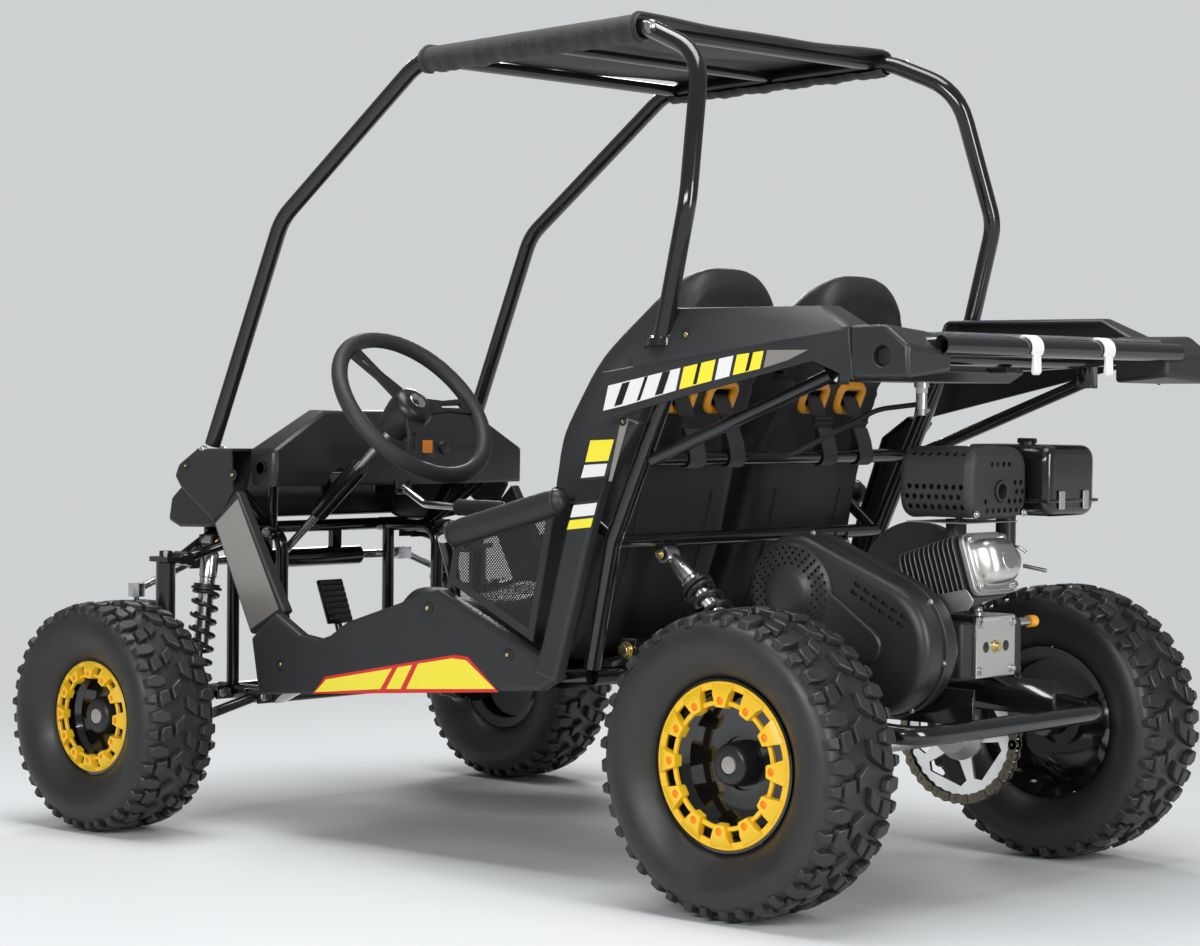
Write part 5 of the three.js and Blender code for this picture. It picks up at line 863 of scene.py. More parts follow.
# %% [markdown]
# A shock is a turned damper body with an adjusting ring, a polished rod and a coil of round wire.
# They are drawn along Y from the top eye and then laid between the two eyes.

# %% Shocks
def laid(obj, start, end):
    """Turns a piece drawn from the origin along Y so that it runs from start towards end."""
    along = (end - start).normalized()
    side = along.cross(Vector((0, 1, 0.3))).normalized()
    obj.data.transform(Matrix.Translation(start) @ Matrix((side, along, side.cross(along))).transposed().to_4x4())
    return obj


def shock_set(end, word, top, low, across):
    """A shock between two eyes; its sizes are in millimetres, counted from the top eye."""
    top, low = spot(*top), spot(*low)
    long = (low - top).length * 1000
    ring, cup = long * 0.3, long * 0.86  # where the adjusting ring and the lower cup stand

    def lathe(profile, material):
        profile = [(r / 1000, a / 1000) for r, a in profile]
        return painted(laid(turned(profile, Vector(), 32, 40), top, low), material)

    def eye(at):
        half = across / 2000
        return [painted(bent_tube([at - half * width, at + half * width], radius / 1000, 0, 6), material)
                for radius, width, material in ((12.2, 21.6, zinc), (9, 22.4, smooth_plastic))]

    def settle(parts, name, part, slot):
        node = f"{end}_{part}_{word}"
        placed(joined(parts), f"{end}_{name}_{word}", None, nodes[node]["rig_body"], node, slot=slot)

    settle([
        lathe([(0.2, 8), (9, 8), (12, 16), (14.2, 20), (14.2, long * 0.22), (12.6, long * 0.225),
               (12.6, long * 0.64), (10, long * 0.66), (0.2, long * 0.66)], chrome),
        lathe([(12.7, ring - 9), (21, ring - 9), (21, ring - 5), (24.4, ring - 4), (24.4, ring), (12.7, ring)],
              smooth_plastic), *eye(top)], "damper", "shock_body", "bright_metal")
    settle([
        lathe([(0.2, long * 0.5), (5.2, long * 0.5), (5.2, cup), (0.2, cup)], chrome),
        lathe([(0.2, long * 0.85), (13, long * 0.85), (13, cup + 7), (10.5, long * 0.95), (0.2, long * 0.97)],
              smooth_plastic), *eye(low)], "damper_foot", "shock_rod", "bright_metal")
    first, last, turns, steps = ring + 3.6, cup - 6.6, 7, 24
    flat = 0.06  # the share of the wire at each end that lies level
    wire = []
    for step in range(turns * steps + 1):
        t = step / (turns * steps)
        rise = min(max((t - flat) / (1 - 2 * flat), 0), 1)
        angle = 2 * math.pi * turns * t
        wire.append(Vector((19 * math.cos(angle), first + (last - first) * rise, 19 * math.sin(angle))) / 1000)
    settle([painted(laid(bent_tube(wire, 0.0035, 0, 3), top, low), smooth_plastic),
            lathe([(13.6, cup - 3), (22.6, cup - 3), (22.6, cup - 1), (21, cup), (13.6, cup)], smooth_plastic)],
           "coil", "spring", "gloss_black")


for word, side in SIDES.items():
    shock_set("front", word, (1190, 258 * side, 438), (1190, 292 * side, 186), Vector((1, 0, 0)))
    shock_set("rear", word, (285, 200 * side, 455), (95, 200 * side, 300), Vector((0, 1, 0)))
bolts("shock_bolts", "chassis", [
    *[((1190 + 16.5 * s, 258 * side, 438), (s, 0, 0), 0.006) for side in (1, -1) for s in (1, -1)],
    *[((285, (200 + 16.5 * s) * side, 455), (0, s * side, 0), 0.006) for side in (1, -1) for s in (1, -1)],
], yellow_zinc)
bolts("swing_bolts", "chassis", [((335, 228 * s, 318), (0, s, 0), 0.011) for s in (1, -1)], yellow_zinc)
bolts("rear_shock_foot_bolts", "rear_arm", [
    ((95, (200 + 16.5 * s) * side, 300), (0, s * side, 0), 0.006) for side in (1, -1) for s in (1, -1)], yellow_zinc)
print("shocks ready")


# %% [markdown]
# The rear axle carries a chain wheel with lightening windows, a brake disc and the hubs. The
# chain is a loop of real links: rollers on the pitch line, and pairs of waisted side plates that
# alternate between an inner and an outer width.

# %% Axle and chain
AXLE_AT = (0, 0, 201.56)
AXLE = spot(*AXLE_AT)
CHAIN_Y, PITCH_LENGTH, BIG, SMALL = -0.11, 0.015875, 37, 12
OUTPUT = spot(-62, 0, 332)


def pitch_radius(teeth):
    return PITCH_LENGTH / (2 * math.sin(math.pi / teeth))


def toothed(centre, teeth, windows=0):
    """A chain wheel in the chain's plane, with windows cut through it."""
    thick, y = 0.0055, CHAIN_Y
    radius, step = pitch_radius(teeth), 2 * math.pi / teeth
    points = []
    for tooth in range(teeth):
        for share, reach in ((0, -0.32), (0.2, -0.2), (0.36, 0.12), (0.44, 0.28), (0.56, 0.28), (0.64, 0.12),
                             (0.8, -0.2)):
            r, angle = radius + PITCH_LENGTH * reach, step * (tooth + share)
            points.append(Vector((centre.x + r * math.cos(angle), y - thick / 2, centre.z + r * math.sin(angle))))
    wheel = plate(points, (0, thick, 0))
    for window in range(windows):
        outline = []
        for r, a in ((0.42, -0.36), (0.42, 0.36), (0.72, 0.42), (0.8, 0.3), (0.8, -0.3), (0.72, -0.42)):
            angle = 2 * math.pi / windows * (window + a * (1 if r > 0.5 else 0.8))
            outline.append(Vector((centre.x + radius * r * math.cos(angle), y - thick,
                                   centre.z + radius * r * math.sin(angle))))
        wheel = cut_by(wheel, plate(outline, (0, thick * 2, 0)))
    return painted(softened(wheel, 0.0006, 1, 30), chrome)


axle_parts = [
    bar((0, 392, 201.56), (0, -392, 201.56), 13.25, 6, zinc),
    toothed(AXLE, BIG, 5),
    lathed([(13, -122), (27, -122), (38, -114), (38, -106), (27, -84), (13, -84)], AXLE_AT, 40, cast_alloy),
    lathed([(26, 205), (69, 205), (70.2, 206), (70.2, 208), (69, 209), (26, 209)], AXLE_AT, 72, chrome),
    lathed([(13, 181), (27, 181), (27, 204), (40, 205), (40, 210), (13, 210)], AXLE_AT, 40, tube_paint),
    *[lathed([(13, s * 320), (20, s * 320), (21, s * 330), (21, s * 360), (36, s * 366), (36, s * 373), (13, s * 373)],
             AXLE_AT, 40, tube_paint) for s in (1, -1)],
]
placed(joined(axle_parts), "rear_axle_set", None, "rear_wheels", "rear_axle", slot="bright_metal")
carriers = [lathed([(14, s * 219), (30, s * 219), (32, s * 222), (32, s * 234), (30, s * 237), (14, s * 237)],
                   AXLE_AT, 40, tube_paint) for s in (1, -1)]
placed(joined(carriers), "axle_bearing_carriers", None, "rear_arm", slot="gloss_black")


def chain_line():
    """The pin places of the chain, one per link, as (x, z) round both wheels."""
    gap = Vector((OUTPUT.x - AXLE.x, OUTPUT.z - AXLE.z))
    big, small = pitch_radius(BIG), pitch_radius(SMALL)
    wrap, facing = math.acos((big - small) / gap.length), math.atan2(gap.y, gap.x)

    def arc(centre, radius, teeth, start, end):
        step = 2 * math.pi / teeth
        return [(centre.x + radius * math.cos(i * step), centre.z + radius * math.sin(i * step))
                for i in range(math.ceil(start / step), math.floor(end / step) + 1)]

    def straight(a, b):
        steps = round(math.dist(a, b) / PITCH_LENGTH)
        return [(a[0] + (b[0] - a[0]) * i / steps, a[1] + (b[1] - a[1]) * i / steps) for i in range(1, steps)]

    around = arc(AXLE, big, BIG, facing + wrap, facing + 2 * math.pi - wrap)
    back = arc(OUTPUT, small, SMALL, facing - wrap, facing + wrap)
    return around + straight(around[-1], back[0]) + back + straight(back[-1], around[0])


PLATE_THICK, PLATE_HIGH = 0.0015, 0.0072


def link_plate(a, b, y):
    """A waisted side plate between two pins."""
    a, b = Vector((a[0], y, a[1])), Vector((b[0], y, b[1]))
    along = (b - a).normalized()
    up_way = along.cross(Vector((0, 1, 0)))
    points = []
    for centre, start in ((b, -90), (a, 90)):
        for k in range(7):
            angle = math.radians(start + k * 30)
            points.append(centre + (along * math.cos(angle) + up_way * math.sin(angle)) * PLATE_HIGH)
        points.append((a + b) / 2 + up_way * PLATE_HIGH * 0.72 * (1 if start < 0 else -1))
    return plate(points, (0, PLATE_THICK, 0))


pins = chain_line()
chain_parts = []
for index, (a, b) in enumerate(zip(pins, pins[1:] + pins[:1])):
    gap = 0.0042 if index % 2 else 0.0058
    chain_parts += [link_plate(a, b, CHAIN_Y + gap), link_plate(a, b, CHAIN_Y - gap - PLATE_THICK)]
    for half, radius, sides in ((0.0042, 0.0048, 2), (0.0085, 0.0024, 1)):  # the roller and the pin
        chain_parts.append(bent_tube([Vector((a[0], CHAIN_Y + half * s, a[1])) for s in (-1, 1)], radius, 0, sides))
chain = placed(joined(chain_parts), "roller_chain", chain_steel, "rear_arm", "drive_chain", slot="bright_metal")
print("chain links", len(pins), "faces", len(chain.data.polygons))


# %% [markdown]
# The bodywork is thin moulded plastic. A flat panel is an outline with thickness whose front edge is
# rounded and whose back is taken off, and a hollow shell is the hull of its corners with the open
# faces taken off. Both then get their wall.

# %% Moulded shells
SPAN, HEIGHT = 1190, 1184  # the wheelbase and the cage height, which the outlines are shares of


def outline_at(shares, y):
    return [spot(x * SPAN, y, z * HEIGHT) for x, z in shares]


def faces_picked(obj, wanted):
    """Opens a piece in edit mode with only those faces selected whose normal is wanted."""
    edit(obj)
    bpy.ops.mesh.select_all(action="DESELECT")
    bpy.ops.object.mode_set(mode="OBJECT")
    for face in obj.data.polygons:
        face.select = wanted(face.normal)
    bpy.ops.object.mode_set(mode="EDIT")


def opened(obj, is_open, wall):
    """Takes off the faces that is_open picks by their normal, and gives the rest a wall inward."""
    faces_picked(obj, is_open)
    bpy.ops.mesh.delete(type="FACE")
    bpy.ops.object.mode_set(mode="OBJECT")
    thick = obj.modifiers.new("wall", "SOLIDIFY")
    thick.thickness = wall
    thick.offset = -1
    thick.use_even_offset = True
    applied(obj)
    return tidy(obj, 40)


def panel(shares, near, far):
    """A panel that faces outward at far, in mm from the middle, with a raised border."""
    border, raised = 7, 2.2
    obj = plate(outline_at(shares, near), (0, (far - near - raised) / 1000, 0))
    faces_picked(obj, lambda normal: normal.y > 0.9)
    bpy.ops.mesh.inset(thickness=border / 1000, depth=raised / 1000)
    bpy.ops.object.mode_set(mode="OBJECT")
    softened(obj, 0.004, 3, 14)
    return opened(obj, lambda normal: normal.y < -0.9, 0.003)


SILL = [(0.843, 0.254), (0.797, 0.289), (0.75, 0.264), (0.716, 0.26), (0.696, 0.266), (0.665, 0.285),
        (0.504, 0.335), (0.354, 0.271), (0.302, 0.241), (0.335, 0.222), (0.715, 0.192), (0.829, 0.181)]
REAR_STRUT = [(0.213, 0.549), (0.254, 0.521), (0.294, 0.41), (0.329, 0.279), (0.345, 0.243), (0.306, 0.233),
              (0.255, 0.41), (0.234, 0.473), (0.181, 0.541)]
FRONT_STRUT = [(0.892, 0.443), (0.937, 0.399), (0.863, 0.257), (0.846, 0.257), (0.797, 0.289)]
side_panel = painted(joined([panel(SILL, 320.4, 340.4), panel(REAR_STRUT, 325.5, 345.5)]), panel_plastic)
both_sides(side_panel, "side_shell_{}", None, "chassis", "side_panel_{}", "matte_plastic")
print("side shells", len(side_panel.data.polygons))


# %% [markdown]
# The front cowl is two hulls, the bonnet between the pillars and the lower snout in front of it, and
# a slanted strut on either side that runs down to the sill.

# %% Front cowl
BONNET = [(0.981, 0.496), (0.908, 0.498), (0.904, 0.441), (0.925, 0.41), (0.945, 0.399), (1.012, 0.443),
          (1.025, 0.459), (1.017, 0.475)]
SNOUT = [(1.097, 0.396), (1.091, 0.427), (1.06, 0.448), (1.034, 0.473), (0.992, 0.496), (0.912, 0.496),
         (0.958, 0.397), (1.0, 0.389), (1.073, 0.387)]
bonnet = opened(hulled(outline_at(BONNET, 312) + outline_at(BONNET, -312), 0.006),
                lambda n: n.x < -0.5 or (n.z < -0.35 and abs(n.y) < 0.5), 0.004)
snout = opened(hulled(outline_at(SNOUT, 252) + outline_at(SNOUT, -252), 0.006),
               lambda n: n.x < -0.5 or (n.z < -0.7 and abs(n.y) < 0.5), 0.004)
strut = softened(plate(outline_at(FRONT_STRUT, 300), (0, 0.02, 0)), 0.004, 3)
placed(joined([bonnet, snout, strut, mirrored_in_y(strut)]), "front_cowl_shell", panel_plastic, "chassis",
       "front_cowl", slot="matte_plastic")

DASH = [(0.905, 282, 0.445), (0.905, 282, 0.4955), (0.856, 282, 0.4955), (0.856, 282, 0.445),
        (0.895, 168, 0.549), (0.862, 168, 0.549), (0.838, 168, 0.5), (0.842, 168, 0.445)]
dash = hulled([spot(x * SPAN, y * s, z * HEIGHT) for x, y, z in DASH for s in (1, -1)], 0.008)
dash = opened(dash, lambda n: n.z < -0.6 or n.x > 0.97, 0.004)
HUB_AT, TILT = spot(838, 158, 657), math.radians(39)  # the steering wheel's hub and its column's slope
column_way = Vector((math.cos(TILT), 0, -math.sin(TILT)))
dash = painted(cut_by(dash, cylinder(HUB_AT + column_way * 0.2, column_way, 0.026, 0.34, 32)), smooth_plastic)
bezel = [painted(softened(cuboid(spot(1001.5 - depth * 500, -30, 592), (depth + 0.004, wide, wide)), 0.0015), material)
         for wide, depth, material in ((0.034, 0.005, smooth_plastic), (0.034 * 0.86, 0.0062, panel_plastic))]
gauges = [painted(softened(cylinder(spot(1000, y, 590), (1, 0, 0), 0.011, 0.012, 32), 0.0015), smooth_plastic)
          for y in (-72, 64)]
placed(joined([dash, *bezel, *gauges]), "dash_shell", None, "chassis", "dash_panel", slot="matte_plastic")
switch = copied("rocker_switch")
edit(switch)
bpy.ops.mesh.dissolve_limited(angle_limit=math.radians(1))
bpy.ops.object.mode_set(mode="OBJECT")
placed(softened(switch, 0.0008), "rocker_switch_dressed", hole_orange, nodes["rocker_switch"]["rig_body"],
       "rocker_switch", slot="switch_orange")
print("cowl and dash ready")


# %% [markdown]
# Each rear fairing is a wedge-shaped shell over the rack rail, with a flat band along its side and a
# corner pad at its tail that has a round recess.

# %% Rear fairings
FAIRING_TOP = [(0.177, 0.6), (0.149, 0.671), (-0.084, 0.671), (-0.137, 0.643)]
FAIRING_BAND = [(0.229, 0.541), (0.218, 0.598), (-0.131, 0.648), (-0.137, 0.59), (-0.083, 0.611)]
CORNER_PAD = [(-0.128, 0.592), (-0.128, 0.648), (-0.178, 0.65), (-0.209, 0.627), (-0.209, 0.592)]


def fairing():
    foot, head = [FAIRING_TOP[0], FAIRING_TOP[3]], [FAIRING_TOP[1], FAIRING_TOP[2]]
    crown = hulled(outline_at(foot, 374) + outline_at(head, 340) + outline_at(foot, 310) + outline_at(head, 310), 0.007)
    crown = opened(crown, lambda n: n.y < -0.8 or n.z < -0.6, 0.004)
    band = softened(plate(outline_at(FAIRING_BAND, 366), (0, 0.0055, 0)), 0.0018, 2)
    shrunk = [(-0.172, 0.643), (-0.2, 0.621), (-0.2, 0.6)]
    pad = hulled(outline_at(CORNER_PAD, 370) + outline_at(CORNER_PAD[:2], 262) + outline_at(shrunk, 262), 0.006)
    recess = spot(-0.209 * SPAN + 42, 372, 0.592 * HEIGHT + 28)
    pad = softened(cut_by(pad, cylinder(recess, (0, 1, 0), 0.0135, 0.03, 40)), 0.0008, 1)
    # A thin strip of black film on the corner pad is painted shade where a groove would be; no groove is cut into the
    # pad.
    painted_groove_shade = slab([(x, 370.6, z) for x, z in [(-160, 712), (-158, 712), (-158, 766), (-160, 766)]],
                  (0, 0.0004, 0), 0.0001, 1, stripe_black)
    return joined([painted(part, panel_plastic) for part in (crown, band, pad)] + [painted_groove_shade])


both_sides(fairing(), "rear_fairing_shell_{}", None, "chassis", "rear_fairing_{}", "matte_plastic")
print("fairings ready")


# %% [markdown]
# The coloured films on the bodywork are thin plates that stand a few tenths of a millimetre proud.
# Their pattern is a plain one of slanted bars, in the photo's yellow, white, silver and red.

# %% Films and body bolts
FILMS = [  # finish, distance from the middle, and the corners as (ahead, up), in mm
    (stripe_red, 340.4, [(862, 225), (835, 253), (566, 303), (538, 302), (476, 256)]),
    (stripe_yellow, 340.7, [(857, 228), (832, 249), (692, 275), (716, 243)]),
    (stripe_yellow, 340.7, [(704, 244), (680, 277.5), (650, 283), (674, 246)]),
    (stripe_yellow, 340.7, [(662, 247), (638, 285.5), (569, 298), (541, 297), (484, 260)]),
    (stripe_yellow, 345.5, [(302, 615), (259, 617), (269, 588), (311, 585)]),
    (stripe_white, 345.5, [(312.5, 581), (270.5, 584), (276, 567), (319, 563)]),
    (stripe_black, 345.5, [(320, 559), (277.5, 563), (287, 534), (331, 529)]),
    (stripe_white, 345.5, [(332, 525), (288.5, 530), (294, 513), (338, 508)]),
    (stripe_yellow, 345.5, [(339, 504), (295.5, 509), (300, 496), (344, 491)]),
    (strut_silver, 345.5, [(247, 642), (232, 646), (262, 560), (268, 560)]),
    (strut_silver, 320.0, [(1057, 512), (962, 346), (1026, 311), (1109, 472)]),
    (stripe_white, 371.5, [(256, 656), (247, 690), (120, 714), (128, 684), (214, 664)]),
    (stripe_yellow, 371.5, [(122, 685.5), (114, 715), (60, 725), (67, 697)]),
    (stripe_white, 371.5, [(61, 698), (54, 726), (30, 730), (37, 703)]),
    (stripe_yellow, 371.5, [(31, 704.5), (24, 731), (-20, 736), (-14, 713)]),
    (strut_silver, 371.5, [(-20, 714), (-26, 737), (-92, 737), (-60, 724)]),
    (stripe_black, 371.8, [(236, 662), (222, 693), (208, 696), (222, 665)]),
    (stripe_black, 371.8, [(196, 669.5), (182, 702), (176, 703), (190, 671)]),
    (stripe_black, 371.8, [(164, 677), (151, 708), (137, 710.5), (150, 680)]),
    (stripe_black, 371.8, [(98, 692), (90, 719.5), (84, 720.5), (92, 693)]),
    (stripe_black, 371.8, [(10, 709), (3, 733.5), (-3, 734), (4, 711)]),
]
for material, far, corners in FILMS:
    both_sides(plate([spot(x, far, z) for x, z in corners], (0, 0.0003, 0)), "film_{}", material, "chassis")

BODY_BOLTS = [((933, 341, 264), 0.006), ((619, 341, 367), 0.0065), ((459, 341, 310), 0.006),
              ((243, 346, 642), 0.0045), ((120, 359.4, 758), 0.007), ((1078, 313, 548), 0.006),
              ((1190, 313, 560), 0.0045)]
for side_word, s in SIDES.items():
    heads = []
    for (x, y, z), size in BODY_BOLTS:
        centre = spot(x, y * s, z)
        dish = turned([(size * r, s * a) for r, a in [
            (1.5, -0.0012), (1.5, 0.0006), (1.3, 0.0012), (0.8, 0.001), (0.75, -0.0004), (0.03, -0.0004),
            (0.03, -0.0012)]], centre, 32)
        heads.append(painted(dish, smooth_plastic))
        heads.append(bolt_head(centre + Vector((0, -0.001 * s, 0)), (0, s, 0), size * 0.62, yellow_zinc, washer=False))
    placed(joined(heads), f"body_bolts_{side_word}", None, "chassis", slot="bright_metal")
print(len(FILMS), "films a side")


# %% [markdown]
# The steering wheel is turned flat about its own axis and then tipped onto the column: a thick moulded
# grip, three flat spokes with a slot in each, and a deep hub with a round cap.

# %% Steering wheel
grip_line = [Vector((0, 0.133 * math.cos(math.radians(a)), 0.133 * math.sin(math.radians(a))))
             for a in [2.5 * k for k in range(144)]]
wheel_parts = [painted(bent_tube(grip_line, 0.0125, 0, 7, closed=True), grip_rubber)]
for degrees in (90, 210, 330):
    spoke = plate([Vector((-0.003, y, z)) for y, z in [(-0.017, 0.02), (-0.011, 0.07), (-0.016, 0.127),
                                                       (0.016, 0.127), (0.011, 0.07), (0.017, 0.02)]], (0.006, 0, 0))
    softened(spoke, 0.0016, 2)
    slot_hole = plate([Vector((-0.01, y, z)) for y, z in [(-0.0035, 0.06), (-0.005, 0.105), (0.005, 0.105),
                                                          (0.0035, 0.06)]], (0.02, 0, 0))
    spoke = cut_by(spoke, slot_hole)
    spoke.data.transform(Matrix.Rotation(math.radians(degrees), 4, "X"))
    wheel_parts.append(painted(spoke, smooth_plastic))


def turned_on_x(profile, material, steps=40):
    """A turned piece about the X axis; along is counted backward, towards the kart's tail."""
    obj = turned([(r, -along) for r, along in profile], Vector(), steps, 40)
    obj.data.transform(Matrix.Rotation(math.radians(-90), 4, "Z"))
    return painted(obj, material)


wheel_parts += [
    turned_on_x([(0.0002, 0.015), (0.02, 0.014), (0.03, 0.009), (0.034, 0.0), (0.033, -0.02), (0.028, -0.05),
                 (0.0002, -0.052)], smooth_plastic),
    turned_on_x([(0.0002, 0.0165), (0.012, 0.0165), (0.0135, 0.0155), (0.0135, 0.012), (0.0002, 0.012)], chrome, 32),
    turned_on_x([(0.0002, -0.05), (0.0065, -0.05), (0.0065, -0.392), (0.0002, -0.392)], zinc, 24)]
wheel = joined(wheel_parts)
wheel.data.transform(Matrix.Translation(HUB_AT) @ Matrix.Rotation(TILT, 4, "Y"))
placed(wheel, "round_steering_wheel", None, "steering", "steering_wheel", slot="matte_plastic")
placed(bent_tube([HUB_AT + column_way * 0.15, HUB_AT + column_way * 0.27], 0.0153, 0, 6), "column_jacket",
       tube_paint, "chassis", slot="gloss_black")
print("steering wheel faces", len(wheel.data.polygons))


# %% [markdown]
# The pedals have ribbed rubber pads, and the gear lever is a chromed rod with a ribbed black grip.

# %% Pedals and lever
LEAN = math.radians(22)
for name, y in (("throttle", 92), ("brake", 225)):
    pivot = spot(1042, y, 231.845)
    top = pivot + Vector((math.sin(LEAN), 0, math.cos(LEAN))) * 0.118
    across = Vector((0, 0.012, 0))
    parts = [painted(bent_tube([pivot, top], 0.0062, 0, 4), tube_paint),
             painted(bent_tube([pivot + across, pivot - across], 0.0092, 0, 5), tube_paint)]
    pad_parts = [painted(softened(cuboid((0, 0, 0), (0.008, 0.052, 0.074)), 0.002), tube_paint)]
    for rib in range(7):
        strip = cuboid((-0.0048, 0, -0.03 + rib * 0.01), (0.003, 0.048, 0.0055))
        pad_parts.append(painted(softened(strip, 0.0008, 1), grip_rubber))
    pad = joined(pad_parts)
    pad.data.transform(Matrix.Translation(top - Vector((0.006, 0, 0))) @ Matrix.Rotation(LEAN, 4, "Y"))
    placed(joined([*parts, pad]), f"{name}_pedal_dressed", None, nodes[f"{name}_pedal"]["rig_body"],
           f"{name}_pedal", slot="gloss_black")

lever_parts = [
    painted(bent_tube([spot(1000, 18, 526), spot(950, 18, 501), spot(862, 18, 498)], 0.0062, 0.026, 5), chrome),
    bar((1010, 5, 526), (1010, 31, 526), 11.2, 6, tube_paint)]
ribs = [(0.0132 if k % 2 else 0.0118, 0.006 + k * 0.0035) for k in range(24)]
grip = turned([(0.0002, 0), (0.0125, 0), (0.0135, 0.002), *ribs, (0.012, 0.096), (0.008, 0.103), (0.0002, 0.104)],
              Vector(), 32, 50)
lever_parts.append(painted(laid(grip, spot(875, 18, 498), spot(772, 18, 498)), grip_rubber))
placed(joined(lever_parts), "gear_lever_dressed", None, "lever", "gear_lever", slot="bright_metal")
print("controls ready")


# %% [markdown]
# A seat is upholstery over a bent shell. The CAD form is remeshed evenly, smoothed, and then blown up
# a little as cloth, held along its underside and round the harness slots, so that it swells between
# them like a padded cover. One seat is made and the other is its copy.

# %% Seats
def remeshed(obj, size, smooth):
    even = obj.modifiers.new("even mesh", "REMESH")
    even.mode = "VOXEL"
    even.voxel_size = size
    soft = obj.modifiers.new("soft", "SMOOTH")
    soft.factor = 0.5
    soft.iterations = smooth
    return applied(obj)


def blown(obj, hold, pressure, most):
    """Fills a closed cover with air for 20 frames; hold gives the share by which a vertex is pinned."""
    before = [v.co.copy() for v in obj.data.vertices]
    pins = obj.vertex_groups.new(name="held")
    for vertex in obj.data.vertices:
        pins.add([vertex.index], hold(vertex), "REPLACE")
    picked(obj)
    cloth = obj.modifiers.new("air", "CLOTH")
    cloth.settings.quality = 6
    cloth.settings.mass = 0.3
    cloth.settings.tension_stiffness = 40
    cloth.settings.compression_stiffness = 40
    cloth.settings.shear_stiffness = 20
    cloth.settings.bending_stiffness = 2
    cloth.settings.use_pressure = True
    cloth.settings.uniform_pressure_force = pressure
    cloth.settings.vertex_group_mass = "held"
    cloth.settings.effector_weights.gravity = 0
    cloth.point_cache.frame_start, cloth.point_cache.frame_end = 1, 20
    scene = bpy.context.scene
    for number in range(1, 21):
        scene.frame_set(number)
    bpy.ops.object.modifier_apply(modifier="air")
    scene.frame_set(1)
    moved = 0
    for vertex, place in zip(obj.data.vertices, before):
        shift = vertex.co - place
        if shift.length > most:
            vertex.co = place + shift.normalized() * most
        moved = max(moved, min(shift.length, most))
    print(obj.name, "swelled by", round(moved * 1000, 1), "mm")
    return obj


SEAT_Y = 0.152  # how far a seat's middle stands from the kart's
SLOT_Y, SLOT_Z = [SEAT_Y + s * 0.044 for s in (1, -1)], 0.677
seat = remeshed(copied("seat_left"), 0.0055, 4)
loose = seat.vertex_groups.new(name="away from the slots")
for vertex in seat.data.vertices:
    far = min(max(abs(vertex.co.y - y) - 0.03, abs(vertex.co.z - SLOT_Z) - 0.02, 0) for y in SLOT_Y)
    loose.add([vertex.index], min(far / 0.03, 1), "REPLACE")
rounding = seat.modifiers.new("rounded outline", "SMOOTH")
rounding.factor, rounding.iterations, rounding.vertex_group = 0.5, 90, loose.name
applied(seat)


def seat_hold(vertex):
    """The cover is glued down along its edges and underside, and stays put round the slots."""
    y, z = vertex.co.yz
    near_slot = min(max(abs(y - slot_y) - 0.021, abs(z - SLOT_Z) - 0.01, 0) for slot_y in SLOT_Y)
    hold = max(1 - near_slot / 0.03, 0)
    if vertex.normal.x < -0.3 or vertex.normal.z < -0.6:
        hold = max(hold, 0.75)
    if abs(y - SEAT_Y) > 0.118:
        hold = max(hold, 0.5)
    return min(hold, 1.0)


def plumped(obj, hold, pressure, most):
    blown(obj, hold, pressure, most)
    finer = obj.modifiers.new("finer", "SUBSURF")
    finer.levels = 1
    applied(obj)
    return tidy(obj, 60)


plumped(seat, seat_hold, 4, 0.008)


def on_seat(start, direction):
    """Where a ray meets the seat, or None."""
    hit, place, normal, _ = seat.ray_cast(start, direction)
    return place + normal * 0.0006 if hit else None


def seam_path(across):
    """A seam down the backrest's front and forward over the base, at a distance from the middle."""
    path = []
    for k in range(60):
        t = k / 59
        start = spot(420 + 420 * max(t - 0.5, 0) * 2, 152 + across, 800 - 420 * min(t, 0.5) * 2)
        aim = Vector((-1, 0, -0.15 - 2.2 * max(t - 0.35, 0)))
        found = on_seat(start, aim.normalized())
        if found is not None:
            path.append(found)
    return path


seams = [bent_tube(seam_path(s * 78), 0.0013, 0, 2) for s in (1, -1)]
cross = [on_seat(spot(520, 152 + y, 700), Vector((-1, 0, 0))) for y in range(-76, 77, 6)]
seams.append(bent_tube([p for p in cross if p is not None], 0.0013, 0, 2))
piping = painted(joined(seams), seat_skin)
trims = []
half_w, half_h, corner = 0.027, 0.0175, 0.012
for y in SLOT_Y:
    for way in (-1, 1):
        loop = []
        for cy, cz, first in ((1, 1, 0), (-1, 1, 90), (-1, -1, 180), (1, -1, 270)):
            for k in range(5):
                a = math.radians(first + k * 22.5)
                start = Vector((spot(60 if way < 0 else 560, 0, 0).x, y + cy * (half_w - corner) + corner * math.cos(a),
                                SLOT_Z + cz * (half_h - corner) + corner * math.sin(a)))
                face = on_seat(start, Vector((-way, 0, 0)))
                if face is not None:
                    loop.append(face)
        trims.append(bent_tube(loop, 0.0072, 0, 4, closed=True))
trim = painted(joined(trims), trim_orange)
for word, shift in (("right", -0.304), ("left", 0)):
    for source, name, material, replaced, slot in (
            (seat, "padded_seat", seat_skin, (f"seat_{word}",), "seat_cover"),
            (piping, "seat_seams", seat_skin, (), "seat_cover"),
            (trim, "seat_slot_trims", trim_orange, (), "switch_orange")):
        obj = source
        if shift:
            obj = source.copy()
            obj.data = source.data.copy()
            bpy.context.scene.collection.objects.link(obj)
            obj.data.transform(Matrix.Translation((0, shift, 0)))
        placed(obj, f"{name}_{word}", material, "chassis", *replaced, slot=slot)
print("seat faces", len(seat.data.polygons))


# %% [markdown]
# Beside each seat a padded sleeve runs up to the rear post, and a triangular net hangs from it. The
# net is a fine grid, cut to the triangle and given thickness as a wire frame, inside a sewn hem.

# %% Side nets
NET = [(0.472, 0.4), (0.309, 0.445), (0.343, 0.28), (0.482, 0.345)]


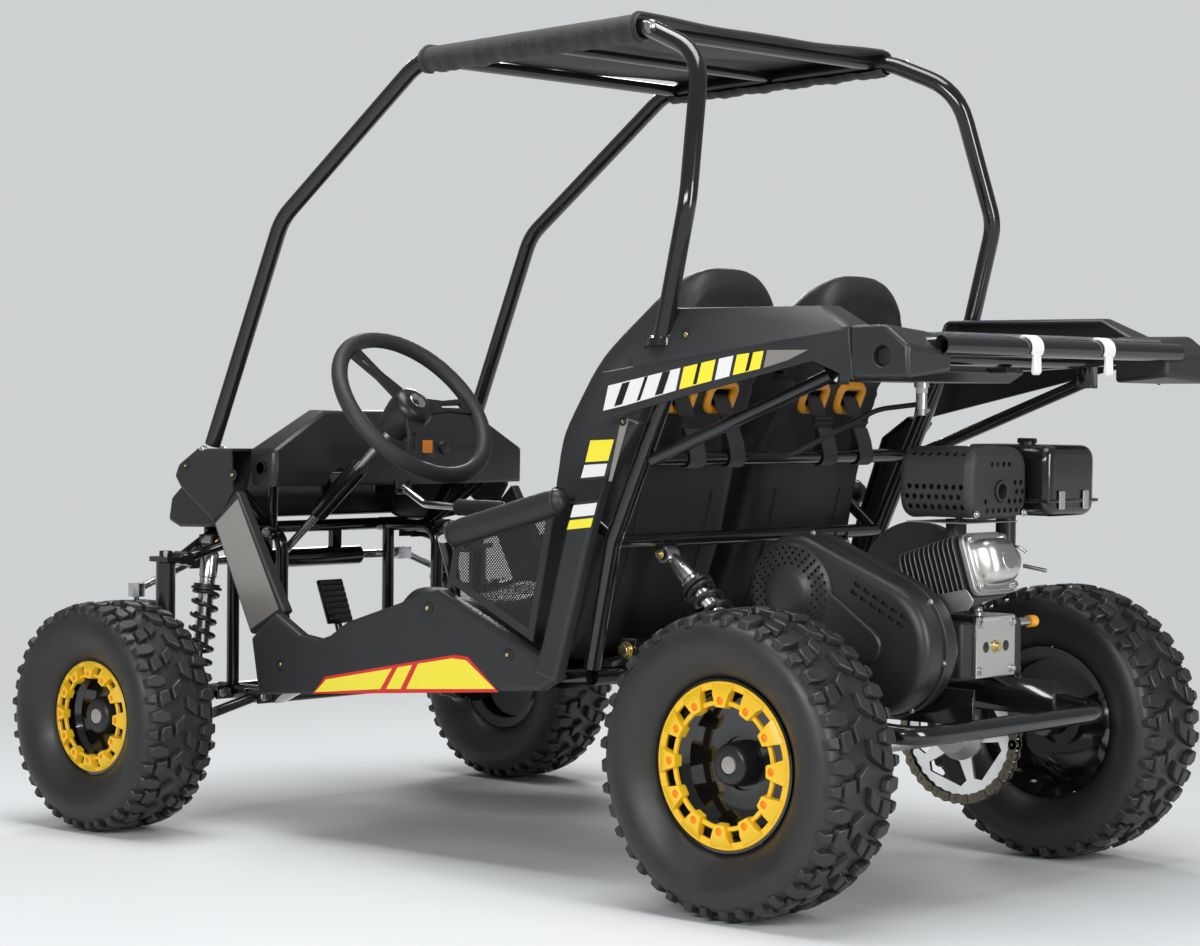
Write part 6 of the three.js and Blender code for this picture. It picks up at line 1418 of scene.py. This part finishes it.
def net_panel():
    corners = outline_at(NET, 342)
    hem = ring_of(corners)
    edit(hem)
    bpy.ops.mesh.edge_face_add()
    bpy.ops.mesh.inset(thickness=0.012)
    bpy.ops.mesh.delete(type="FACE")
    bpy.ops.mesh.select_all(action="SELECT")
    bpy.ops.mesh.extrude_region_move(TRANSFORM_OT_translate={"value": (0, 0.0028, 0)})
    bpy.ops.object.mode_set(mode="OBJECT")
    tidy(hem, 40)
    softened(hem, 0.0008, 2)
    middle = sum(corners, Vector()) / 4
    bpy.ops.object.select_all(action="DESELECT")
    bpy.ops.mesh.primitive_grid_add(x_subdivisions=84, y_subdivisions=84, size=0.3, location=middle,
                                    rotation=(math.pi / 2, math.radians(45), 0))
    bpy.ops.object.transform_apply()
    mesh = bpy.context.object
    edit(mesh)
    for a, b in zip(corners, corners[1:] + corners[:1]):
        outward = (b - a).cross(Vector((0, 1, 0))).normalized()
        if outward.dot((a + b) / 2 - middle) < 0:
            outward.negate()
        bpy.ops.mesh.select_all(action="SELECT")
        bpy.ops.mesh.bisect(plane_co=a - outward * 0.009, plane_no=outward, clear_outer=True)
    bpy.ops.object.mode_set(mode="OBJECT")
    mesh.data.transform(Matrix.Translation((0, 0.0014, 0)))
    wires = mesh.modifiers.new("yarn", "WIREFRAME")
    wires.thickness = 0.0018
    applied(mesh)
    print("net faces", len(mesh.data.polygons))
    return joined([painted(hem, seat_weave), painted(tidy(mesh, 60, outward=False), net_yarn)])


both_sides(net_panel(), "net_panel_{}", None, "chassis", slot="seat_cover")

SLEEVE_FROM, SLEEVE_TO = spot(574, 345, 474), spot(348, 345, 533)
sleeve = laid(turned([(0.0002, 0), (0.007, 0), (0.013, 0.003), (0.0178, 0.012), (0.0198, 0.035), (0.0194, 0.1),
                      (0.0196, 0.14), (0.0198, 0.2), (0.0178, 0.222), (0.013, 0.231), (0.007, 0.2335),
                      (0.0002, 0.2335)], Vector(), 40, 60), SLEEVE_FROM, SLEEVE_TO)
sleeve = remeshed(sleeve, 0.004, 2)
sleeve_run = SLEEVE_TO - SLEEVE_FROM


def sleeve_hold(vertex):
    """The sleeve is stitched shut at its ends and sewn to the net along its underside."""
    along = (vertex.co - SLEEVE_FROM).dot(sleeve_run) / sleeve_run.length_squared
    ends = 1 - min(along, 1 - along) / 0.08
    return min(max(ends, 0.9 if vertex.normal.z < -0.85 else 0.15), 1.0)


plumped(sleeve, sleeve_hold, 3, 0.004)
for obj in both_sides(sleeve, "padded_sleeve_{}", seat_skin, "chassis", "side_net_{}", "seat_cover"):
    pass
rings = []
for share in (0.05, 0.95):
    centre = SLEEVE_FROM + sleeve_run * share
    loop = turned([(0.0193, -0.0012), (0.0203, 0), (0.0193, 0.0012), (0.0183, 0)], Vector(), 40, 60)
    rings.append(laid(loop, centre, centre + sleeve_run))
rings.append(bent_tube([SLEEVE_FROM + sleeve_run * t + Vector((0, 0, -0.0197)) for t in (0.08, 0.35, 0.65, 0.92)],
                       0.0014, 0, 2))
both_sides(joined(rings), "sleeve_seams_{}", seat_skin, "chassis", slot="seat_cover")


# %% [markdown]
# Black straps come out of the harness slots behind the seats and loop round the cross tube.

# %% Harness straps
def ribbon(path, y, width, thick=0.0018):
    """A flat strap that follows a path in the XZ plane."""
    upper, lower = [], []
    for k, here in enumerate(path):
        before, after = path[max(k - 1, 0)], path[min(k + 1, len(path) - 1)]
        run = (after - before).normalized()
        normal = Vector((-run.z, 0, run.x)) * thick / 2
        upper.append(here + normal)
        lower.append(here - normal)
    obj = plate([p + Vector((0, y - width / 2, 0)) for p in upper + lower[::-1]], (0, width, 0))
    return softened(obj, thick * 0.3, 1, 50)


def arc(x, y, z, radius, degrees):
    """Places on an arc round an axle along Y, by their angles above the forward direction."""
    return [spot(x + radius * math.cos(math.radians(a)), y, z + radius * math.sin(math.radians(a))) for a in degrees]


STRAP_YS = [(seat_y + s * 44) / 1000 for seat_y in (152, -152) for s in (1, -1)]
over = corners_rounded([spot(312, 0, 679), spot(268, 0, 681), spot(252, 0, 640), spot(258, 0, 604)], 0.02, 5)[:-1]
over += arc(246, 0, 590, 12.6, range(45, -181, -15)) + [spot(238, 0, 612), spot(246, 0, 632)]
straps = [ribbon(over, y, 0.034) for y in STRAP_YS]
placed(joined(straps), "harness_straps", belt_webbing, "chassis", slot="cloth")
buckles = [bent_tube([spot(248.5, y * 1000 + out, z) for out in (-21, 21)], 0.0022, 0, 3)
           for y in STRAP_YS for z in (640, 647)]
placed(joined(buckles), "strap_sliders", smooth_plastic, "chassis", slot="matte_plastic")
print("straps ready")


# %% [markdown]
# The rear deck is a clear sheet held on the rack's last tube by two white clips. Under it hangs the
# moulded fuel tank with its tap and hose.

# %% Deck and tank
sheet = slab([(120, -262, 757.5), (120, 262, 757.5), (-228, 262, 757.5), (-236, 0, 757.5), (-228, -262, 757.5)],
             (0, 0, 0.004), 0.001, 2, deck_sheet)
placed(sheet, "deck_sheet", deck_sheet, "chassis", "rear_deck", slot="clear_sheet")
clips = []
for y in (88, -88):
    loop = arc(-238, y - 12, 744, 17, range(-35, 216, 10)) + arc(-238, y - 12, 744, 13.2, range(215, -36, -10))
    clips.append(softened(plate(loop, (0, 0.024, 0)), 0.0008, 1))
    clips.append(slab([(x, y - 8, z) for x, z in [(-253, 736), (-249, 736), (-247, 712), (-250, 708), (-254, 712)]],
                      (0, 0.016, 0), 0.0012, 2, clip_white))
placed(joined(clips), "deck_clips", clip_white, "chassis", slot="clear_sheet")

tank_points = []
for z, inset in ((699, 14), (713, 0), (716, 0), (731, 14)):
    for s in (1, -1):
        tank_points += [spot(112 - inset, s * (168 - inset), z), spot(-62 + inset, s * (168 - inset), z)]
tank_parts = [painted(hulled(tank_points, 0.007, 4), smooth_plastic)]
for y in (90, -90):
    for x0, x1, z in ((104, 178, 701.1), (-93, -58, 713.1)):
        tank_parts.append(slab([(x0, y - 12, z), (x1, y - 12, z), (x1, y + 12, z), (x0, y + 12, z)],
                               (0, 0, 0.0076), 0.001, 1, smooth_plastic))
weld = [spot(x, y, 714.5) for x, y in [(112.6, 168.6), (-62.6, 168.6), (-62.6, -168.6), (112.6, -168.6)]]
weld_loop = corners_rounded(weld + weld[:2], 0.012, 4)[3:]
tank_parts.append(painted(bent_tube(weld_loop, 0.0014, 0, 2), smooth_plastic))
for z0, z1, radius, material in ((700, 692, 11, zinc), (692, 684, 8.5, clip_white), (684, 662, 8, zinc),
                                 (662, 653, 6.5, cast_alloy)):
    tank_parts.append(bar((0, -7, z0), (0, -7, z1), radius, 6, material))
tank_parts.append(bar((0, -7, 661), (0, -23, 661), 4.2, 4, zinc))
placed(joined(tank_parts), "moulded_tank", None, "chassis", "fuel_tank", slot="matte_plastic")
hose_path = corners_rounded([spot(0, -7, 669), spot(60, 13, 661), spot(162, 84, 593), spot(233, 84, 590)], 0.06, 8)
hose = placed(bent_tube(hose_path, 0.0036, 0, 4), "fuel_hose", grip_rubber, "chassis", slot="matte_plastic")


# %% [markdown]
# The engine leans back from the crankcase. Its black fins have bright machined edges, and a polished
# cover with a soft dome closes the head. The carburettor hangs on its right, and the starter's
# ribbed shroud closes the crankcase on that side.

# %% Engine
CRANK, HEAD = spot(20, 38, 402), spot(-150, 38, 457)
head_way = (HEAD - CRANK).normalized()
reach = (HEAD - CRANK).length
lean = math.atan2(head_way.z, -head_way.x)
cross_way = Vector((math.sin(lean), 0, math.cos(lean)))


def on_head(along, u, v):
    """A place along the cylinder's axis, u to the left and v upward across it, in metres."""
    return CRANK + head_way * along + Vector((0, u, 0)) + cross_way * v


def across_plate(along, wide, high, thick, corner, bevel, material):
    outline = corners_rounded([on_head(along, u * wide / 2, v * high / 2) for u, v in
                               ((0, -1), (1, -1), (1, 1), (-1, 1), (-1, -1), (0, -1))], corner, 4)[:-1]
    return painted(softened(plate(outline, head_way * thick), bevel, 2), material)


ROUND = [math.radians(15 * k) for k in range(24)]
engine_parts = [
    painted(hulled([spot(x, y, z) for y in (100, -100) for x, z in
                    [(-16, 294.6), (146, 294.6), (146, 396), (124, 418), (-16, 418)]], 0.009, 4), cylinder_black),
    across_plate(0.02, 0.082, 0.07, reach - 0.024, 0.01, 0.002, cylinder_black)]
for k in range(12):
    along = reach * (0.38 + 0.55 * k / 12)
    engine_parts += [across_plate(along, 0.104, 0.088, 0.0026, 0.016, 0.0006, cylinder_black),
                     across_plate(along + 0.0011, 0.105, 0.089, 0.0005, 0.0164, 0.0001, cast_alloy)]
dome = []
for inward, out in ((0.004, 0), (0.0052, 0.009), (0.0085, 0.017), (0.0145, 0.0235), (0.0235, 0.027), (0.032, 0.028)):
    wide, high = 0.041 - inward * 0.9, 0.0365 - inward * 0.9
    dome += [on_head(reach + out, math.copysign(abs(math.cos(a)) ** 0.5, math.cos(a)) * wide,
                     math.copysign(abs(math.sin(a)) ** 0.5, math.sin(a)) * high) for a in ROUND]
bulge = [on_head(reach + out, math.cos(a) * r, math.sin(a) * r - 0.004)
         for r, out in ((0.017, 0.024), (0.0135, 0.0285), (0.006, 0.0295))
         for a in [math.radians(20 * k) for k in range(18)]]
shield = corners_rounded([on_head(a / 1000, 0.054, v / 1000) for a, v in
                          [(80, -20), (84, -8), (100, -10), (116, -27), (166, -32), (174, -50), (160, -60), (102, -50),
                           (80, -36), (80, -20), (84, -8)]], 0.006, 3)[1:-1]
engine_parts += [
    across_plate(reach - 0.012, 0.096, 0.086, 0.008, 0.014, 0.0012, cast_alloy),
    across_plate(reach - 0.004, 0.09, 0.08, 0.005, 0.02, 0.0012, bright_alloy),
    painted(hulled(dome, 0.0003, 1), bright_alloy),
    painted(hulled(bulge, 0.0003, 1), bright_alloy),
    *[bolt_head(on_head(reach + 0.001, u * 0.038, v * 0.033), head_way, 0.0052, zinc) for u in (-1, 1)
      for v in (-1, 1)],
    painted(softened(plate(shield, (0, 0.0022, 0)), 0.0007), cast_alloy),
    painted(bent_tube([on_head(reach - 0.03, 0.02, 0.03), on_head(reach - 0.03, 0.02, 0.062),
                       on_head(reach - 0.002, 0.02, 0.078)], 0.004, 0.012, 3), grip_rubber),
    painted(bent_tube([on_head(reach - 0.05, -0.036, 0.02), on_head(reach - 0.02, -0.06, 0.024)], 0.0085, 0, 4),
            grip_rubber)]
SHROUD_AT = (76, 0, 405)
rib = slab([(76 + r, -160.5, 405 + w) for r, w in [(52, -1.4), (76, -1.8), (76, 1.8), (52, 1.4)]], (0, -0.0026, 0),
           0.0006, 1, smooth_plastic)
engine_parts += [
    lathed([(0.2, -99), (95, -99), (96, -104), (93, -130), (86, -152), (78, -160), (50, -162), (48, -158),
            (0.2, -158)], SHROUD_AT, 72, cylinder_black),
    round_about(rib, 30, spot(*SHROUD_AT)),
    lathed([(0.2, -157), (44, -157), (44, -161), (40, -164), (14, -166), (0.2, -166)], SHROUD_AT, 48, smooth_plastic),
    lathed([(0.2, -3), (26, -3), (26, -9), (19.5, -11), (19.5, -50), (23, -52), (23, -86), (20, -92), (0.2, -92)],
           (-92, 0, 452), 40, cast_alloy),
    bar((-92, -72, 452), (-92, -72, 421), 16, 6, cast_alloy), bar((-92, -72, 421), (-92, -72, 414), 14, 6, yellow_zinc),
    bar((-92, -72, 414), (-92, -72, 408), 5, 6, zinc), bar((-92, -82, 452), (-92, -82, 515), 14.2, 6, smooth_plastic),
    bar((-92, 38, 430), (-92, 38, 513.5), 14.2, 6, heat_paint),
    painted(bent_tube([spot(-104, -60, 470), spot(-128, -60, 474), spot(-134, -70, 466)], 0.0022, 0.006, 3), zinc),
    bar((-118, -88, 446), (-150, -98, 440), 2.8, 3, zinc), bar((30, -60, 417), (30, -60, 432), 13, 5, smooth_plastic),
    slab([(-140, -40, 509), (-140, 88, 509), (-44, 88, 509), (-44, -40, 509)], (0, 0, 0.0016), 0.0005, 1,
         bright_alloy),
    *[bolt_head(spot(x, s * 100, z), (0, s, 0), 0.005, zinc) for s in (1, -1)
      for x, z in [(-6, 304), (136, 304), (136, 390), (-6, 408), (60, 302)]]]
motor = placed(joined(engine_parts), "finned_engine", None, "rear_arm", "engine", slot="cast_metal")
print("engine faces", len(motor.data.polygons))


# %% [markdown]
# A punched steel guard covers the silencer. Its holes are really cut, and the can shows through them.

# %% Muffler and air cleaner
def arched(y0, y1, low, high, bulge, x):
    """The outline of a box with a rounded top, as places in the YZ plane at x."""
    centre = (y0 + y1) / 2
    path = corners_rounded([spot(x, centre, low), spot(x, y0, low), spot(x, y0, high), spot(x, y1, high),
                            spot(x, y1, low), spot(x, centre, low)], bulge / 1000, 7)
    return path[:-1]


guard = softened(plate(arched(-46, 92, 514, 612, 36, -152), (0.12, 0, 0)), 0.012, 5, 40)
guard = opened(guard, lambda n: n.z < -0.9, 0.002)
PUNCH, SIDE_PUNCH = (0.0038, 0.02, 12), (0.0036, 0.03, 12)  # radius, depth and sides
holes = [cylinder(spot(-152, 20, 552), (1, 0, 0), 0.0155, 0.012, 32)]
for row, columns in ((0, range(7)), (1, (0, 1, 2, 6)), (2, (0, 1)), (3, (0, 1)), (5, (2, 3, 4, 5))):
    holes += [cylinder(spot(-152, -32 + column * 14 + (row % 2) * 4, 526 + row * 12.5), (1, 0, 0), *PUNCH)
              for column in columns]
holes += [cylinder(spot(-136 + column * 12 + (row % 2) * 4, y, 531 + row * 13.5), (0, 1, 0), *PUNCH)
          for row in range(3) for column in range(8) for y in (92, -46)]
holes += [cylinder(spot(-134 + column * 13.5, 23 + s * 57, 598), (0, s, 1.2), *SIDE_PUNCH)
          for column in range(7) for s in (1, -1)]
guard = cut_by(guard, *holes)
can = turned_on_x([(0.0002, 0), (0.034, 0), (0.038, 0.004), (0.038, 0.096), (0.034, 0.1), (0.0002, 0.1)],
                  heat_paint, 40)
can.data.transform(Matrix.Translation(spot(-40, 23, 560)))
port = turned_on_x([(0.0108, -0.02), (0.0128, -0.02), (0.0138, 0.001), (0.0148, 0.0025), (0.0135, 0.004),
                    (0.0108, 0.003)], heat_paint, 40)
port.data.transform(Matrix.Translation(spot(-152, 20, 552)))
guard_bolts = [bolt_head(spot(-152.5, y, z), (-1, 0, 0), 0.0045, zinc) for y, z in ((-34, 522), (80, 522))]
placed(joined([painted(guard, heat_paint), can, port, *guard_bolts]), "punched_guard", None, "rear_arm", "muffler",
       slot="heat_black")

box = softened(plate(arched(-176, -56, 516, 614, 24, -178), (0.15, 0, 0)), 0.012, 5, 40)
lip = slab([(-181, -179, 535), (-181, -53, 535), (-25, -53, 535), (-25, -179, 535)], (0, 0, 0.005), 0.002, 3,
           tube_paint)
knob = [bar((-103, -116, 612), (-103, -116, 618), 11, 5, smooth_plastic),
        bar((-117, -116, 619), (-89, -116, 619), 4, 3, smooth_plastic)]
clips = [slab([(-179, y - 7, 526), (-179, y - 7, 552), (-179, y + 7, 552), (-179, y + 7, 526)], (-0.003, 0, 0),
              0.001, 1, zinc) for y in (-146, -86)]
placed(joined([painted(box, tube_paint), lip, *knob, *clips]), "air_box", None, "rear_arm", "air_cleaner",
       slot="matte_plastic")
print("muffler and air cleaner ready")


# %% [markdown]
# The belt cover is one large moulding over two pulleys, with a flange where its halves meet. A ring
# of small vents surrounds the front pulley's smooth cap, and slots are cut over the rear one.

# %% Belt cover
def two_discs(grow, y):
    """The outline round both pulleys, grown by some mm."""
    front, rear = (76, 410, 80 + grow), (-55, 344, 93 + grow)
    gap = math.hypot(front[0] - rear[0], front[1] - rear[1])
    facing = math.atan2(front[1] - rear[1], front[0] - rear[0])
    lean_in = math.acos((rear[2] - front[2]) / gap)
    points = []
    for (cx, cz, radius), start, end in ((front, facing - lean_in, facing + lean_in),
                                         (rear, facing + lean_in, facing + 2 * math.pi - lean_in)):
        for k in range(37):
            a = start + (end - start) * k / 36
            points.append(spot(cx + radius * math.cos(a), y, cz + radius * math.sin(a)))
    return points


cover = softened(plate(two_discs(0, 103.5), (0, 0.08, 0), 50), 0.015, 6, 50)
flange = softened(plate(two_discs(3.5, 136), (0, 0.006, 0)), 0.0015)
front_centre, rear_centre = spot(76, 0, 410), spot(-55, 0, 344)
crown = turned([(0.0002, 0.178), (0.07, 0.178), (0.0685, 0.186), (0.064, 0.1895), (0.04, 0.1925), (0.034, 0.1965),
                (0.028, 0.199), (0.012, 0.2005), (0.0002, 0.2005)], front_centre, 72, 45)
vents = []
for ring, (radius, count) in enumerate(((0.0415, 22), (0.0485, 26), (0.0555, 30), (0.0625, 34))):
    for k in range(count):
        a = 2 * math.pi * (k + ring % 2 / 2) / count
        vents.append(cylinder(front_centre + Vector((radius * math.cos(a), 0.19, radius * math.sin(a))), (0, 1, 0),
                              0.0021, 0.02, 8))
crown = cut_by(crown, *vents)
slots = []
along = (front_centre - rear_centre).normalized()
side = Vector((-along.z, 0, along.x))
for row in (0.052, 0.064):
    for k in range(6):
        middle = rear_centre + along * (k * 0.017 - 0.03) + side * row + Vector((0, 0.178, 0))
        slots.append(plate([middle + along * u * 0.0062 + side * w * 0.0026 for u, w in
                            ((-1, -1), (-1, 1), (1, 1), (1, -1))], (0, 0.01, 0)))
cover = cut_by(cover, *slots)
tongue = []
for x, z, radius in ((50, 397, 38), (-52, 346, 24)):
    tongue += [place for y in (182, 188.5) for place in arc(x, y, z, radius, range(0, 360, 15))]
tongue = hulled(tongue, 0.004, 4)
cover_bolts = []
outer = two_discs(-2, 142)
for k in (4, 18, 32, 42, 52, 62):
    middle = (front_centre if k < 37 else rear_centre) + Vector((0, 0.142, 0))
    cover_bolts.append(bolt_head(outer[k] + (outer[k] - middle).normalized() * 0.0025, (0, 1, 0), 0.0035, zinc))
placed(joined([painted(p, cover_plastic) for p in (cover, flange, crown, tongue)] + cover_bolts),
       "belt_cover_moulded", None, "rear_arm", "belt_cover", slot="heat_black")
print("belt cover ready")


# %% [markdown]
# The gearbox is a cast block with a bright bracket plate across its back.

# %% Gearbox
def block(x0, x1, y0, y1, z0, z1, bevel, material, segments=2):
    corners = [(x, y, z0) for x, y in ((x0, y0), (x1, y0), (x1, y1), (x0, y1))]
    return slab(corners, (0, 0, (z1 - z0) / 1000), bevel, segments, material)


gear_parts = [
    block(-114, -20, -94, 54, 294.6, 374, 0.006, cylinder_black, 3),
    cut_by(block(-120, -113.6, -67.6, 27.6, 296, 380, 0.002, bright_alloy),
           *[cylinder(spot(-117, y, 338), (1, 0, 0), 0.0075, 0.02, 24) for y in (-44, 4)]),
    block(-124, -70, -58, 18, 374, 381, 0.0018, bright_alloy),
    lathed([(0.2, 52), (38, 52), (38.5, 56), (38.5, 60), (34, 62), (34, 70), (38.5, 72), (38.5, 98), (36, 102.5),
            (0.2, 102.5)], (-70, 0, 335), 48, cast_alloy),
    bolt_head(spot(-87, -20, 381), (0, 0, 1), 0.0105, zinc),
    *[bolt_head(spot(-120.2, y, z), (-1, 0, 0), 0.0052, zinc) for y in (-58, 18) for z in (306, 370)],
    bolt_head(spot(-120.2, -20, 338), (-1, 0, 0), 0.0075, yellow_zinc),
    bar((-62, -93, 332), (-62, -116, 332), 14.2, 5, zinc), toothed(OUTPUT, SMALL),
    bar((-96, -93, 365), (-96, -134, 365), 6.2, 4, zinc), bar((-96, -134, 365), (-96, -150, 365), 8.5, 5, trim_orange),
]
placed(joined(gear_parts), "cast_gearbox", None, "rear_arm", "gearbox", slot="cast_metal")
print("gearbox ready")
